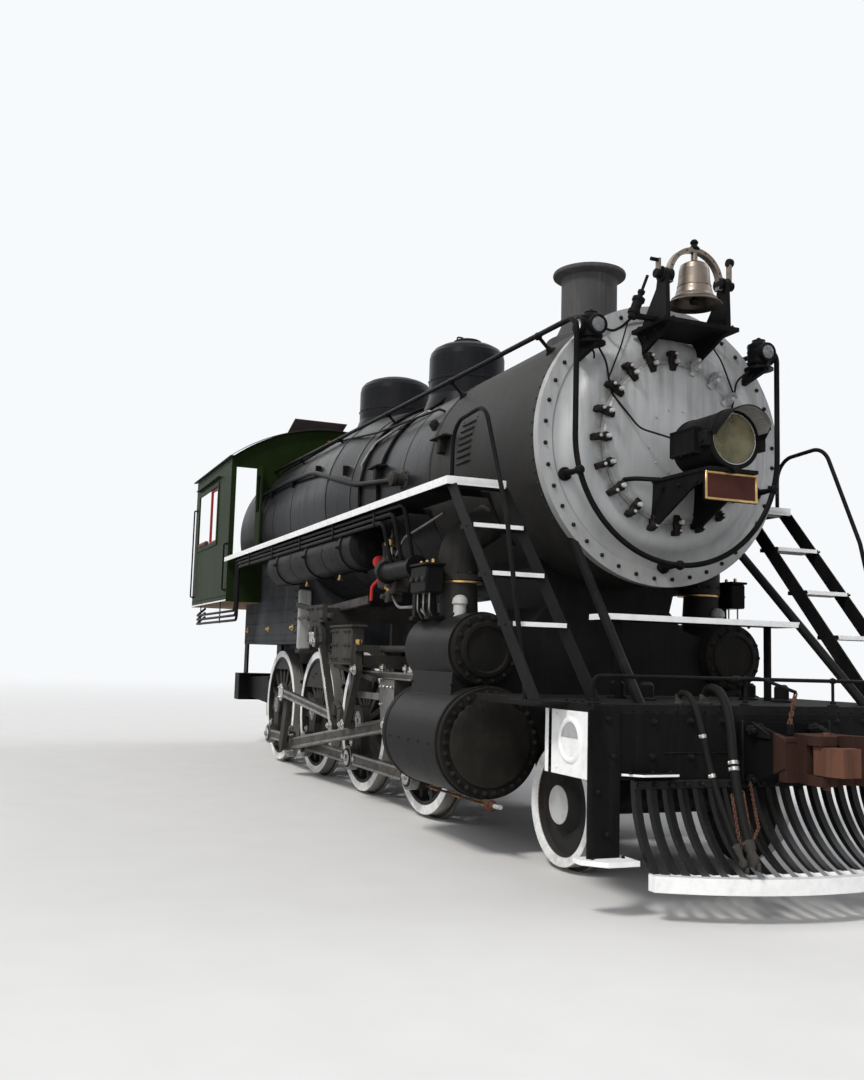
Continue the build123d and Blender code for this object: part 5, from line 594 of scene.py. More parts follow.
class Shape:
    """Gathers solids, each in the current material, into one mesh object."""

    def __init__(self, name, look_of, body="engine", slot="frame_black"):
        self.name, self.body, self.slot = name, body, slot
        self.points, self.faces, self.numbers, self.looks = [], [], [], []
        self.use(look_of)

    def use(self, look_of):
        if look_of not in self.looks:
            self.looks.append(look_of)
        self.now = self.looks.index(look_of)
        return self

    def add(self, points, faces):
        base = len(self.points)
        self.points += [tuple(point) for point in points]
        self.faces += [tuple(base + corner for corner in face) for face in faces]
        self.numbers += [self.now] * len(faces)
        return self

    def rings(self, rings, caps=True):
        """Skin between rings of equal count."""
        count = len(rings[0])
        faces = []
        for low in range(0, (len(rings) - 1) * count, count):
            for here in range(count):
                after = (here + 1) % count
                faces.append((low + here, low + after, low + count + after, low + count + here))
        if caps:
            faces.append(tuple(range(count))[::-1])
            faces.append(tuple((len(rings) - 1) * count + corner for corner in range(count)))
        return self.add([point for ring in rings for point in ring], faces)

    def lathe(self, origin, direction, profile, n=24, caps=True):
        """Turn (radius, distance along) round a direction."""
        a, b, along = axes(direction)
        origin = Vector(origin)
        spokes = [a * math.cos(angle) + b * math.sin(angle) for angle in around(n)]
        rings = []
        for radius, far in profile:
            rings.append([origin + along * far + spoke * max(radius, 1e-5) for spoke in spokes])
        return self.rings(rings, caps)

    def hoop(self, centre, direction, inner, outer, half, n, slope=0.002):
        """Thin band round an axis, open inside."""
        profile = [(inner, -half), (outer, slope - half), (outer, half - slope), (inner, half)]
        return self.lathe(centre, direction, profile, n, caps=False)

    def rod(self, start, end, radius, n=12, chamfer=0.0):
        start, run = Vector(start), Vector(end) - Vector(start)
        profile = [(radius, 0), (radius, run.length)]
        if chamfer:
            profile = [(radius - chamfer, 0), (radius, chamfer), (radius, run.length - chamfer)]
            profile.append((radius - chamfer, run.length))
        return self.lathe(start, run, profile, n)

    def nut(self, at, direction, radius, height, stud=0.0):
        """Hexagon nut with chamfered top, and its stud."""
        self.lathe(at, direction, [(radius, 0), (radius, height * 0.8), (radius * 0.86, height)], 6)
        if stud:
            tip = Vector(at) + Vector(direction).normalized() * (height + stud)
            self.rod(at, tip, radius * 0.5, 8, radius * 0.12)
        return self

    def nuts(self, places, *sizes):
        for at in places:
            self.nut(at, *sizes)
        return self

    def rivets(self, places, direction, radius):
        head = [(radius, 0), (radius * 0.85, radius * 0.4), (radius * 0.45, radius * 0.66)]
        for at in places:
            self.lathe(at, direction, head, 8)
        return self

    def box(self, centre, size, chamfer=0.004, turn=None):
        """Block with chamfered edges."""
        half = [length / 2 for length in size]
        cut = min(chamfer, *(length * 0.9 for length in half))
        points, index = [], {}
        for signs in itertools.product(SIDES, repeat=3):
            for axis in range(3):
                index[signs, axis] = len(points)
                points.append([signs[k] * (half[k] - (0 if k == axis else cut)) for k in range(3)])

        def corner(axis, s, su, sw, face_axis):
            signs = [su, sw]
            signs.insert(axis, s)
            return index[tuple(signs), face_axis]

        corners = itertools.product(SIDES, repeat=3)
        faces = [tuple(index[signs, axis] for axis in range(3)) for signs in corners]
        for axis in range(3):
            u, w = [k for k in range(3) if k != axis]
            for s in SIDES:
                quarters = ((-1, -1), (1, -1), (1, 1), (-1, 1))
                faces.append(tuple(corner(axis, s, su, sw, axis) for su, sw in quarters))
            for su, sw in itertools.product(SIDES, repeat=2):
                edge = ((-1, u), (1, u), (1, w), (-1, w))
                faces.append(tuple(corner(axis, s, su, sw, face_axis) for s, face_axis in edge))
        place = Matrix.Translation(Vector(centre)) @ (turn.to_4x4() if turn else Matrix.Identity(4))
        return self.add([place @ Vector(point) for point in points], faces)

    def plate(self, outline, start, thickness):
        """Flat plate across the engine, from an outline of (x, z) pairs."""
        return self.rings([[Vector((x, start + t, z)) for x, z in outline] for t in (0, thickness)])

    def tube(self, points, radius, bend=0.08, n=10):
        """Round bar or pipe through points, with rounded corners."""
        points = [Vector(point) for point in points]
        path = [points[0]]
        for before, here, after in zip(points, points[1:], points[2:]):
            cut = min(bend, (here - before).length * 0.49, (after - here).length * 0.49)
            start = here + (before - here).normalized() * cut
            end = here + (after - here).normalized() * cut
            for share in spaced(0, 1, 6):
                path.append(start * (1 - share) ** 2 + here * 2 * share * (1 - share) + end * share * share)
        path.append(points[-1])
        across = axes(path[1] - path[0])[0]
        rings = []
        for number, middle in enumerate(path):
            ahead = path[min(number + 1, len(path) - 1)] - path[max(number - 1, 0)]
            if ahead.length < 1e-7:
                continue
            ahead.normalize()
            across = (across - ahead * across.dot(ahead)).normalized()
            other = ahead.cross(across)
            spokes = [across * math.cos(turn) + other * math.sin(turn) for turn in around(n)]
            rings.append([middle + spoke * radius for spoke in spokes])
        return self.rings(rings)

    def link_chain(self, points, size=0.03, wire_radius=0.006):
        """Chain of links along points, each a quarter turn from the last."""
        points = [Vector(point) for point in points]
        count = 0
        for start, end in zip(points, points[1:]):
            steps = max(1, round((end - start).length / (size * 1.25)))
            first, second, along = axes(end - start)
            for step in range(steps):
                middle = start + (end - start) * ((step + 0.5) / steps)
                wide = first if count % 2 else second
                count += 1
                ring = []
                for turn in around(8):
                    reach = along * math.cos(turn) + wide * (0.55 * math.sin(turn))
                    ring.append(middle + reach * size)
                self.tube(ring + [ring[0]], wire_radius, bend=size * 0.2, n=6)
        return self

    def make(self, smooth=40.0):
        mesh = bpy.data.meshes.new(self.name)
        mesh.from_pydata(self.points, [], self.faces)
        for look_of in self.looks:
            mesh.materials.append(look_of)
        mesh.polygons.foreach_set("material_index", self.numbers)
        work = bmesh.new()
        work.from_mesh(mesh)
        bmesh.ops.recalc_face_normals(work, faces=work.faces)
        work.to_mesh(mesh)
        work.free()
        mesh.polygons.foreach_set("use_smooth", [True] * len(mesh.polygons))
        mesh.set_sharp_from_angle(angle=math.radians(smooth))
        return place_piece(self.name, mesh, self.body)


def place_piece(name, data, body="engine"):
    """Put a mesh or curve into the scene, riding on its body."""
    piece = bpy.data.objects.new(name, data)
    scene.collection.objects.link(piece)
    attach(piece, body)
    return piece


# hoses
HOSES = {
    # radius, heights of the pale bands, route from the beam down to the gladhand
    "brake_hose": (
        0.027, (0.88, 0.84),
        ((5.766, -0.47, 1.193), (5.766, -0.47, 1.323), (6.036, -0.5, 1.253),
         (6.146, -0.54, 0.7), (6.306, -0.56, 0.42)),
    ),
    "signal_hose": (
        0.018, (1.02, 0.8),
        ((5.806, -0.69, 1.193), (5.806, -0.69, 1.283), (5.976, -0.69, 1.233),
         (6.106, -0.65, 0.7), (6.286, -0.62, 0.4)),
    ),
}


def hose_curve(name, radius, route):
    curve = bpy.data.curves.new(name, "CURVE")
    curve.dimensions = "3D"
    spline = curve.splines.new("NURBS")
    spline.points.add(len(route) - 1)
    for point, place in zip(spline.points, route):
        point.co = (*place, 1.0)
    spline.order_u = 3
    spline.use_endpoint_u = True
    spline.resolution_u = 24
    curve.bevel_depth = radius
    curve.bevel_resolution = 6
    curve.use_fill_caps = True
    curve.materials.append(hose_rubber)
    return curve


def points_along(curve):
    """Points of a curve's middle line."""
    plain = curve.copy()
    plain.bevel_depth = 0.0
    probe = bpy.data.objects.new("probe", plain)
    points = [vertex.co.copy() for vertex in bpy.data.meshes.new_from_object(probe).vertices]
    bpy.data.objects.remove(probe)
    return points


def gladhand(name, r, route):
    """Coupling at the foot of a hose, with its chain."""
    foot = Vector(route[-1])
    run = (foot - Vector(route[-2])).normalized()
    end = Shape(name + "_gladhand", cast_grey, slot="cast_iron_grey")
    sleeve = [(r * 1.12, 0), (r * 1.2, 0.01), (r * 1.2, 0.045), (r * 0.95, 0.06), (r * 0.95, 0.085)]
    end.lathe(foot - run * 0.05, run, sleeve, 16)
    end.nut(foot - run * 0.035 + Vector((0, -r * 1.1, 0)), (0, -1, 0), r * 0.4, r * 0.5, r * 0.2)
    middle = foot + run * 0.055
    disc = [(r * 1.1, 0), (r * 1.5, 0.008), (r * 1.5, r * 1.2), (r * 0.9, r * 1.6)]
    end.lathe(middle - Vector((0, r * 0.9, 0)), (0, 1, 0), disc, 20)
    end.box(middle + Vector((0.02, r * 0.5, -0.035)), (r * 1.5, r * 0.7, r * 1.8), 0.004)
    end.box(middle + Vector((-0.02, -r * 0.4, 0.03)), (r * 1.3, r * 0.6, r * 1.4), 0.004)
    links = [middle + Vector((0, 0, -0.02))]
    links += [foot + Vector((-0.06, 0.03, 0.14)), foot + Vector((-0.13, 0.05, 0.3))]
    return end.use(rust_iron).link_chain(links, 0.016, 0.0035).make()


def hose_clamps(name, r, start, line, band_heights):
    """Collar on the beam and pale bands round a hose."""
    collar = Shape(name + "_clamps", cast_grey, slot="cast_iron_grey")
    profile = [(r * 1.7, 0), (r * 1.7, 0.012), (r * 1.25, 0.016), (r * 1.25, 0.055), (r * 1.1, 0.06)]
    collar.lathe(Vector(start) + Vector((0, 0, 0.001)), UPWARD, profile, 16)
    collar.use(bright_steel)
    for height in band_heights:
        near = min(range(1, len(line) - 1), key=lambda i: abs(line[i].z - height) + (i < 12))
        along = (line[near + 1] - line[near - 1]).normalized()
        collar.hoop(line[near], along, r * 1.02, r * 1.16, 0.012, 20)
        collar.box(line[near] + Vector((0.0, -r * 1.25, 0.0)), (0.014, 0.014, 0.02), 0.003)
    return collar.make()


for hose_name, (hose_radius, band_heights, route) in HOSES.items():
    curve = hose_curve(hose_name + "_line", hose_radius, route)
    hose = place_piece(hose_name + "_rubber", curve)
    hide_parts(hose_name)
    line = points_along(curve)
    grip = gladhand(hose_name, hose_radius, route)
    clamps = hose_clamps(hose_name, hose_radius, route[0], line, band_heights)

# smokebox front
DOOR_FACE_X = 4.782
plate = Shape("smokebox_front_fasteners", head_iron, slot="smokebox_front_paint")
plate.nuts(ring_of((4.626, 0, BOILER_Z), 0.995, 40, start=4.5), FORWARD, 0.0165, 0.016, 0.008)
plate.use(plate_paint)
seat_ring = [(0.592, 0.03), (0.604, 0.03), (0.604, 0.047), (0.592, 0.047)]
plate.lathe((4.7, 0, BOILER_Z), FORWARD, seat_ring, 96, caps=False)
plate.rivets(ring_of((DOOR_FACE_X, 0, BOILER_Z), 0.24, 12, start=15), FORWARD, 0.009)
plate.make()

CLAMP_COUNT = 20
CLAMP_WIDTH = 0.046
CLAMP_CHAMFER = 0.005
CLAMP_MIDDLE, CLAMP_REACH = (0.61, 4.76), (0.07, 0.03)
CLAMP_INSET = 0.004
CLAMP_SHRINK = [1 - CLAMP_INSET / reach for reach in CLAMP_REACH]
CLAMP_SECTION = (
    # distance from the door's middle, place along the engine
    (0.535, 4.742), (0.535, 4.778), (0.557, 4.79), (0.639, 4.79), (0.685, 4.772),
    (0.685, 4.72), (0.655, 4.72), (0.647, 4.75), (0.59, 4.748),
)
CLAMP_NUTS = (
    # distance from the door's middle, radius, length of the stud
    (0.592, 0.031, 0.03), (0.652, 0.022, 0.012),
)


def clamp_ring(out, across, far_across, shrink):
    """Outline of a clamp at a distance from its middle plane, drawn in a little at its chamfers."""
    ring = []
    for place in CLAMP_SECTION:
        far, x = (mid + (value - mid) * part for value, mid, part in zip(place, CLAMP_MIDDLE, shrink))
        ring.append(Vector((x, 0, BOILER_Z)) + out * far + across * far_across)
    return ring


door_clamps = Shape("smokebox_door_clamps", head_iron, slot="smokebox_front_paint")
for angle in around(CLAMP_COUNT, 2.0):
    out = Vector((0, math.cos(angle), math.sin(angle)))
    across = Vector((0, -math.sin(angle), math.cos(angle)))
    painted = plate_paint if out.y > 0.1 and out.z > 0.3 else head_iron
    half = CLAMP_WIDTH / 2
    inner = half - CLAMP_CHAMFER
    rings = []
    for far_across in (-half, -inner, inner, half):
        shrink = CLAMP_SHRINK if abs(far_across) == half else (1, 1)
        rings.append(clamp_ring(out, across, far_across, shrink))
    door_clamps.use(painted).rings(rings)
    for far, radius, stud in CLAMP_NUTS:
        at = Vector((4.788, 0, BOILER_Z)) + out * far
        door_clamps.use(painted)
        door_clamps.lathe(at, FORWARD, [(radius * 1.2, -0.004), (radius * 1.2, 0.004), (radius, 0.006)], 16)
        door_clamps.nut(at + Vector((0.004, 0, 0)), FORWARD, radius, 0.026)
        tip = at + Vector((0.03 + stud, 0, 0))
        door_clamps.use(pale_grey).rod(at + Vector((0.029, 0, 0)), tip, radius * 0.55, 10, 0.003)
door_clamps.make()

wires = Shape("lamp_conduits", frame_black)
for side in SIDES:
    lower = [(4.79, side * 0.66, 3.66), (4.745, side * 0.57, 3.58), (4.745, side * 0.53, 3.36)]
    wires.tube(lower + [(4.83, side * 0.34, 3.1), (5.03, side * 0.17, 3.0)], 0.0075, 0.05, 8)
    upper = [(4.66, side * 0.34, 3.93), (4.735, side * 0.44, 3.72), (4.745, side * 0.55, 3.46)]
    wires.tube(upper, 0.006, 0.05, 8)
wires.make()

# handrail posts: round the smokebox front, then along the rail that falls towards the cab
FRONT_RAIL_RADIUS, FRONT_RAIL_Z = 0.87, 3.008
SIDE_RAIL_START, SIDE_RAIL_END = (4.84, 3.85), (-3.73, 4.02)
RAIL_SLOPE = (SIDE_RAIL_START[1] - SIDE_RAIL_END[1]) / (SIDE_RAIL_START[0] - SIDE_RAIL_END[0])
BALL = [
    (0.0, -0.036), (0.022, -0.031), (0.034, -0.014), (0.036, 0.0),
    (0.034, 0.014), (0.022, 0.031), (0.0, 0.036),
]
posts = Shape("handrail_posts", frame_black)
for angle in (197, 270, 343):
    y = FRONT_RAIL_RADIUS * math.cos(math.radians(angle))
    z = FRONT_RAIL_Z + FRONT_RAIL_RADIUS * math.sin(math.radians(angle))
    posts.lathe((4.84, y, z), FORWARD, BALL, 16)
    stem = [(0.05, -0.01), (0.05, 0.012), (0.03, 0.024), (0.024, 0.07), (0.018, 0.16), (0.02, 0.19)]
    posts.lathe((4.632, y, z), FORWARD, stem, 16)
for side, x in spread(list(SIDES), [4.25, 2.6, 0.95, -0.7, -2.4]):
    z = SIDE_RAIL_START[1] + RAIL_SLOPE * (x - SIDE_RAIL_START[0])
    at = Vector((x, side * FRONT_RAIL_RADIUS, z))
    out = Vector((0, at.y, z - BOILER_Z))
    reach = out.length
    out.normalize()
    knob = [(0.014, 0), (0.03, 0.012), (0.033, 0.03), (0.026, 0.05), (0.0, 0.06)]
    posts.lathe(at - out * 0.035, out, knob, 14)
    foot = at + out * (1.026 - reach)
    posts.lathe(foot, out, [(0.045, 0), (0.045, 0.018), (0.026, 0.032), (0.016, 0.05)], 14)
posts.make()

# headlight
LIGHT_Z = 2.948
PANEL_X, PANEL_Y, PANEL_Z = 5.21, 0.2525, 2.938
PANEL_HALF_LONG, PANEL_HALF_HIGH = 0.128, 0.082
LENS_AT = (5.45, 0, LIGHT_Z)
HOOD_RADIUS, HOOD_BACK_X = 0.1935, 5.463
light = Shape("headlight_fittings", frame_black)
rim = [(0.176, -0.036), (0.2, -0.036), (0.208, -0.02), (0.208, 0.004), (0.2, 0.012), (0.178, 0.01)]
light.lathe(LENS_AT, FORWARD, rim, 48, caps=False)
back_band = [(0.199, 0), (0.206, 0.004), (0.206, 0.03), (0.2, 0.034)]
light.lathe((5.034, 0, LIGHT_Z), FORWARD, back_band, 40, caps=False)
light.rivets(ring_of((HOOD_BACK_X, 0, LIGHT_Z), 0.197, 8, start=22), FORWARD, 0.006)
light.box((5.46, 0, 2.735), (0.05, 0.03, 0.05), 0.006).rod((5.47, -0.03, 2.74), (5.47, 0.03, 2.74), 0.009)
for side in SIDES:
    out = (0, side, 0)
    for at in spread(PANEL_X, side * PANEL_Y, [PANEL_Z - PANEL_HALF_HIGH, PANEL_Z + PANEL_HALF_HIGH]):
        light.box(at, (0.27, 0.008, 0.014), 0.002)
    for at in spread([PANEL_X - PANEL_HALF_LONG, PANEL_X + PANEL_HALF_LONG], side * PANEL_Y, PANEL_Z):
        light.box(at, (0.014, 0.008, 0.178), 0.002)
    light.box((5.43, side * 0.222, 2.93), (0.085, 0.05, 0.1), 0.006)
    light.rod((5.43, side * 0.24, 2.93), (5.43, side * 0.256, 2.93), 0.028, 16)
    rivets = spread([PANEL_X - 0.1, PANEL_X, PANEL_X + 0.1], side * (PANEL_Y + 0.004), 2.84)
    light.rivets(rivets, out, 0.007)
    stay = [(4.95, side * 0.225, 2.72), (4.85, side * 0.4, 2.73), (4.735, side * 0.43, 2.73)]
    light.tube(stay, 0.017, 0.06)
    light.lathe((4.722, side * 0.43, 2.73), FORWARD, [(0.036, 0), (0.036, 0.012), (0.02, 0.02)], 14)
    light.nuts(spread([4.9, 5.1, 5.3], side * 0.192, 2.665), out, 0.014, 0.012, 0.006)
dish = [(0.0, -0.034), (0.05, -0.033), (0.1, -0.028), (0.145, -0.018), (0.174, -0.003)]
light.use(reflector).lathe(LENS_AT, FORWARD, dish, 48, caps=False)
light.use(bright_steel)
lens_ring = [(0.168, -0.008), (0.17, 0.003), (0.177, 0.004), (0.179, -0.004)]
light.lathe(LENS_AT, FORWARD, lens_ring, 48, caps=False)
bulb = [(0.02, 0), (0.02, 0.008), (0.012, 0.012), (0.014, 0.022), (0.0, 0.03)]
light.lathe((5.419, 0, LIGHT_Z), FORWARD, bulb, 14)
light.make()
lens_face = [(0.176, 0.0), (0.12, 0.006), (0.06, 0.0105), (0.0, 0.012)]
lens_back = [(0.0, 0.009), (0.06, 0.0075), (0.12, 0.003), (0.176, -0.003)]
Shape("headlight_lens", lens_glass).lathe(LENS_AT, FORWARD, lens_face + lens_back, 48).make()


def hood_edge(angle):
    """Back and front place of the hood's lining at an angle; the hood is shorter near its lower ends."""
    y, z = HOOD_RADIUS * math.cos(angle), HOOD_RADIUS * math.sin(angle)
    reach = 0.168 if z > 0.09 else 0.08 + 0.088 * max(0.0, z - 0.02) / 0.07
    return [(HOOD_BACK_X, y, LIGHT_Z + z), (LENS_AT[0] + reach, y, LIGHT_Z + z)]


lining = Shape("headlight_hood_lining", hood_pale)
for number in range(26):
    near, far = (math.radians(12 + 6 * step) for step in (number, number + 1))
    lining.add(hood_edge(near) + hood_edge(far), [(0, 1, 3, 2)])
lining.make()

# bare front plate
SIGN_Z = 2.624
SIGN_HALF_WIDE, SIGN_HALF_HIGH = 0.204, 0.089
sign = Shape("front_plate_frame", brass, slot="bell_bronze")
for side in SIDES:
    sign.box((5.421, 0, SIGN_Z + side * SIGN_HALF_HIGH), (0.012, 0.424, 0.018), 0.004)
    sign.box((5.421, side * SIGN_HALF_WIDE, SIGN_Z), (0.012, 0.018, 0.19), 0.004)
heights = [SIGN_Z - SIGN_HALF_HIGH, SIGN_Z + SIGN_HALF_HIGH]
sign.rivets(spread(5.4265, [-SIGN_HALF_WIDE, SIGN_HALF_WIDE], heights), FORWARD, 0.006)
sign.use(plate_field).box((5.4185, 0, SIGN_Z), (0.005, 0.4, 0.166), 0.001)
sign.make()

# marker lamps
for side in SIDES:
    x, y, z = 4.8, side * 0.735, 3.788
    rims = Shape("marker_lamp_trim_" + side_name(side), frame_black)
    lenses = Shape("marker_lamp_lenses_" + side_name(side), lamp_glass)
    rim = [(0.056, -0.004), (0.07, -0.004), (0.073, 0.004), (0.07, 0.014), (0.057, 0.016)]
    lens = [(0.057, 0.003), (0.05, 0.014), (0.035, 0.022), (0.018, 0.0265), (0.0, 0.028)]
    for at, direction in (((x + 0.1, y, z), FORWARD), ((x, y + side * 0.095, z), (0, side, 0))):
        rims.lathe(at, direction, rim, 28, caps=False)
        lenses.lathe(at, direction, lens, 28)
    for rise in (-0.06, -0.02, 0.02, 0.06):
        rims.hoop((x, y, z + rise), UPWARD, 0.084, 0.0875, 0.004, 28)
    cap = [(0.047, 0), (0.05, 0.004), (0.05, 0.012), (0.03, 0.02)]
    rims.lathe((x, y, z + 0.1), UPWARD, cap + [(0.014, 0.024), (0.014, 0.032), (0.0, 0.034)], 20)
    rims.nuts(ring_of((x, y, z - 0.107), 0.09, 4, "z", 45), UPWARD, 0.01, 0.01, 0.004)
    wire_end = [(x - 0.03, y - side * 0.05, z - 0.16), (x - 0.05, y - side * 0.06, z - 0.2)]
    rims.tube([(x - 0.03, y, z - 0.12)] + wire_end, 0.007, 0.03, 8)
    rims.make()
    lenses.make()

# bell gear
BELL_X, BELL_Z = 5.0, 4.193
YOKE_RADIUS = 0.218
swing = Shape("bell_yoke_trim", frame_black, "bell")
finial = [(0.034, 0), (0.042, 0.012), (0.03, 0.026), (0.02, 0.04), (0.028, 0.05), (0.03, 0.062)]
swing.lathe((BELL_X, 0, BELL_Z + 0.222), UPWARD, finial + [(0.018, 0.078), (0.0, 0.082)], 20)
swing.nut((BELL_X, 0, BELL_Z + 0.11), UPWARD, 0.034, 0.03)
for side in SIDES:
    swing.lathe((BELL_X, side * 0.2, BELL_Z), (0, side, 0), [(0.05, 0), (0.05, 0.02), (0.034, 0.034)], 20)
    for turn in (0.35, 0.8, 1.2):
        at = (BELL_X, side * YOKE_RADIUS * math.cos(turn), BELL_Z + YOKE_RADIUS * math.sin(turn))
        swing.box(at, (0.056, 0.012, 0.012), 0.003)
    swing.rod((BELL_X, side * 0.29, BELL_Z), (BELL_X, side * 0.335, BELL_Z), 0.034, 16, 0.004)
crank_eye = [(0.03, -0.02), (0.034, -0.01), (0.034, 0.01), (0.03, 0.02)]
swing.lathe((BELL_X - 0.004, 0.315, BELL_Z + 0.18), (0, 1, 0), crank_eye, 16)
swing.rod((BELL_X, -0.31, BELL_Z + 0.1), (BELL_X, -0.37, BELL_Z + 0.1), 0.014, 10)
swing.use(bronze)
for drop, radius in ((0.055, 0.1215), (0.148, 0.162)):
    bead = [(radius - 0.004, -0.007), (radius + 0.001, -0.004)]
    bead += [(radius + 0.001, 0.004), (radius - 0.005, 0.007)]
    swing.lathe((BELL_X, 0, BELL_Z - drop), UPWARD, bead, 48, caps=False)
swing.use(head_iron).rod((BELL_X, 0, BELL_Z + 0.07), (BELL_X, 0, BELL_Z - 0.13), 0.011, 10)
clapper = [(0.012, 0), (0.03, 0.012), (0.036, 0.03), (0.028, 0.048), (0.0, 0.054)]
swing.lathe((BELL_X, 0, BELL_Z - 0.13), DOWNWARD, clapper, 16)
swing.make()
STAND_TOP_Z = 3.858
ringer = Shape("bell_ringer", frame_black)
ringer_top, ringer_foot = Vector((BELL_X, -0.345, BELL_Z + 0.1)), Vector((BELL_X - 0.02, -0.5, 3.87))
run = (ringer_top - ringer_foot).normalized()
RINGER = [
    (0.03, -0.03), (0.034, 0.0), (0.044, 0.004), (0.044, 0.03), (0.036, 0.034), (0.036, 0.1), (0.046, 0.106),
    (0.046, 0.13), (0.02, 0.136), (0.02, 0.165), (0.026, 0.17), (0.026, 0.19), (0.011, 0.196), (0.011, 0.315),
]
ringer.lathe(ringer_foot, run, RINGER, 18)
ringer.box(ringer_foot + Vector((-0.02, 0.12, 0.0)), (0.06, 0.26, 0.03), 0.006)
air_line = [ringer_foot - run * 0.02, ringer_foot + Vector((-0.1, -0.02, -0.06)), (4.72, -0.5, 3.82)]
ringer.tube(air_line + [(4.5, -0.56, 3.93)], 0.01, 0.05, 8)
ringer.nut(ringer_foot + run * 0.07 + Vector((0.034, 0, 0)), FORWARD, 0.014, 0.014, 0.01)
for side in SIDES:
    bearing = [(0.056, -0.002), (0.056, 0.008), (0.04, 0.012)]
    ringer.lathe((BELL_X, side * 0.28, BELL_Z), (0, side, 0), bearing, 20)
    ringer.nut((BELL_X - 0.02, side * 0.258, BELL_Z + 0.05), UPWARD, 0.015, 0.014, 0.006)
    bolts = spread([BELL_X - 0.27, BELL_X - 0.06, BELL_X + 0.06], side * 0.29, STAND_TOP_Z)
    ringer.nuts(bolts, UPWARD, 0.016, 0.014, 0.01)
    knees = [(x, side * 0.256, z) for x, z in ((4.62, 3.74), (4.78, 3.79), (4.9, 3.82))]
    ringer.nuts(knees, (0, side, 0), 0.014, 0.012, 0.006)
    ringer.rivets(spread([4.75, 4.9, 5.05], side * 0.3, STAND_TOP_Z), UPWARD, 0.01)
ringer.make()


# stack, smokebox and boiler
STACK_X = 3.517
SMOKEBOX_RADIUS = 1.036
# the boiler's jacket, and how much it grows and rises towards the firebox
BARREL_RADIUS, BARREL_GROWTH, BARREL_RISE = 1.03, 0.085, 0.127
stack = Shape("stack_trim", stack_paint, slot="smokebox_paint")
lip = [(0.296, -0.042), (0.306, -0.034), (0.309, -0.018), (0.304, -0.004), (0.29, 0.0)]
stack.lathe((STACK_X, 0, 4.722), UPWARD, lip, 56, caps=False)
stack.hoop((STACK_X, 0, 4.3), UPWARD, 0.235, 0.2405, 0.012, 56, 0.004)
stack.box((STACK_X + 0.237, 0.0, 4.47), (0.008, 0.03, 0.36), 0.003)
for angle in around(16, 10):
    forth, across = math.cos(angle), math.sin(angle)
    at = (STACK_X + 0.33 * forth, 0.33 * across, 4.135 - 0.04 * abs(across))
    stack.rivets([at], (0.3 * forth, 0.3 * across, 1), 0.014)
stack.make()
bands = Shape("boiler_bands", jacket, slot="boiler_jacket")
for x in (2.53, 1.84, 1.16):
    bands.hoop((x, 0, BOILER_Z), FORWARD, BARREL_RADIUS, BARREL_RADIUS + 0.0035, 0.03, 96)
for x, share in ((0.38, 0.497), (-0.39, 0.994)):
    r = BARREL_RADIUS + BARREL_GROWTH * share
    profile = [(r - 0.004, -0.03), (r + 0.0035, -0.028), (r + 0.0035, 0.028), (r, 0.03)]
    bands.lathe((x, 0, BOILER_Z + BARREL_RISE * share), FORWARD, profile, 96, caps=False)
for x in (-1.9, -2.8, -3.66):
    bands.hoop((x, 0, BOILER_Z + BARREL_RISE), FORWARD, 1.115, 1.1185, 0.03, 96)
bands.make()


def smokebox_y(z):
    """How far out the smokebox's side is at a height."""
    return math.sqrt(SMOKEBOX_RADIUS**2 - (z - BOILER_Z) ** 2)


sides = Shape("smokebox_side_fittings", smokebox_paint, slot="smokebox_paint")
for x, angle in itertools.product((2.56, 4.5), around(72)):
    out = Vector((0, math.cos(angle), math.sin(angle)))
    # each ring leaves out its lowest rivet
    if out.z > -0.999:
        sides.rivets([Vector((x, 0, BOILER_Z)) + out * 1.0345], out, 0.013)
sides.hoop((2.548, 0, BOILER_Z), FORWARD, SMOKEBOX_RADIUS, SMOKEBOX_RADIUS + 0.005, 0.028, 96)
for side in SIDES:
    lean = Matrix.Rotation(-side * 0.5, 3, "X")
    for z in spaced(3.03, 3.36, 7):
        sides.box((3.3, side * (smokebox_y(z) + 0.004), z), (0.25, 0.022, 0.02), 0.005, lean)
    for x, z in itertools.product((3.165, 3.435), spaced(3.03, 3.39, 4)):
        sides.rivets([(x, side * (smokebox_y(z) - 0.002), z)], (0, side, 0.1), 0.01)
sides.use(head_iron)
for side in SIDES:
    for x in (1.2, 2.86):
        sides.box((x, side * 1.045, 3.31), (0.3, 0.12, 0.018), 0.005)
        sides.box((x, side * 1.04, 3.24), (0.08, 0.08, 0.14), 0.01)
        sides.nuts(spread([x - 0.1, x + 0.1], side * 1.05, 3.318), UPWARD, 0.014, 0.012, 0.006)
    sides.box((2.4, side * 0.93, 3.52), (0.1, 0.07, 0.1), 0.02, Matrix.Rotation(-side * 0.6, 3, "X"))
sides.make()

# cylinders and valve chests
CYLINDER_Z = 0.828
ROD_LINE = 1.12
VALVE_Z = 1.502
HEAD_FACE_X, HEAD_BACK_X = 4.106, 2.894
VALVE_FACE_X, VALVE_BACK_X = 3.99, 3.01
JACKET_RADIUS = 0.405
HEAD_RIM = [(0.398, -0.03), (0.402, -0.026), (0.402, -0.008), (0.396, 0.001)]
HEAD_COVER = [(0.326, 0.0), (0.322, 0.008), (0.3, 0.012), (0.02, 0.012), (0.0, 0.012)]
GLAND = [
    (0.15, 0.0), (0.15, 0.025), (0.092, 0.03), (0.092, 0.07), (0.08, 0.078), (0.054, 0.078), (0.054, 0.0),
]
VALVE_COVER = [
    (0.262, 0.0), (0.258, 0.008), (0.212, 0.012), (0.206, 0.034), (0.192, 0.04),
    (0.172, 0.04), (0.164, 0.022), (0.03, 0.018), (0.0, 0.018),
]
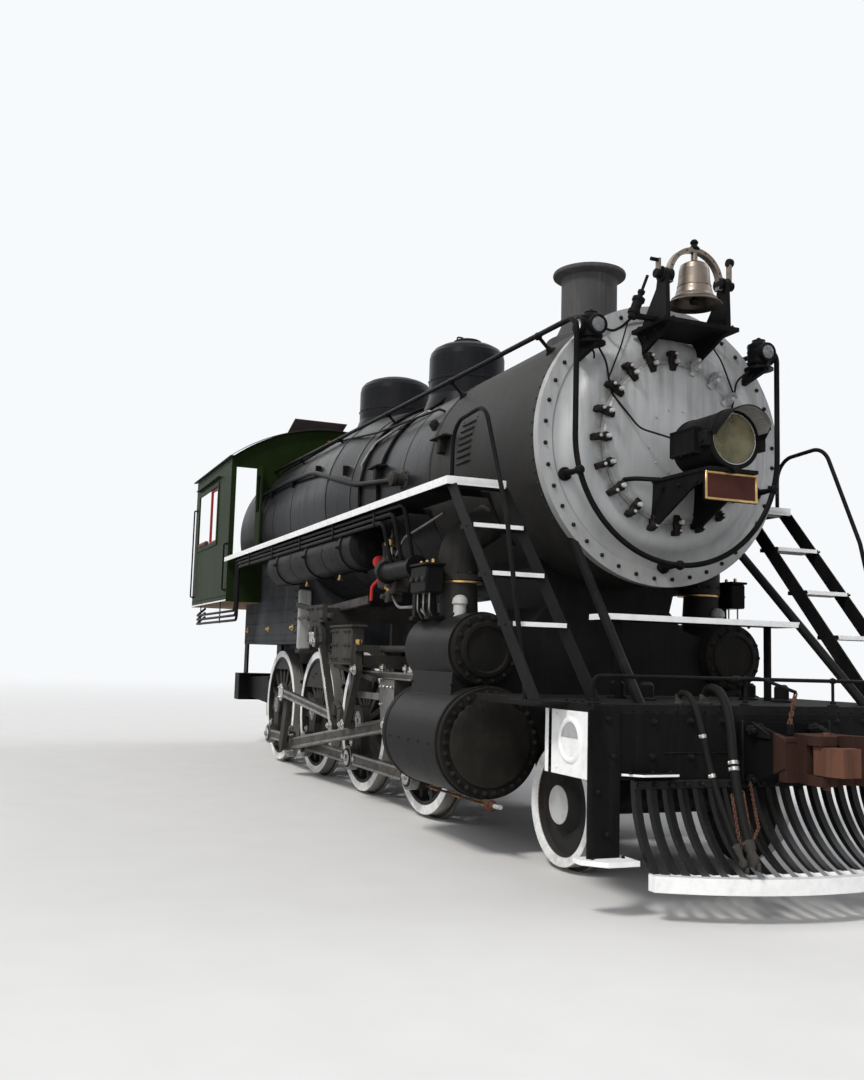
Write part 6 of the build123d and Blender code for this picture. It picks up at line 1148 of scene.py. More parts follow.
RELIEF_VALVE = [(0.05, 0), (0.05, 0.1), (0.062, 0.11), (0.056, 0.15), (0.03, 0.175), (0, 0.18)]
PIPE_FOOT_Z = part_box("steam_pipes")[0].z + 0.02
for side in SIDES:
    y = side * ROD_LINE
    heads = Shape("cylinder_fasteners_" + side_name(side), head_iron, slot="cast_iron_grey")
    front, back = (HEAD_FACE_X, y, CYLINDER_Z), (HEAD_BACK_X, y, CYLINDER_Z)
    heads.nuts(ring_of(front, 0.362, 30), FORWARD, 0.021, 0.019, 0.012)
    heads.lathe(front, FORWARD, HEAD_RIM, 72, caps=False)
    heads.use(brushed_head).lathe(front, FORWARD, HEAD_COVER, 72)
    heads.use(head_iron)
    heads.nuts(ring_of(back, 0.35, 24, start=7.5), BACKWARD, 0.02, 0.018, 0.014)
    heads.lathe(back, BACKWARD, GLAND, 36, caps=False)
    gland_face = (HEAD_BACK_X - 0.025, y, CYLINDER_Z)
    heads.nuts(ring_of(gland_face, 0.122, 6, start=30), BACKWARD, 0.018, 0.02, 0.02)
    heads.lathe((VALVE_FACE_X, y, VALVE_Z), FORWARD, VALVE_COVER, 56)
    heads.nuts(ring_of((VALVE_FACE_X + 0.009, y, VALVE_Z), 0.236, 14), FORWARD, 0.019, 0.018, 0.012)
    heads.nuts(ring_of((VALVE_BACK_X, y, VALVE_Z), 0.236, 12), BACKWARD, 0.018, 0.016, 0.012)
    valve_gland = [(0.12, 0), (0.12, 0.02), (0.07, 0.03), (0.07, 0.12)]
    heads.lathe((VALVE_BACK_X, y, VALVE_Z), BACKWARD, valve_gland, 28)
    for x in (2.975, 4.024):
        heads.hoop((x, y, CYLINDER_Z), FORWARD, JACKET_RADIUS, JACKET_RADIUS + 0.005, 0.014, 72)
    outside = side * (ROD_LINE + JACKET_RADIUS - 0.001)
    heads.rivets(spread(spaced(3.1, 3.9, 5), outside, CYLINDER_Z - 0.02), (0, side, 0), 0.01)
    heads.nuts(spread([3.1, 3.9], side * 1.345, [1.24, 1.76]), (0, side, 0), 0.014, 0.012, 0.006)
    heads.make()
    cocks = Shape("cylinder_cocks_" + side_name(side), brass, slot="bell_bronze")
    foot_z = CYLINDER_Z - JACKET_RADIUS
    for x in (3.05, 3.5, 3.95):
        cock = [(0.02, 0), (0.02, 0.02), (0.03, 0.026), (0.03, 0.05), (0.014, 0.06)]
        cocks.lathe((x, y, foot_z + 0.01), DOWNWARD, cock, 12)
        cocks.rod((x - 0.02, y, foot_z - 0.04), (x + 0.07, y, foot_z - 0.04), 0.011, 10)
        cocks.nut((x + 0.07, y, foot_z - 0.04), FORWARD, 0.017, 0.018)
    cocks.use(rust_iron).rod((3.0, y + side * 0.035, 0.395), (4.16, y + side * 0.035, 0.395), 0.009, 10)
    muffler = [(0.03, 0), (0.045, 0.012), (0.045, 0.05), (0.024, 0.06), (0.024, 0.1)]
    cocks.lathe((4.1, y, 0.385), FORWARD, muffler, 16)
    cocks.use(pale_grey).rod((4.2, y, 0.39), (4.3, y, 0.395), 0.016, 12)
    cocks.make()
    feet = Shape("steam_pipe_flanges_" + side_name(side), smokebox_paint, slot="smokebox_paint")
    flange = [(0.15, 0), (0.185, 0.004), (0.185, 0.05), (0.15, 0.054)]
    feet.lathe((STACK_X, y, PIPE_FOOT_Z + 0.28), UPWARD, flange, 40)
    feet.nuts(ring_of((STACK_X, y, PIPE_FOOT_Z + 0.334), 0.167, 10, "z"), UPWARD, 0.015, 0.014, 0.01)
    gasket = [(0.15, 0), (0.18, 0.003), (0.18, 0.018)]
    feet.use(brass).lathe((STACK_X, y, PIPE_FOOT_Z + 0.26), UPWARD, gasket, 40)
    feet.use(pale_grey).lathe((3.68, side * 1.2, 1.74), UPWARD, RELIEF_VALVE, 20)
    feet.make()

# buffer beam, its ends and the steps
BEAM_X = 5.886
BEAM_END_Y = 1.327
DECK_Z = 1.193
HANGER_PLATE_X = 5.898
POCKET_FACE_X = 5.93
POLING_X = 5.629
BEAM_BOLTS = ((0.915, 1.093), (0.927, 0.892), (0.66, 1.1), (0.66, 0.89), (0.53, 0.79), (0.44, 1.1))
HANGER_BOLTS = ((1.236, 1.108), (1.2, 0.9), (1.238, 0.462), (1.3, 0.7))
POCKET_BOLTS = ((0.27, 1.05), (0.27, 0.76), (0.2, 1.06), (0.2, 0.745))
beam = Shape("beam_fasteners", frame_black)
for side in SIDES:
    for y, z in BEAM_BOLTS:
        beam.lathe((BEAM_X, side * y, z), FORWARD, [(0.026, 0), (0.026, 0.004), (0.02, 0.005)], 16)
        beam.nut((BEAM_X + 0.004, side * y, z), FORWARD, 0.018, 0.016, 0.012)
    beam.nuts([(HANGER_PLATE_X, side * y, z) for y, z in HANGER_BOLTS], FORWARD, 0.017, 0.015, 0.01)
    beam.rivets([(BEAM_X - 0.001, side * y, 1.158) for y in spaced(0.36, 1.26, 10)], FORWARD, 0.011)
    beam.box((BEAM_X + 0.003, side * 0.6, 0.915), (0.006, 0.5, 0.008), 0.002)
    beam.nuts(spread(spaced(5.46, 5.84, 5), side * 1.26, DECK_Z), UPWARD, 0.013, 0.01, 0.004)
    step_bolts = [(5.93, side * y, 0.8) for y in (0.83, 0.95, 1.1)]
    step_bolts += [(5.905, side * y, 0.33) for y in (1.13, 1.33)]
    beam.nuts(step_bolts, UPWARD, 0.012, 0.01, 0.004)
    beam.box((5.386, side * 1.318, 0.94), (0.05, 0.014, 0.022), 0.003)
beam.make()
poling = Shape("poling_pockets", white_paint)
for side in SIDES:
    rim = [(0.1, 0.001), (0.112, 0.012), (0.122, 0.014), (0.134, 0.008), (0.142, -0.001)]
    poling.lathe((POLING_X, side * BEAM_END_Y, 0.97), (0, side, 0), rim, 56, caps=False)
    # a flat grey half-disc over the upper half of each pocket is painted shadow of a recess under its rounded
    # top
    upper = []
    for angle in spaced(0, math.pi, 17):
        upper.append((POLING_X + 0.101 * math.cos(angle), 0.985 + 0.09 * math.sin(angle)))
    poling.use(pocket_shadow_grey).plate(upper, side * (BEAM_END_Y + 0.0015), side * 0.002)
    poling.use(white_paint)
    poling.rivets(spread([5.47, 5.85], side * BEAM_END_Y, [0.8, 1.11]), (0, side, 0), 0.011)
poling.make()
draft = Shape("coupler_pocket_fasteners", frame_black)
for side in SIDES:
    draft.nuts([(POCKET_FACE_X, side * y, z) for y, z in POCKET_BOLTS], FORWARD, 0.034, 0.03, 0.028)
    back, front = POCKET_FACE_X - 0.01, POCKET_FACE_X + 0.15
    draft.plate([(back, 1.1), (front, 1.035), (front, 1.01), (back, 1.01)], side * 0.235 - 0.009, 0.018)
    draft.box((POCKET_FACE_X + 0.01, side * 0.33, 0.93), (0.03, 0.016, 0.36), 0.004)
draft.rod((6.09, -0.1, 1.03), (6.09, -0.1, 1.1), 0.024, 16, 0.004)
draft.use(rust_iron)
draft.link_chain([(6.053, -0.022, 1.276), (6.07, -0.06, 1.19), (6.09, -0.1, 1.1)], 0.021, 0.0055)
draft.tube([(6.075, -0.1, 1.095), (6.09, -0.1, 1.135), (6.105, -0.1, 1.095)], 0.007, 0.03, 8)
hose_chain = [(5.95, -0.28, 0.75), (6.05, -0.33, 0.62), (6.2, -0.42, 0.52), (6.3, -0.57, 0.42)]
draft.link_chain(hose_chain, 0.014, 0.0035)
draft.make()
PILOT_RAIL_Z = 0.735
PILOT_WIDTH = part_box("pilot")[1].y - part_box("pilot")[0].y
cow = Shape("pilot_top_rail", pilot_black)
outer = PILOT_WIDTH / 2 - 0.022
cow.nuts(spread(BEAM_X + 0.028, spaced(-outer, outer, 20), PILOT_RAIL_Z), FORWARD, 0.016, 0.014, 0.01)
cow.box((BEAM_X + 0.012, 0, PILOT_RAIL_Z), (0.024, PILOT_WIDTH, 0.05), 0.005)
cow.make()
RAIL_X, RAIL_Z, RAIL_HALF = 5.85, 1.353, 1.307
RAIL_POSTS = (-0.233, 0.45)
hand = Shape("deck_rail", frame_black)
corners = ((-RAIL_HALF, DECK_Z), (-RAIL_HALF, RAIL_Z), (RAIL_HALF, RAIL_Z), (RAIL_HALF, DECK_Z))
hand.tube([(RAIL_X, y, z) for y, z in corners], 0.012, 0.06, 12)
for y in RAIL_POSTS:
    hand.rod((RAIL_X, y, DECK_Z), (RAIL_X, y, RAIL_Z), 0.01, 12)
    ball = [(0.0, -0.022), (0.018, -0.014), (0.022, 0), (0.018, 0.014), (0, 0.022)]
    hand.lathe((RAIL_X, y, DECK_Z + 0.16), UPWARD, ball, 14)
hand.tube([(RAIL_X, -0.3, RAIL_Z), (5.95, -0.2, 1.362), (6.056, -0.02, 1.283)], 0.011, 0.04, 10)
for y in (-RAIL_HALF, *RAIL_POSTS, RAIL_HALF):
    hand.lathe((RAIL_X, y, DECK_Z), UPWARD, [(0.035, 0), (0.035, 0.008), (0.02, 0.014), (0.018, 0.03)], 16)
hand.rod((RAIL_X, -0.33, RAIL_Z), (RAIL_X, -0.27, RAIL_Z), 0.019, 16, 0.004)
for at in spread([4.9, 5.25], [-0.55, 0.55], DECK_Z):
    hand.lathe(at, UPWARD, [(0.07, 0), (0.07, 0.012), (0.05, 0.02), (0.05, 0.1), (0.03, 0.12)], 20)
hand.make()

# running gear
CRANK = 0.381
MAIN_WHEEL = 2
WRIST_X = {-1: 2.0859, 1: 2.496}
ROD_FACE, MAIN_FACE = 0.97, 1.16


def pin_place(side, number):
    """Crank pin of a driver: right pins hang down, left pins stand forward."""
    if side < 0:
        return AXLE_X[number], AXLE_Z - CRANK
    return AXLE_X[number] + CRANK, AXLE_Z


def fluted(shape, start, end, height):
    """Bright edges and a darker hollow along a rod's outer face; the hollow's dark steel is grime and painted
    shade of the flute.
    """
    turn = turn_onto(end - start)
    length = (end - start).length
    middle = (start + end) / 2
    across = turn @ Vector(UPWARD)
    shape.use(rod_steel)
    for edge in SIDES:
        shape.box(middle + across * edge * (height / 2 - 0.013), (length, 0.016, 0.026), 0.004, turn)
    shape.use(dull_steel_and_flute_shade).box(middle, (length - 0.01, 0.004, height - 0.05), 0.001, turn)


def oil_cup(shape, at):
    """Small cup with a screwed lid."""
    cup = [(0.016, -0.01), (0.016, 0.012), (0.028, 0.018), (0.028, 0.05), (0.02, 0.056), (0.0, 0.058)]
    shape.use(bright_steel).lathe(at, UPWARD, cup, 14)
    shape.use(brass).nut(Vector(at) + Vector((0, 0, 0.056)), UPWARD, 0.011, 0.012)


def side_rod_trim(side):
    name, out, y = side_name(side), (0, side, 0), side * ROD_FACE
    rods = Shape("side_rod_trim_" + name, rod_steel, "side_rod_" + name, "rod_steel")
    pins = [pin_place(side, number) for number in range(len(AXLE_X))]
    for number, (x, z) in enumerate(pins):
        eye = 0.15 if number == MAIN_WHEEL else 0.125
        if number + 1 < len(pins):
            next_x, next_z = pins[number + 1]
            fluted(rods, Vector((x - eye - 0.03, y, z)), Vector((next_x + 0.18, y, next_z)), 0.12)
        oil_cup(rods, (x, side * 0.928, z + eye))
        rods.use(rod_steel)
        rods.lathe((x, y, z), out, [(eye - 0.012, 0), (eye - 0.018, 0.004), (0.1, 0.004)], 40, caps=False)
        rods.use(bright_steel)
        if number != MAIN_WHEEL:
            rods.lathe((x, side * 0.984, z), out, [(0.08, 0), (0.078, 0.006), (0.05, 0.009), (0, 0.009)], 32)
            rods.nut((x, side * 0.992, z), out, 0.04, 0.02, 0.01)
        if 0 < number < len(pins) - 1:
            for pin_x in (x - eye - 0.055, x + eye + 0.055):
                rods.lathe((pin_x, y, z), out, [(0.03, 0), (0.03, 0.008), (0.02, 0.012)], 20)
    rods.make()


def main_rod_trim(side, wrist_x):
    name, out = side_name(side), (0, side, 0)
    big_x, big_z = pin_place(side, MAIN_WHEEL)
    big = Vector((big_x, side * MAIN_FACE, big_z))
    small = Vector((wrist_x, side * MAIN_FACE, CYLINDER_Z))
    run = (small - big).normalized()
    turn = turn_onto(run)
    connecting = Shape("main_rod_trim_" + name, rod_steel, "main_rod_" + name, "rod_steel")
    fluted(connecting, big + run * 0.2, small - run * 0.13, 0.12)
    connecting.use(rod_steel)
    for edge in (-0.093, 0.093):
        connecting.box(big + turn @ Vector((0.09, 0, edge)), (0.33, 0.012, 0.036), 0.005, turn)
        bolts = [big + turn @ Vector((step, side * 0.006, edge)) for step in (0.05, 0.13, 0.21)]
        connecting.nuts(bolts, out, 0.013, 0.012, 0.006)
    connecting.lathe(big, out, [(0.12, 0), (0.12, 0.006), (0.085, 0.01), (0.085, 0.0)], 40, caps=False)
    oil_cup(connecting, big + Vector((0, -side * 0.04, 0.15)))
    oil_cup(connecting, (wrist_x, side * ROD_LINE, CYLINDER_Z + 0.088))
    connecting.make()


def crosshead_fasteners(side, wrist_x):
    name, out = side_name(side), (0, side, 0)
    slide = Shape("crosshead_fasteners_" + name, bright_steel, "crosshead_" + name, "rod_steel")
    collar = [(0.07, 0), (0.07, 0.01), (0.045, 0.014), (0.045, 0.02)]
    slide.lathe((wrist_x, side * 1.195, CYLINDER_Z), out, collar, 32)
    slide.nut((wrist_x, side * 1.212, CYLINDER_Z), out, 0.038, 0.022)
    upper = [wrist_x + along for along in (-0.14, -0.05, 0.05, 0.14)]
    slide.nuts(spread(upper, side * 1.2, 1.16), out, 0.015, 0.014, 0.008)
    slide.nuts(spread([wrist_x - 0.15, wrist_x + 0.15], side * 1.195, 1.0), out, 0.014, 0.012, 0.006)
    slide.make()


def guide_fasteners(side):
    bars = Shape("guide_fasteners_" + side_name(side), head_iron, slot="rod_steel")
    top = spread([1.22, 1.3, 1.38, 2.7, 2.78, 2.86], side * ROD_LINE, 1.295)
    bars.nuts(top, UPWARD, 0.018, 0.018, 0.012)
    bars.nuts(spread(1.155, side * 1.2, [1.05, 1.15, 1.25, 1.37]), BACKWARD, 0.017, 0.015, 0.01)
    for x in (1.75, 2.35):
        oil_cup(bars, (x, side * ROD_LINE, 1.295))
    bars.use(dull_steel_and_flute_shade).box((2.05, side * 1.197, 1.2625), (1.62, 0.006, 0.034), 0.002)
    bars.make()


for side in SIDES:
    side_rod_trim(side)
    main_rod_trim(side, WRIST_X[side])
    crosshead_fasteners(side, WRIST_X[side])
    guide_fasteners(side)
AXLE_END = [(0.1, 0), (0.1, 0.004), (0.094, 0.006), (0.03, 0.006), (0.018, -0.006), (0.0, -0.01)]
for number, axle_x in enumerate(AXLE_X):
    body = f"driver_{number + 1}"
    hubs = Shape("hub_trim_" + body, head_iron, body, "wheel_black")
    for side in SIDES:
        out = (0, side, 0)
        hubs.use(rod_steel).lathe((axle_x, side * 0.868, AXLE_Z), out, AXLE_END, 36)
        hubs.use(head_iron)
        hubs.rivets(ring_of((axle_x, side * 0.874, AXLE_Z), 0.068, 4, "y", 45), out, 0.008)
        x, z = pin_place(side, number)
        weight = Vector((axle_x - x, 0, AXLE_Z - z)) * 1.22
        for lean in (-28, -14, 14, 28):
            at = Matrix.Rotation(math.radians(lean), 3, "Y") @ weight
            hubs.rivets([(axle_x + at.x, side * 0.8065, AXLE_Z + at.z)], out, 0.015)
    hubs.make()
SPRING_Y, SPRING_REACH = 0.53, 0.48
LEAF_PITCH, LEAF_THICKNESS = 0.015, 0.0135
springs = Shape("springs_and_equalizers", frame_black)
for side, x in itertools.product(SIDES, AXLE_X):
    y = side * SPRING_Y
    for leaf in range(9):
        leaf_size = (1.0 - leaf * 0.09, 0.11, LEAF_THICKNESS)
        springs.box((x, y, 1.165 + leaf * LEAF_PITCH), leaf_size, 0.002)
    springs.box((x, y, 1.23), (0.1, 0.13, 0.16), 0.008)
    for end_x in (x - SPRING_REACH, x + SPRING_REACH):
        springs.rod((end_x, y, 1.0), (end_x, y, 1.22), 0.018, 10)
        springs.nut((end_x, y, 1.172), UPWARD, 0.03, 0.03, 0.012)
springs.make()

# valve gear
GEAR_FACE, LINK_FACE, BRACKET_FACE = 1.31, 1.375, 1.425
ECCENTRIC = {-1: (-1.194, 0.985), 1: (-1.614, 0.942)}
HANGER_HEAD = (0.5, 1.56)
HANGER_FOOT = (1.01, 0.745)
GEAR_FRONT = (1.39, 0.78)
BELL_CRANK_FOOT = (1.7, 1.302)
BRACKET_BOLTS = ((0.27, 1.8), (0.27, 1.9), (0.4, 1.9), (0.6, 1.9), (0.73, 1.9), (0.73, 1.8))
CUP = [(0.035, -0.05), (0.055, -0.04), (0.055, 0.03), (0.062, 0.034), (0.062, 0.06), (0.03, 0.07)]


def facing(place, y):
    """Place on a face of the gear, from its (x, z)."""
    return Vector((place[0], y, place[1]))


for side in SIDES:
    out = (0, side, 0)
    gear = Shape("valve_gear_trim_" + side_name(side), rod_steel, slot="cast_iron_grey")
    start, end = facing(ECCENTRIC[side], side * GEAR_FACE), facing(GEAR_FRONT, side * GEAR_FACE)
    run = (end - start).normalized()
    fluted(gear, start + run * 0.13, end - run * 0.07, 0.09)
    gear.use(bright_steel)
    head, foot = (facing(place, side * (LINK_FACE + 0.004)) for place in (HANGER_HEAD, HANGER_FOOT))
    length = (foot - head).length - 0.1
    gear.box((head + foot) / 2, (length, 0.012, 0.05), 0.005, turn_onto(foot - head))
    gear.lathe(start, out, [(0.1, 0), (0.1, 0.008), (0.06, 0.014), (0.0, 0.014)], 36)
    around_pin = facing(ECCENTRIC[side], side * (GEAR_FACE + 0.008))
    gear.nuts(ring_of(around_pin, 0.08, 4, "y", 45), out, 0.014, 0.014, 0.008)
    pins = [facing(HANGER_HEAD, side * BRACKET_FACE)]
    pins += [facing(place, side * LINK_FACE) for place in (HANGER_FOOT, GEAR_FRONT, BELL_CRANK_FOOT)]
    for at in pins:
        gear.lathe(at, out, [(0.05, 0), (0.05, 0.01), (0.035, 0.014), (0.035, 0.02)], 24)
        gear.nut(at + Vector(out) * 0.018, out, 0.03, 0.02, 0.012)
    gear.lathe((0.42, side * 1.4, 1.6), UPWARD, CUP, 24)
    gear.use(cast_grey)
    gear.nuts([facing(place, side * BRACKET_FACE) for place in BRACKET_BOLTS], out, 0.017, 0.016, 0.012)
    for turn in (20, 45, 70, 90, 110, 135, 160):
        reach = Vector((math.cos(math.radians(turn)), 0, math.sin(math.radians(turn)))) * 0.22
        gear.rivets([facing(HANGER_HEAD, side * BRACKET_FACE) + reach], out, 0.012)
    gear.box((1.32, side * 1.33, 1.53), (0.62, 0.13, 0.34), 0.01)
    gear.nuts(spread([1.06, 1.18, 1.46, 1.58], side * 1.395, [1.4, 1.53, 1.66]), out, 0.019, 0.018, 0.014)
    for z in (1.71, 1.355):
        gear.box((1.32, side * 1.33, z), (0.7, 0.16, 0.022), 0.004)
    gear.box((0.2, side * 1.35, 1.9), (1.3, 0.06, 0.05), 0.006, Matrix.Rotation(0.12, 3, "Y"))
    gear.box((1.3, side * 1.25, 1.28), (1.2, 0.05, 0.045), 0.006, Matrix.Rotation(0.1, 3, "Y"))
    lean = Matrix.Rotation(-0.045, 3, "Y")
    gear.use(dull_steel_and_flute_shade).box((0.6, side * 1.16, 1.935), (1.65, 0.035, 0.09), 0.006, lean)
    gear.rod((-0.15, side * 1.16, 1.9), (-1.66, side * 1.0, 1.87), 0.022, 12, 0.004)
    y = side * 1.34
    gear.use(cast_grey).box((1.02, y, 0.9), (0.09, 0.05, 0.12), 0.01)
    gear.box((1.2, y, 0.84), (0.08, 0.05, 0.16), 0.01)
    gear.tube([(1.02, y, 0.95), (1.1, y, 0.975), (1.2, y, 0.91)], 0.03, 0.06, 10)
    oiler = [(0.02, 0), (0.03, 0.02), (0.03, 0.05), (0.0, 0.056)]
    gear.use(brass).lathe((1.7, side * 1.345, 1.53), UPWARD, oiler, 14)
    gear.make()


# firebox sides
FIREBOX_SIDE = 1.0
PLUG_ROWS = (
    # places along the firebox, height
    ([-1.95, -3.2, -4.45], 1.76), ([-2.4, -3.3, -4.2], 2.88),
)
stays = Shape("firebox_staybolts", firebox_grey, slot="firebox_grey")
for side in SIDES:
    out, y = (0, side, 0), side * (FIREBOX_SIDE - 0.001)
    stays.rivets(spread(spaced(-1.9, -4.5, 18), y, spaced(1.68, 2.96, 9)), out, 0.0145)
    stays.rivets(spread(spaced(-1.78, -4.6, 26), y, 1.6), out, 0.017)
    corner = spread([-1.772, -1.835], side * FIREBOX_SIDE, spaced(1.7, 2.3, 8))
    stays.nuts(corner, out, 0.015, 0.014, 0.01)
for side in SIDES:
    out, y = (0, side, 0), side * FIREBOX_SIDE
    stays.use(pale_grey).box((-1.69, side * 0.93, 1.86), (0.075, 0.16, 0.74), 0.02)
    stays.use(cast_grey).box((-1.72, side * 0.9, 1.47), (0.2, 0.2, 0.05), 0.01)
    stays.use(brass)
    for row, z in PLUG_ROWS:
        for at in spread(row, y, z):
            stays.lathe(at, out, [(0.04, 0), (0.04, 0.012), (0.03, 0.018)], 20)
            stays.nut(Vector(at) + Vector(out) * 0.016, out, 0.022, 0.028)
stays.make()

# valves, pipes and fittings along the boiler
SAND_DOME_X = 0.98
SAND_TOP_Z = 4.788
DOME_RINGS = (
    # place along the boiler, radius, height
    (SAND_DOME_X, 0.4, 4.34), (-1.18, 0.45, 4.44),
)
LID_HANDLE = ((0.05, 0), (0.05, 0.05), (0.12, 0.05), (0.12, 0))
SAFETY_VALVE = [
    (0.075, 0), (0.075, 0.05), (0.06, 0.06), (0.06, 0.2),
    (0.075, 0.21), (0.075, 0.24), (0.04, 0.26), (0.0, 0.27),
]
WHISTLE = [
    (0.02, 0), (0.02, 0.1), (0.05, 0.11), (0.05, 0.15), (0.02, 0.155),
    (0.042, 0.165), (0.042, 0.36), (0.02, 0.38), (0, 0.39),
]
fittings = Shape("boiler_fittings", jacket, slot="boiler_jacket")
for x, radius, z in DOME_RINGS:
    fittings.hoop((x, 0, z), UPWARD, radius - 0.004, radius + 0.004, 0.016, 64, 0.004)
    for at in ring_of((x, 0, z), radius + 0.003, 20, "z"):
        fittings.rivets([at], (at[0] - x, at[1], 0), 0.011)
lid = [(0.15, 0), (0.15, 0.02), (0.13, 0.03), (0.0, 0.034)]
fittings.lathe((SAND_DOME_X, 0, SAND_TOP_Z - 0.012), UPWARD, lid, 40)
for side in SIDES:
    fittings.tube([(SAND_DOME_X, side * y, SAND_TOP_Z + rise) for y, rise in LID_HANDLE], 0.009, 0.02, 8)
fittings.use(brass)
for side in SIDES:
    fittings.lathe((-1.95, side * 0.14, 4.26), UPWARD, SAFETY_VALVE, 24)
    fittings.nut((-1.95, side * 0.14, 4.31), UPWARD, 0.085, 0.04)
fittings.lathe((-2.5, 0.35, 4.2), UPWARD, WHISTLE, 20)
fittings.use(frame_black).box((-3.35, 0, 4.33), (0.34, 0.5, 0.12), 0.03)
for y in spaced(-0.2, 0.2, 5):
    fittings.use(frame_black).rod((-3.35, y, 4.38), (-3.35, y, 4.45), 0.02, 12)
    fittings.use(valve_red).lathe((-3.35, y, 4.45), UPWARD, [(0.03, 0), (0.04, 0.008), (0.03, 0.016)], 12)
fittings.make()


def on_boiler(x, angle, clear):
    """Place at an angle from straight up round the boiler, a clearance off its jacket."""
    share = min(1.0, max(0.0, (1.15 - x) / 1.55))
    radius = BARREL_RADIUS + BARREL_GROWTH * share + clear
    turn = math.radians(angle)
    return (x, radius * math.sin(turn), BOILER_Z + BARREL_RISE * share + radius * math.cos(turn))


def on_side(side, route):
    return [on_boiler(x, side * angle, clear) for x, angle, clear in route]


# each place: along the boiler, angle from straight up, clearance off the jacket
FEED_PIPE = (
    (1.9, 88, 0.06), (0.7, 84, 0.05), (0.0, 79, 0.05),
    (-0.9, 70, 0.05), (-2.2, 66, 0.05), (-3.6, 66, 0.05),
)
THIN_PIPE = ((2.36, 52, -0.02), (2.3, 52, 0.04), (0.6, 50, 0.04), (-1.0, 46, 0.04), (-3.6, 44, 0.04))
SILVER_PIPE = (
    (1.8, 44, -0.02), (1.77, 44, 0.03), (1.1, 47, 0.03),
    (0.75, 58, 0.03), (0.65, 72, 0.03), (0.64, 75, -0.02),
)
PIPE_CLIPS = ((0.2, 74, 0.02), (-0.9, 68, 0.02), (-2.0, 68, 0.02), (-3.1, 68, 0.02))
CHECK_VALVE = [(0.1, 0), (0.1, 0.02), (0.06, 0.03), (0.06, 0.1), (0.07, 0.11), (0.07, 0.15), (0.0, 0.17)]
plumbing = Shape("boiler_pipes", frame_black)
for side in SIDES:
    for x in (0.72, 1.22):
        sand_pipe = [(x, angle, 0.02) for angle in (26, 40, 55, 70, 85, 98, 109)]
        plumbing.tube([(x, side * 0.33, 4.1)] + on_side(side, sand_pipe), 0.019, 0.06, 10)
    plumbing.tube(on_side(side, FEED_PIPE), 0.028, 0.25, 12)
    plumbing.tube(on_side(side, THIN_PIPE), 0.012, 0.05, 8)
    for at in on_side(side, PIPE_CLIPS):
        plumbing.box(at, (0.03, 0.07, 0.11), 0.006)
plumbing.use(pipe_steel)
for side in SIDES:
    plumbing.tube(on_side(side, SILVER_PIPE), 0.014, 0.05, 10)
plumbing.use(cast_grey)
for side in SIDES:
    at = Vector(on_boiler(1.92, side * 88, 0.0))
    first, second, out = axes((0, at.y, at.z - BOILER_Z))
    plumbing.lathe(at - out * 0.02, out, CHECK_VALVE, 24)
    bolts = [at + (first * math.cos(turn) + second * math.sin(turn)) * 0.082 for turn in around(6)]
    plumbing.nuts(bolts, out, 0.014, 0.014, 0.008)
    plumbing.lathe(at + out * 0.06, BACKWARD, [(0.04, 0), (0.045, 0.04), (0.045, 0.1), (0.032, 0.12)], 20)
plumbing.make()

# cooling pipes under the running board, down before the cab and back below it
PIPE_Y = 1.5
PIPE_RADIUS = 0.018
PIPE_END_X = -5.9
VALVE_LINE_Y, VALVE_LINE_Z = 1.415, 2.145
LUBRICATOR_X = 3.52
PIPE_RUNS = (
    # front end, height under the board, drop before the cab, height under the cab
    (3.2, 2.66, -3.1, 1.99), (2.95, 2.612, -3.03, 1.925), (2.7, 2.564, -2.96, 1.86),
)
BRAKE_VALVE = [
    (0.06, 0.0), (0.098, 0.004), (0.098, 0.034), (0.075, 0.04),
    (0.075, 0.69), (0.098, 0.696), (0.098, 0.726), (0.06, 0.73),
]
cooling = Shape("air_pipes", frame_black)
for side in SIDES:
    y, valve_y = side * PIPE_Y, side * VALVE_LINE_Y
    for front_x, board_z, drop_x, cab_z in PIPE_RUNS:
        route = [(front_x, valve_y, 2.215), (front_x, y, board_z), (drop_x, y, board_z), (drop_x, y, cab_z)]
        route += [(PIPE_END_X, y, cab_z), (PIPE_END_X - 0.12, side * (PIPE_Y - 0.15), cab_z + 0.12)]
        cooling.tube(route, PIPE_RADIUS, 0.09, 12)
    for x in (2.508, 1.308, 0.108, -1.092, -2.292):
        cooling.box((x, y, 2.615), (0.026, 0.05, 0.15), 0.004)
        cooling.box((x, side * (PIPE_Y - 0.03), 2.68), (0.026, 0.016, 0.12), 0.003)
    for x in (-4.2, -5.7):
        cooling.box((x, side * (PIPE_Y - 0.022), 1.99), (0.026, 0.014, 0.3), 0.003)
    cooling.lathe((2.585, valve_y, VALVE_LINE_Z), FORWARD, BRAKE_VALVE, 32)
    cooling.box((LUBRICATOR_X, valve_y, 2.03), (0.33, 0.15, 0.21), 0.012)
    for x in (3.2, LUBRICATOR_X):
        cooling.box((x, side * (VALVE_LINE_Y - 0.045), 1.915), (0.07, 0.05, 0.33), 0.006)
        cooling.box((x, side * (VALVE_LINE_Y - 0.12), 1.74), (0.09, 0.24, 0.03), 0.005)
cooling.make()

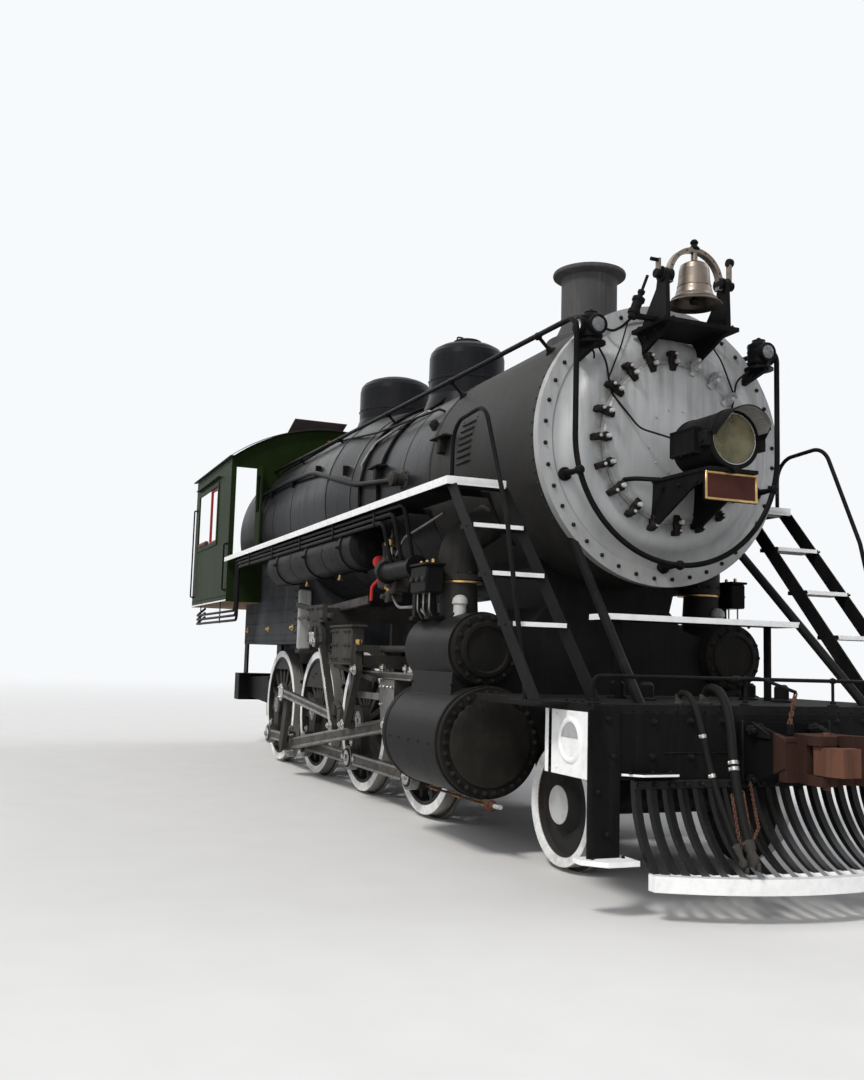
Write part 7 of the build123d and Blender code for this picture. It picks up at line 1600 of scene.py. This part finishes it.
# injector, brake valve and lubricator fittings
INJECTOR_X, INJECTOR_Y = 2.26, 1.3
INJECTOR = [(0.05, 0), (0.05, 0.03), (0.09, 0.05), (0.1, 0.12), (0.09, 0.2), (0.05, 0.22), (0.05, 0.26)]
INJECTOR_FOOT = [(0.04, 0), (0.07, 0.02), (0.075, 0.06), (0.05, 0.09), (0.05, 0.12)]
STARTING_VALVE = [(0.03, 0), (0.045, 0.01), (0.045, 0.06), (0.02, 0.08), (0, 0.085)]
OIL_FEED = [(0.022, 0), (0.022, 0.02), (0.014, 0.026), (0.014, 0.05), (0, 0.056)]
cluster = Shape("valve_cluster", cast_grey, slot="cast_iron_grey")
for side in SIDES:
    out, y, valve_y = (0, side, 0), side * INJECTOR_Y, side * VALVE_LINE_Y
    cluster.use(cast_grey).lathe((2.15, y, 2.2), FORWARD, INJECTOR, 24)
    cluster.rod((INJECTOR_X, y, 2.1), (INJECTOR_X, y, 2.4), 0.035, 16, 0.005)
    cluster.lathe((INJECTOR_X, y, 2.02), UPWARD, INJECTOR_FOOT, 20)
    cluster.nut((INJECTOR_X, y, 2.4), UPWARD, 0.045, 0.04)
    for x, z, radius in ((2.45, 2.26, 0.05), (2.55, 2.05, 0.06), (2.42, 1.95, 0.04)):
        cap = [(radius, -0.09), (radius, 0.02), (radius * 1.3, 0.03), (radius * 1.3, 0.05), (0.0, 0.07)]
        cluster.lathe((x, y, z), out, cap, 18)
        cluster.nut((x, y + side * 0.07, z), out, radius * 0.6, 0.03)
    cluster.rod((INJECTOR_X, y, 2.28), (INJECTOR_X - 0.2, y, 2.28), 0.014, 12, 0.003)
    cluster.use(brass).rod((2.35, y, 1.92), (2.35, y, 2.3), 0.024, 14, 0.003)
    cluster.nuts(spread(2.35, y, [2.18, 2.02]), UPWARD, 0.042, 0.03)
    cluster.lathe((2.5, y + side * 0.06, 2.38), UPWARD, STARTING_VALVE, 18)
    handle = [(2.2, y, 2.13), (2.07, y, 2.12), (2.03, y + side * 0.05, 2.06), (2.02, y + side * 0.05, 1.93)]
    cluster.use(valve_red).tube(handle, 0.014, 0.03, 10)
    cluster.lathe((2.08, y, 2.28), BACKWARD, [(0.05, 0), (0.06, 0.008), (0.06, 0.02), (0.05, 0.028)], 20)
    cluster.use(pipe_steel)
    steam = [(2.4, y, 2.2), (2.4, y, 2.5), (2.2, side * 1.2, 2.66), (1.9, side * 1.13, 2.7)]
    water = [(2.3, y, 2.05), (2.6, y, 1.85), (2.95, side * 1.25, 1.85), (3.0, side * 1.2, 1.78)]
    air = [(2.5, y, 2.3), (2.7, y, 2.45), (3.1, y, 2.5), (3.3, side * 1.2, 2.6)]
    for route, radius in ((steam, 0.016), (water, 0.014), (air, 0.012)):
        cluster.tube(route, radius, 0.06)
    cluster.use(frame_black)
    for x, direction in ((2.62, BACKWARD), (3.28, FORWARD)):
        cluster.nuts(ring_of((x, valve_y, VALVE_LINE_Z), 0.083, 6), direction, 0.013, 0.014, 0.006)
    cluster.box((LUBRICATOR_X, valve_y, VALVE_LINE_Z), (0.36, 0.17, 0.02), 0.005)
    for x in (LUBRICATOR_X - 0.12, LUBRICATOR_X, LUBRICATOR_X + 0.12):
        cluster.use(brass).lathe((x, valve_y, 2.135), UPWARD, OIL_FEED, 14)
        line = [(x, side * 1.44, 1.925), (x, side * 1.44, 1.8), (x - 0.1, side * 1.36, 1.74)]
        cluster.use(pipe_steel).tube(line, 0.007, 0.03, 8)
        cluster.use(cast_grey).nut((x, side * 1.49, 2.03), out, 0.022, 0.018)
cluster.make()
TANK_Y, TANK_Z = 1.3, 2.445
TANK_STRAPS = [1.508, 0.308, -0.892]
TANK_JOINTS = (0.9, -0.3)
TANK_PLUG = [(0.03, -0.01), (0.03, 0.03), (0.045, 0.034), (0.045, 0.06), (0.0, 0.07)]
tanks = Shape("reservoir_fittings", frame_black)
for side in SIDES:
    out, y = (0, side, 0), side * TANK_Y
    tanks.use(frame_black).lathe((1.85, y, TANK_Z), FORWARD, TANK_PLUG, 16)
    tanks.lathe((-1.35, y, TANK_Z), BACKWARD, TANK_PLUG, 16)
    tanks.nuts(spread(TANK_STRAPS, side * 1.515, TANK_Z), out, 0.02, 0.02, 0.014)
    for at in spread(TANK_STRAPS, y, 2.69):
        tanks.box(at, (0.07, 0.05, 0.09), 0.006)
    for x in TANK_JOINTS:
        tanks.hoop((x, y, TANK_Z), FORWARD, 0.21, 0.213, 0.012, 48)
    tanks.rivets(spread(spaced(1.45, -1.0, 6), side * 1.508, 2.46), out, 0.008)
    tanks.use(brass)
    for x in TANK_JOINTS:
        tanks.rod((x, y, 2.24), (x, y, 2.19), 0.014, 10)
        tanks.nut((x, y, 2.2), DOWNWARD, 0.022, 0.02)
tanks.make()

# air pump on the left
PUMP_X, PUMP_Y = 2.15, 1.27
pump = Shape("air_pump_fittings", frame_black)
for z, radius in ((3.38, 0.172), (2.985, 0.172), (2.86, 0.196), (2.75, 0.196)):
    flange = [(radius - 0.01, -0.014), (radius, -0.01), (radius, 0.012), (radius - 0.01, 0.016)]
    pump.lathe((PUMP_X, PUMP_Y, z), UPWARD, flange, 40, caps=False)
pump.nuts(ring_of((PUMP_X, PUMP_Y, 3.39), 0.14, 10, "z"), UPWARD, 0.016, 0.016, 0.01)
pump_top = [(0.1, 0), (0.1, 0.03), (0.06, 0.05), (0.06, 0.1), (0.04, 0.12), (0, 0.125)]
pump.lathe((PUMP_X, PUMP_Y, 3.385), UPWARD, pump_top, 24)
for z in spaced(2.77, 2.85, 4):
    pump.hoop((PUMP_X, PUMP_Y, z), UPWARD, 0.19, 0.2, 0.004, 40, 0.001)
for z in (3.05, 3.18, 3.31):
    pump.hoop((PUMP_X, PUMP_Y, z), UPWARD, 0.165, 0.169, 0.01, 40)
pump.use(brass).nut((PUMP_X + 0.05, PUMP_Y + 0.15, 3.22), (0.3, 1, 0), 0.025, 0.03)
pump.use(pipe_steel)
steam_line = [(PUMP_X, PUMP_Y, 3.5), (PUMP_X, PUMP_Y, 3.62), (PUMP_X - 0.15, 1.05, 3.66)]
pump.tube(steam_line + [(PUMP_X - 0.45, 0.86, 3.44)], 0.022)
air_line = [(PUMP_X - 0.18, PUMP_Y, 2.8), (PUMP_X - 0.34, PUMP_Y, 2.8), (PUMP_X - 0.34, PUMP_Y, 2.73)]
pump.tube(air_line, 0.025, 0.05)
pump.make()

# ladders and running boards
boards = Shape("board_and_ladder_rivets", ladder_black)
for side in SIDES:
    out = (0, side, 0)
    for x, z in ((4.515, 2.35), (4.835, 1.995), (5.15, 1.655)):
        boards.rivets(spread([x - 0.05, x + 0.05], side * 1.509, z), out, 0.01)
        boards.rivets(spread([x - 0.05, x + 0.05], side * 1.1, z), (0, -side, 0), 0.01)
boards.use(board_black)
for side in SIDES:
    boards.rivets(spread(spaced(4.05, -3.6, 40), side * 1.5505, 2.715), (0, side, 0), 0.009)
    boards.rivets(spread(spaced(3.6, -3.3, 24), [side * 1.42, side * 1.22], 2.7445), UPWARD, 0.009)
boards.make()

# cab
CAB_SIDE = 1.5
CAB_FRONT, CAB_BACK = -3.73, -6.4
WINDOW_BACK, WINDOW_FRONT, SILL, HEAD = -6.06, -4.63, 3.06, 3.88
WINDOW_X, WINDOW_WIDTH = (WINDOW_BACK + WINDOW_FRONT) / 2, WINDOW_FRONT - WINDOW_BACK
GRIPS = (
    # place along the cab, foot, top
    (-6.33, 2.3, 3.7), (-3.82, 2.3, 2.95),
)
cab = Shape("cab_trim", cab_green, slot="cab_green")
for side in SIDES:
    out, y, frame_y = (0, side, 0), side * CAB_SIDE, side * (CAB_SIDE + 0.006)
    cab.use(cab_green)
    for x in (WINDOW_BACK - 0.03, WINDOW_FRONT + 0.03):
        cab.box((x, frame_y, (SILL + HEAD) / 2), (0.06, 0.014, HEAD - SILL + 0.12), 0.003)
    for z in (SILL - 0.03, HEAD + 0.03):
        cab.box((WINDOW_X, frame_y, z), (WINDOW_WIDTH, 0.014, 0.06), 0.003)
    cab.box((WINDOW_X, side * 1.525, HEAD + 0.12), (WINDOW_WIDTH + 0.3, 0.055, 0.018), 0.004)
    cab.rivets(spread(spaced(CAB_FRONT - 0.04, CAB_BACK + 0.04, 34), y, [2.22, 4.12]), out, 0.008)
    cab.rivets(spread([CAB_FRONT - 0.04, CAB_BACK + 0.04], y, spaced(2.3, 4.05, 22)), out, 0.008)
    stripe_at = ((CAB_FRONT + CAB_BACK) / 2, side * 1.502, 2.153)
    cab.use(white_paint).box(stripe_at, (2.66, 0.006, 0.022), 0.002)
    arm_rest = [(x, y, SILL + 0.035) for x in (WINDOW_BACK + 0.12, WINDOW_FRONT - 0.75)]
    cab.use(seat_leather).rod(*arm_rest, 0.035, 16, 0.012)
    cab.use(sash_red).box((-3.755, side * 1.09, 3.4), (0.04, 0.035, 1.28), 0.004)
    cab.use(frame_black)
    for x, foot, top in GRIPS:
        away = side * 1.542
        cab.tube([(x, y, foot), (x, away, foot), (x, away, top), (x, y, top)], 0.012, 0.04)
        for z in (foot, top):
            cab.lathe((x, side * 1.499, z), out, [(0.026, 0), (0.026, 0.006), (0.016, 0.012)], 14)
cab.make()
ROOF_RADIUS = 2.54
ROOF_CENTRE_Z = 2.16
ROOF_EDGE = math.asin(1.53 / ROOF_RADIUS)
HATCH_SEAMS = (-4.35, -5.42)
SEAM_HALF_HEIGHT, SEAM_HALF_WIDTH = 0.004, 0.022
roof = Shape("roof_seams", roof_black, slot="roof_black")
for x in (-3.69, *HATCH_SEAMS, -6.1, -6.53):
    across = Vector((SEAM_HALF_WIDTH, 0, 0))
    strip = []
    for angle in spaced(-ROOF_EDGE, ROOF_EDGE, 33):
        # all but the two seams beside the hatch run flat over the crown
        if angle == 0 and x not in HATCH_SEAMS:
            continue
        out = Vector((0, math.sin(angle), math.cos(angle)))
        foot = Vector((x, 0, ROOF_CENTRE_Z)) + out * (ROOF_RADIUS - SEAM_HALF_HEIGHT)
        peak = foot + out * SEAM_HALF_HEIGHT * 2
        strip.append([foot - across, foot + across, peak + across * 0.8, peak - across * 0.8])
    roof.rings(strip)
roof.make()
BACKHEAD_X = -4.75
CAB_FLOOR_Z = 2.198
GAUGE_RIM = [(0.084, -0.01), (0.097, -0.006), (0.097, 0.008), (0.084, 0.012)]
BRAKE_STAND = [(0.07, 0), (0.08, 0.02), (0.08, 0.1), (0.05, 0.14), (0.05, 0.17), (0, 0.18)]
inside = Shape("backhead_fittings", brass, slot="cast_iron_grey")
for y, z in ((-0.42, 3.85), (-0.18, 3.98), (0.42, 3.85)):
    x = BACKHEAD_X - 0.08
    inside.use(brass).lathe((x, y, z), BACKWARD, GAUGE_RIM, 36, caps=False)
    inside.use(gauge_white).lathe((x, y, z), BACKWARD, [(0.084, 0.0), (0.084, 0.002), (0.0, 0.002)], 36)
    pointer = Matrix.Rotation(0.8, 3, "X")
    inside.use(frame_black).box((x - 0.004, y + 0.02, z + 0.02), (0.003, 0.07, 0.006), 0.001, pointer)
    inside.lathe((x - 0.002, y, z), BACKWARD, [(0.01, 0), (0.01, 0.005), (0, 0.006)], 12)
for y in (-0.64, 0.62):
    x = BACKHEAD_X - 0.1
    inside.use(brass)
    for z in (3.28, 3.62):
        inside.nut((x - 0.02, y, z), BACKWARD, 0.03, 0.03, 0.02)
        inside.rod((x, y, z), (x, y + 0.09, z), 0.012, 10)
    inside.use(lamp_glass).rod((x - 0.045, y, 3.3), (x - 0.045, y, 3.6), 0.011, 12)
inside.use(frame_black)
inside.rod((BACKHEAD_X - 0.115, -0.6, 3.6), (BACKHEAD_X - 0.16, -0.6, 3.62), 0.02, 12, 0.004)
inside.box((BACKHEAD_X - 0.08, 0, 2.7), (0.02, 0.02, 0.36), 0.003)
for z in (2.6, 2.8):
    inside.box((BACKHEAD_X - 0.08, -0.14, z), (0.016, 0.28, 0.04), 0.004)
inside.rod((BACKHEAD_X - 0.09, 0.16, 2.66), (BACKHEAD_X - 0.09, 0.16, 2.76), 0.016, 12, 0.004)
inside.rod((-5.0, -0.95, CAB_FLOOR_Z), (-5.08, -0.95, 3.3), 0.022, 14, 0.004)
inside.box((-5.04, -0.95, 2.26), (0.3, 0.05, 0.12), 0.01)
inside.lathe((-5.08, -0.95, 3.28), UPWARD, [(0.022, 0), (0.034, 0.03), (0.034, 0.12), (0.0, 0.15)], 14)
inside.rod((-4.95, -0.72, CAB_FLOOR_Z), (-4.95, -0.72, 3.0), 0.03, 14)
inside.rod((-4.95, -0.72, 3.17), (-5.1, -0.6, 3.19), 0.011, 10)
inside.use(brass).lathe((-4.95, -0.72, 3.0), UPWARD, BRAKE_STAND, 24)
valves = spread(BACKHEAD_X, [-0.3, 0.3, 0.0], [3.05, 3.2])
inside.use(cast_grey).nuts(valves, BACKWARD, 0.03, 0.028, 0.016)
inside.make()

# seat boxes and their cushions
SEAT_X, SEAT_Y = -5.56, 1.23
SEAT_TOP_Z = 2.758
CUSHION_SIZE = (0.56, 0.46, 0.08)
CUSHION_STEPS = 26
boxes = Shape("seat_boxes", cab_green, slot="seat_leather")
for side in SIDES:
    boxes.use(cab_green)
    middle = (SEAT_X, side * SEAT_Y, (CAB_FLOOR_Z + SEAT_TOP_Z) / 2)
    boxes.box(middle, (0.62, 0.5, SEAT_TOP_Z - CAB_FLOOR_Z), 0.008)
    boxes.box((SEAT_X, side * (SEAT_Y - 0.252), 2.46), (0.5, 0.01, 0.4), 0.004)
    knob = [(0.018, 0), (0.012, 0.01), (0.018, 0.024), (0, 0.03)]
    boxes.use(brass).lathe((SEAT_X, side * (SEAT_Y - 0.257), 2.6), (0, -side, 0), knob, 14)
seat_boxes = boxes.make()


def cushion_point(u, w, level):
    """Point of a pad's top or underside, from places between -1 and 1 along and across it."""
    long, wide, high = CUSHION_SIZE
    crown = (1 - u**4) * (1 - w**4)
    height = high * 0.5 * crown**0.45 if level > 0 else -high * 0.5 * min(1.0, crown * 4)
    wrinkle = 0.0025 * math.sin(9 * u + 5 * w) * math.sin(7 * w - 4 * u) * crown
    x = u * long / 2 * 0.96 * (1 - 0.045 * (1 - u * u))
    y = w * wide / 2 * 0.96 * (1 - 0.045 * (1 - w * w))
    return x, y, height + wrinkle


def cushion(side):
    """Stuffed leather pad, crowned and a little wrinkled, with its top and underside joined at the edge."""
    work = bmesh.new()
    places = spaced(-1, 1, CUSHION_STEPS + 1)
    for level in SIDES:
        rows = [[work.verts.new(cushion_point(u, w, level)) for w in places] for u in places]
        for i, j in itertools.product(range(CUSHION_STEPS), repeat=2):
            work.faces.new((rows[i][j], rows[i + 1][j], rows[i + 1][j + 1], rows[i][j + 1])[:: level])
    bmesh.ops.remove_doubles(work, verts=work.verts, dist=0.0006)
    bmesh.ops.recalc_face_normals(work, faces=work.faces)
    height = SEAT_TOP_Z + CUSHION_SIZE[2] / 2 + 0.001
    bmesh.ops.translate(work, verts=work.verts, vec=(SEAT_X, side * SEAT_Y, height))
    mesh = bpy.data.meshes.new("seat_cushion_" + side_name(side))
    work.to_mesh(mesh)
    work.free()
    mesh.materials.append(seat_leather)
    mesh.polygons.foreach_set("use_smooth", [True] * len(mesh.polygons))
    place_piece(mesh.name, mesh)


for side in SIDES:
    cushion(side)
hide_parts("cab_seats")

# floor, lamps, world
SKY = (0.93, 0.95, 0.97)


def ray_kind(tree, first, *others):
    """One where the ray is of one of these kinds, else nothing."""
    path = wire(tree, "ShaderNodeLightPath")
    kind = path.outputs[first]
    for other in others:
        kind = wire(tree, "ShaderNodeMath", {0: kind, 1: path.outputs[other]}, operation="MAXIMUM").outputs[0]
    return kind


def pale_floor():
    """Pale floor that fades into the sky far away."""
    look = bpy.data.materials.new("floor_pale")
    look.use_nodes = True
    tree = look.node_tree
    shader = tree.nodes["Principled BSDF"]
    where = wire(tree, "ShaderNodeTexCoord").outputs["Object"]
    speckle = wire(tree, "ShaderNodeTexNoise", {"Vector": where, "Scale": 2.0})
    tone = wire(tree, "ShaderNodeValToRGB", {0: speckle.outputs[0]})
    tone.color_ramp.elements[0].color = (0.66, 0.65, 0.63, 1)
    tone.color_ramp.elements[1].color = (0.72, 0.71, 0.69, 1)
    plug(tree, shader.inputs["Base Color"], tone.outputs[0])
    plug(tree, shader.inputs["Roughness"], 0.9)
    far = wire(tree, "ShaderNodeVectorMath", operation="LENGTH")
    plug(tree, far.inputs[0], where)
    reach = {"Value": far.outputs["Value"], "From Min": 9.0, "From Max": 48.0}
    fade = wire(tree, "ShaderNodeMapRange", reach, interpolation_type="SMOOTHSTEP").outputs[0]
    either = ray_kind(tree, "Is Camera Ray", "Is Glossy Ray")
    share = wire(tree, "ShaderNodeMath", {0: fade, 1: either}, operation="MULTIPLY").outputs[0]
    sky = wire(tree, "ShaderNodeEmission", {"Color": SKY}).outputs[0]
    both = wire(tree, "ShaderNodeMixShader", {0: share, 1: shader.outputs[0], 2: sky})
    plug(tree, tree.nodes["Material Output"].inputs[0], both.outputs[0])
    return look


floor_mesh = bpy.data.meshes.new("floor")
floor_mesh.from_pydata([(-90, -90, 0), (90, -90, 0), (90, 90, 0), (-90, 90, 0)], [], [(0, 1, 2, 3)])
floor_mesh.materials.append(pale_floor())
floor = bpy.data.objects.new("floor", floor_mesh)
scene.collection.objects.link(floor)


def sun(name, from_where, strength, soft, colour=(1, 1, 1)):
    """Broad light from a direction, as soft as its angle in degrees."""
    light = bpy.data.lights.new(name, "SUN")
    light.energy = strength
    light.angle = math.radians(soft)
    light.color = colour
    item = bpy.data.objects.new(name, light)
    item.rotation_euler = Vector(from_where).to_track_quat("Z", "Y").to_euler()
    scene.collection.objects.link(item)


def soft_lamp(name, at, towards, size, power, colour):
    light = bpy.data.lights.new(name, "AREA")
    light.shape = "RECTANGLE"
    light.size, light.size_y = size
    light.energy = power
    light.color = colour
    item = bpy.data.objects.new(name, light)
    item.location = at
    item.rotation_euler = (Vector(towards) - Vector(at)).to_track_quat("-Z", "Y").to_euler()
    scene.collection.objects.link(item)


def pale_sky():
    """Soft fill light, and a pale sky where it is seen or mirrored."""
    world = bpy.data.worlds.new("world")
    world.use_nodes = True
    tree = world.node_tree
    tree.nodes.clear()
    fill = wire(tree, "ShaderNodeBackground", {"Color": (0.86, 0.9, 1.0), "Strength": 0.42}).outputs[0]
    seen = wire(tree, "ShaderNodeBackground", {"Color": SKY, "Strength": 1.0}).outputs[0]
    looked_at = ray_kind(tree, "Is Camera Ray", "Is Glossy Ray", "Is Transmission Ray")
    both = wire(tree, "ShaderNodeMixShader", {0: looked_at, 1: fill, 2: seen})
    wire(tree, "ShaderNodeOutputWorld", {0: both.outputs[0]})
    return world


sun("key", (0.45, -0.75, 1.0), 2.2, 12, (1.0, 0.985, 0.96))
sun("far_side", (-0.1, 1.0, 0.7), 0.7, 40, (0.97, 0.98, 1.0))
sun("back", (-1.0, -0.25, 0.6), 0.4, 40)
soft_lamp("soft_front", (17.0, -9.0, 7.0), (3, 0, 2.0), (9, 6), 520, (0.98, 0.99, 1.0))
scene.world = pale_sky()
scene.view_settings.view_transform = "Standard"
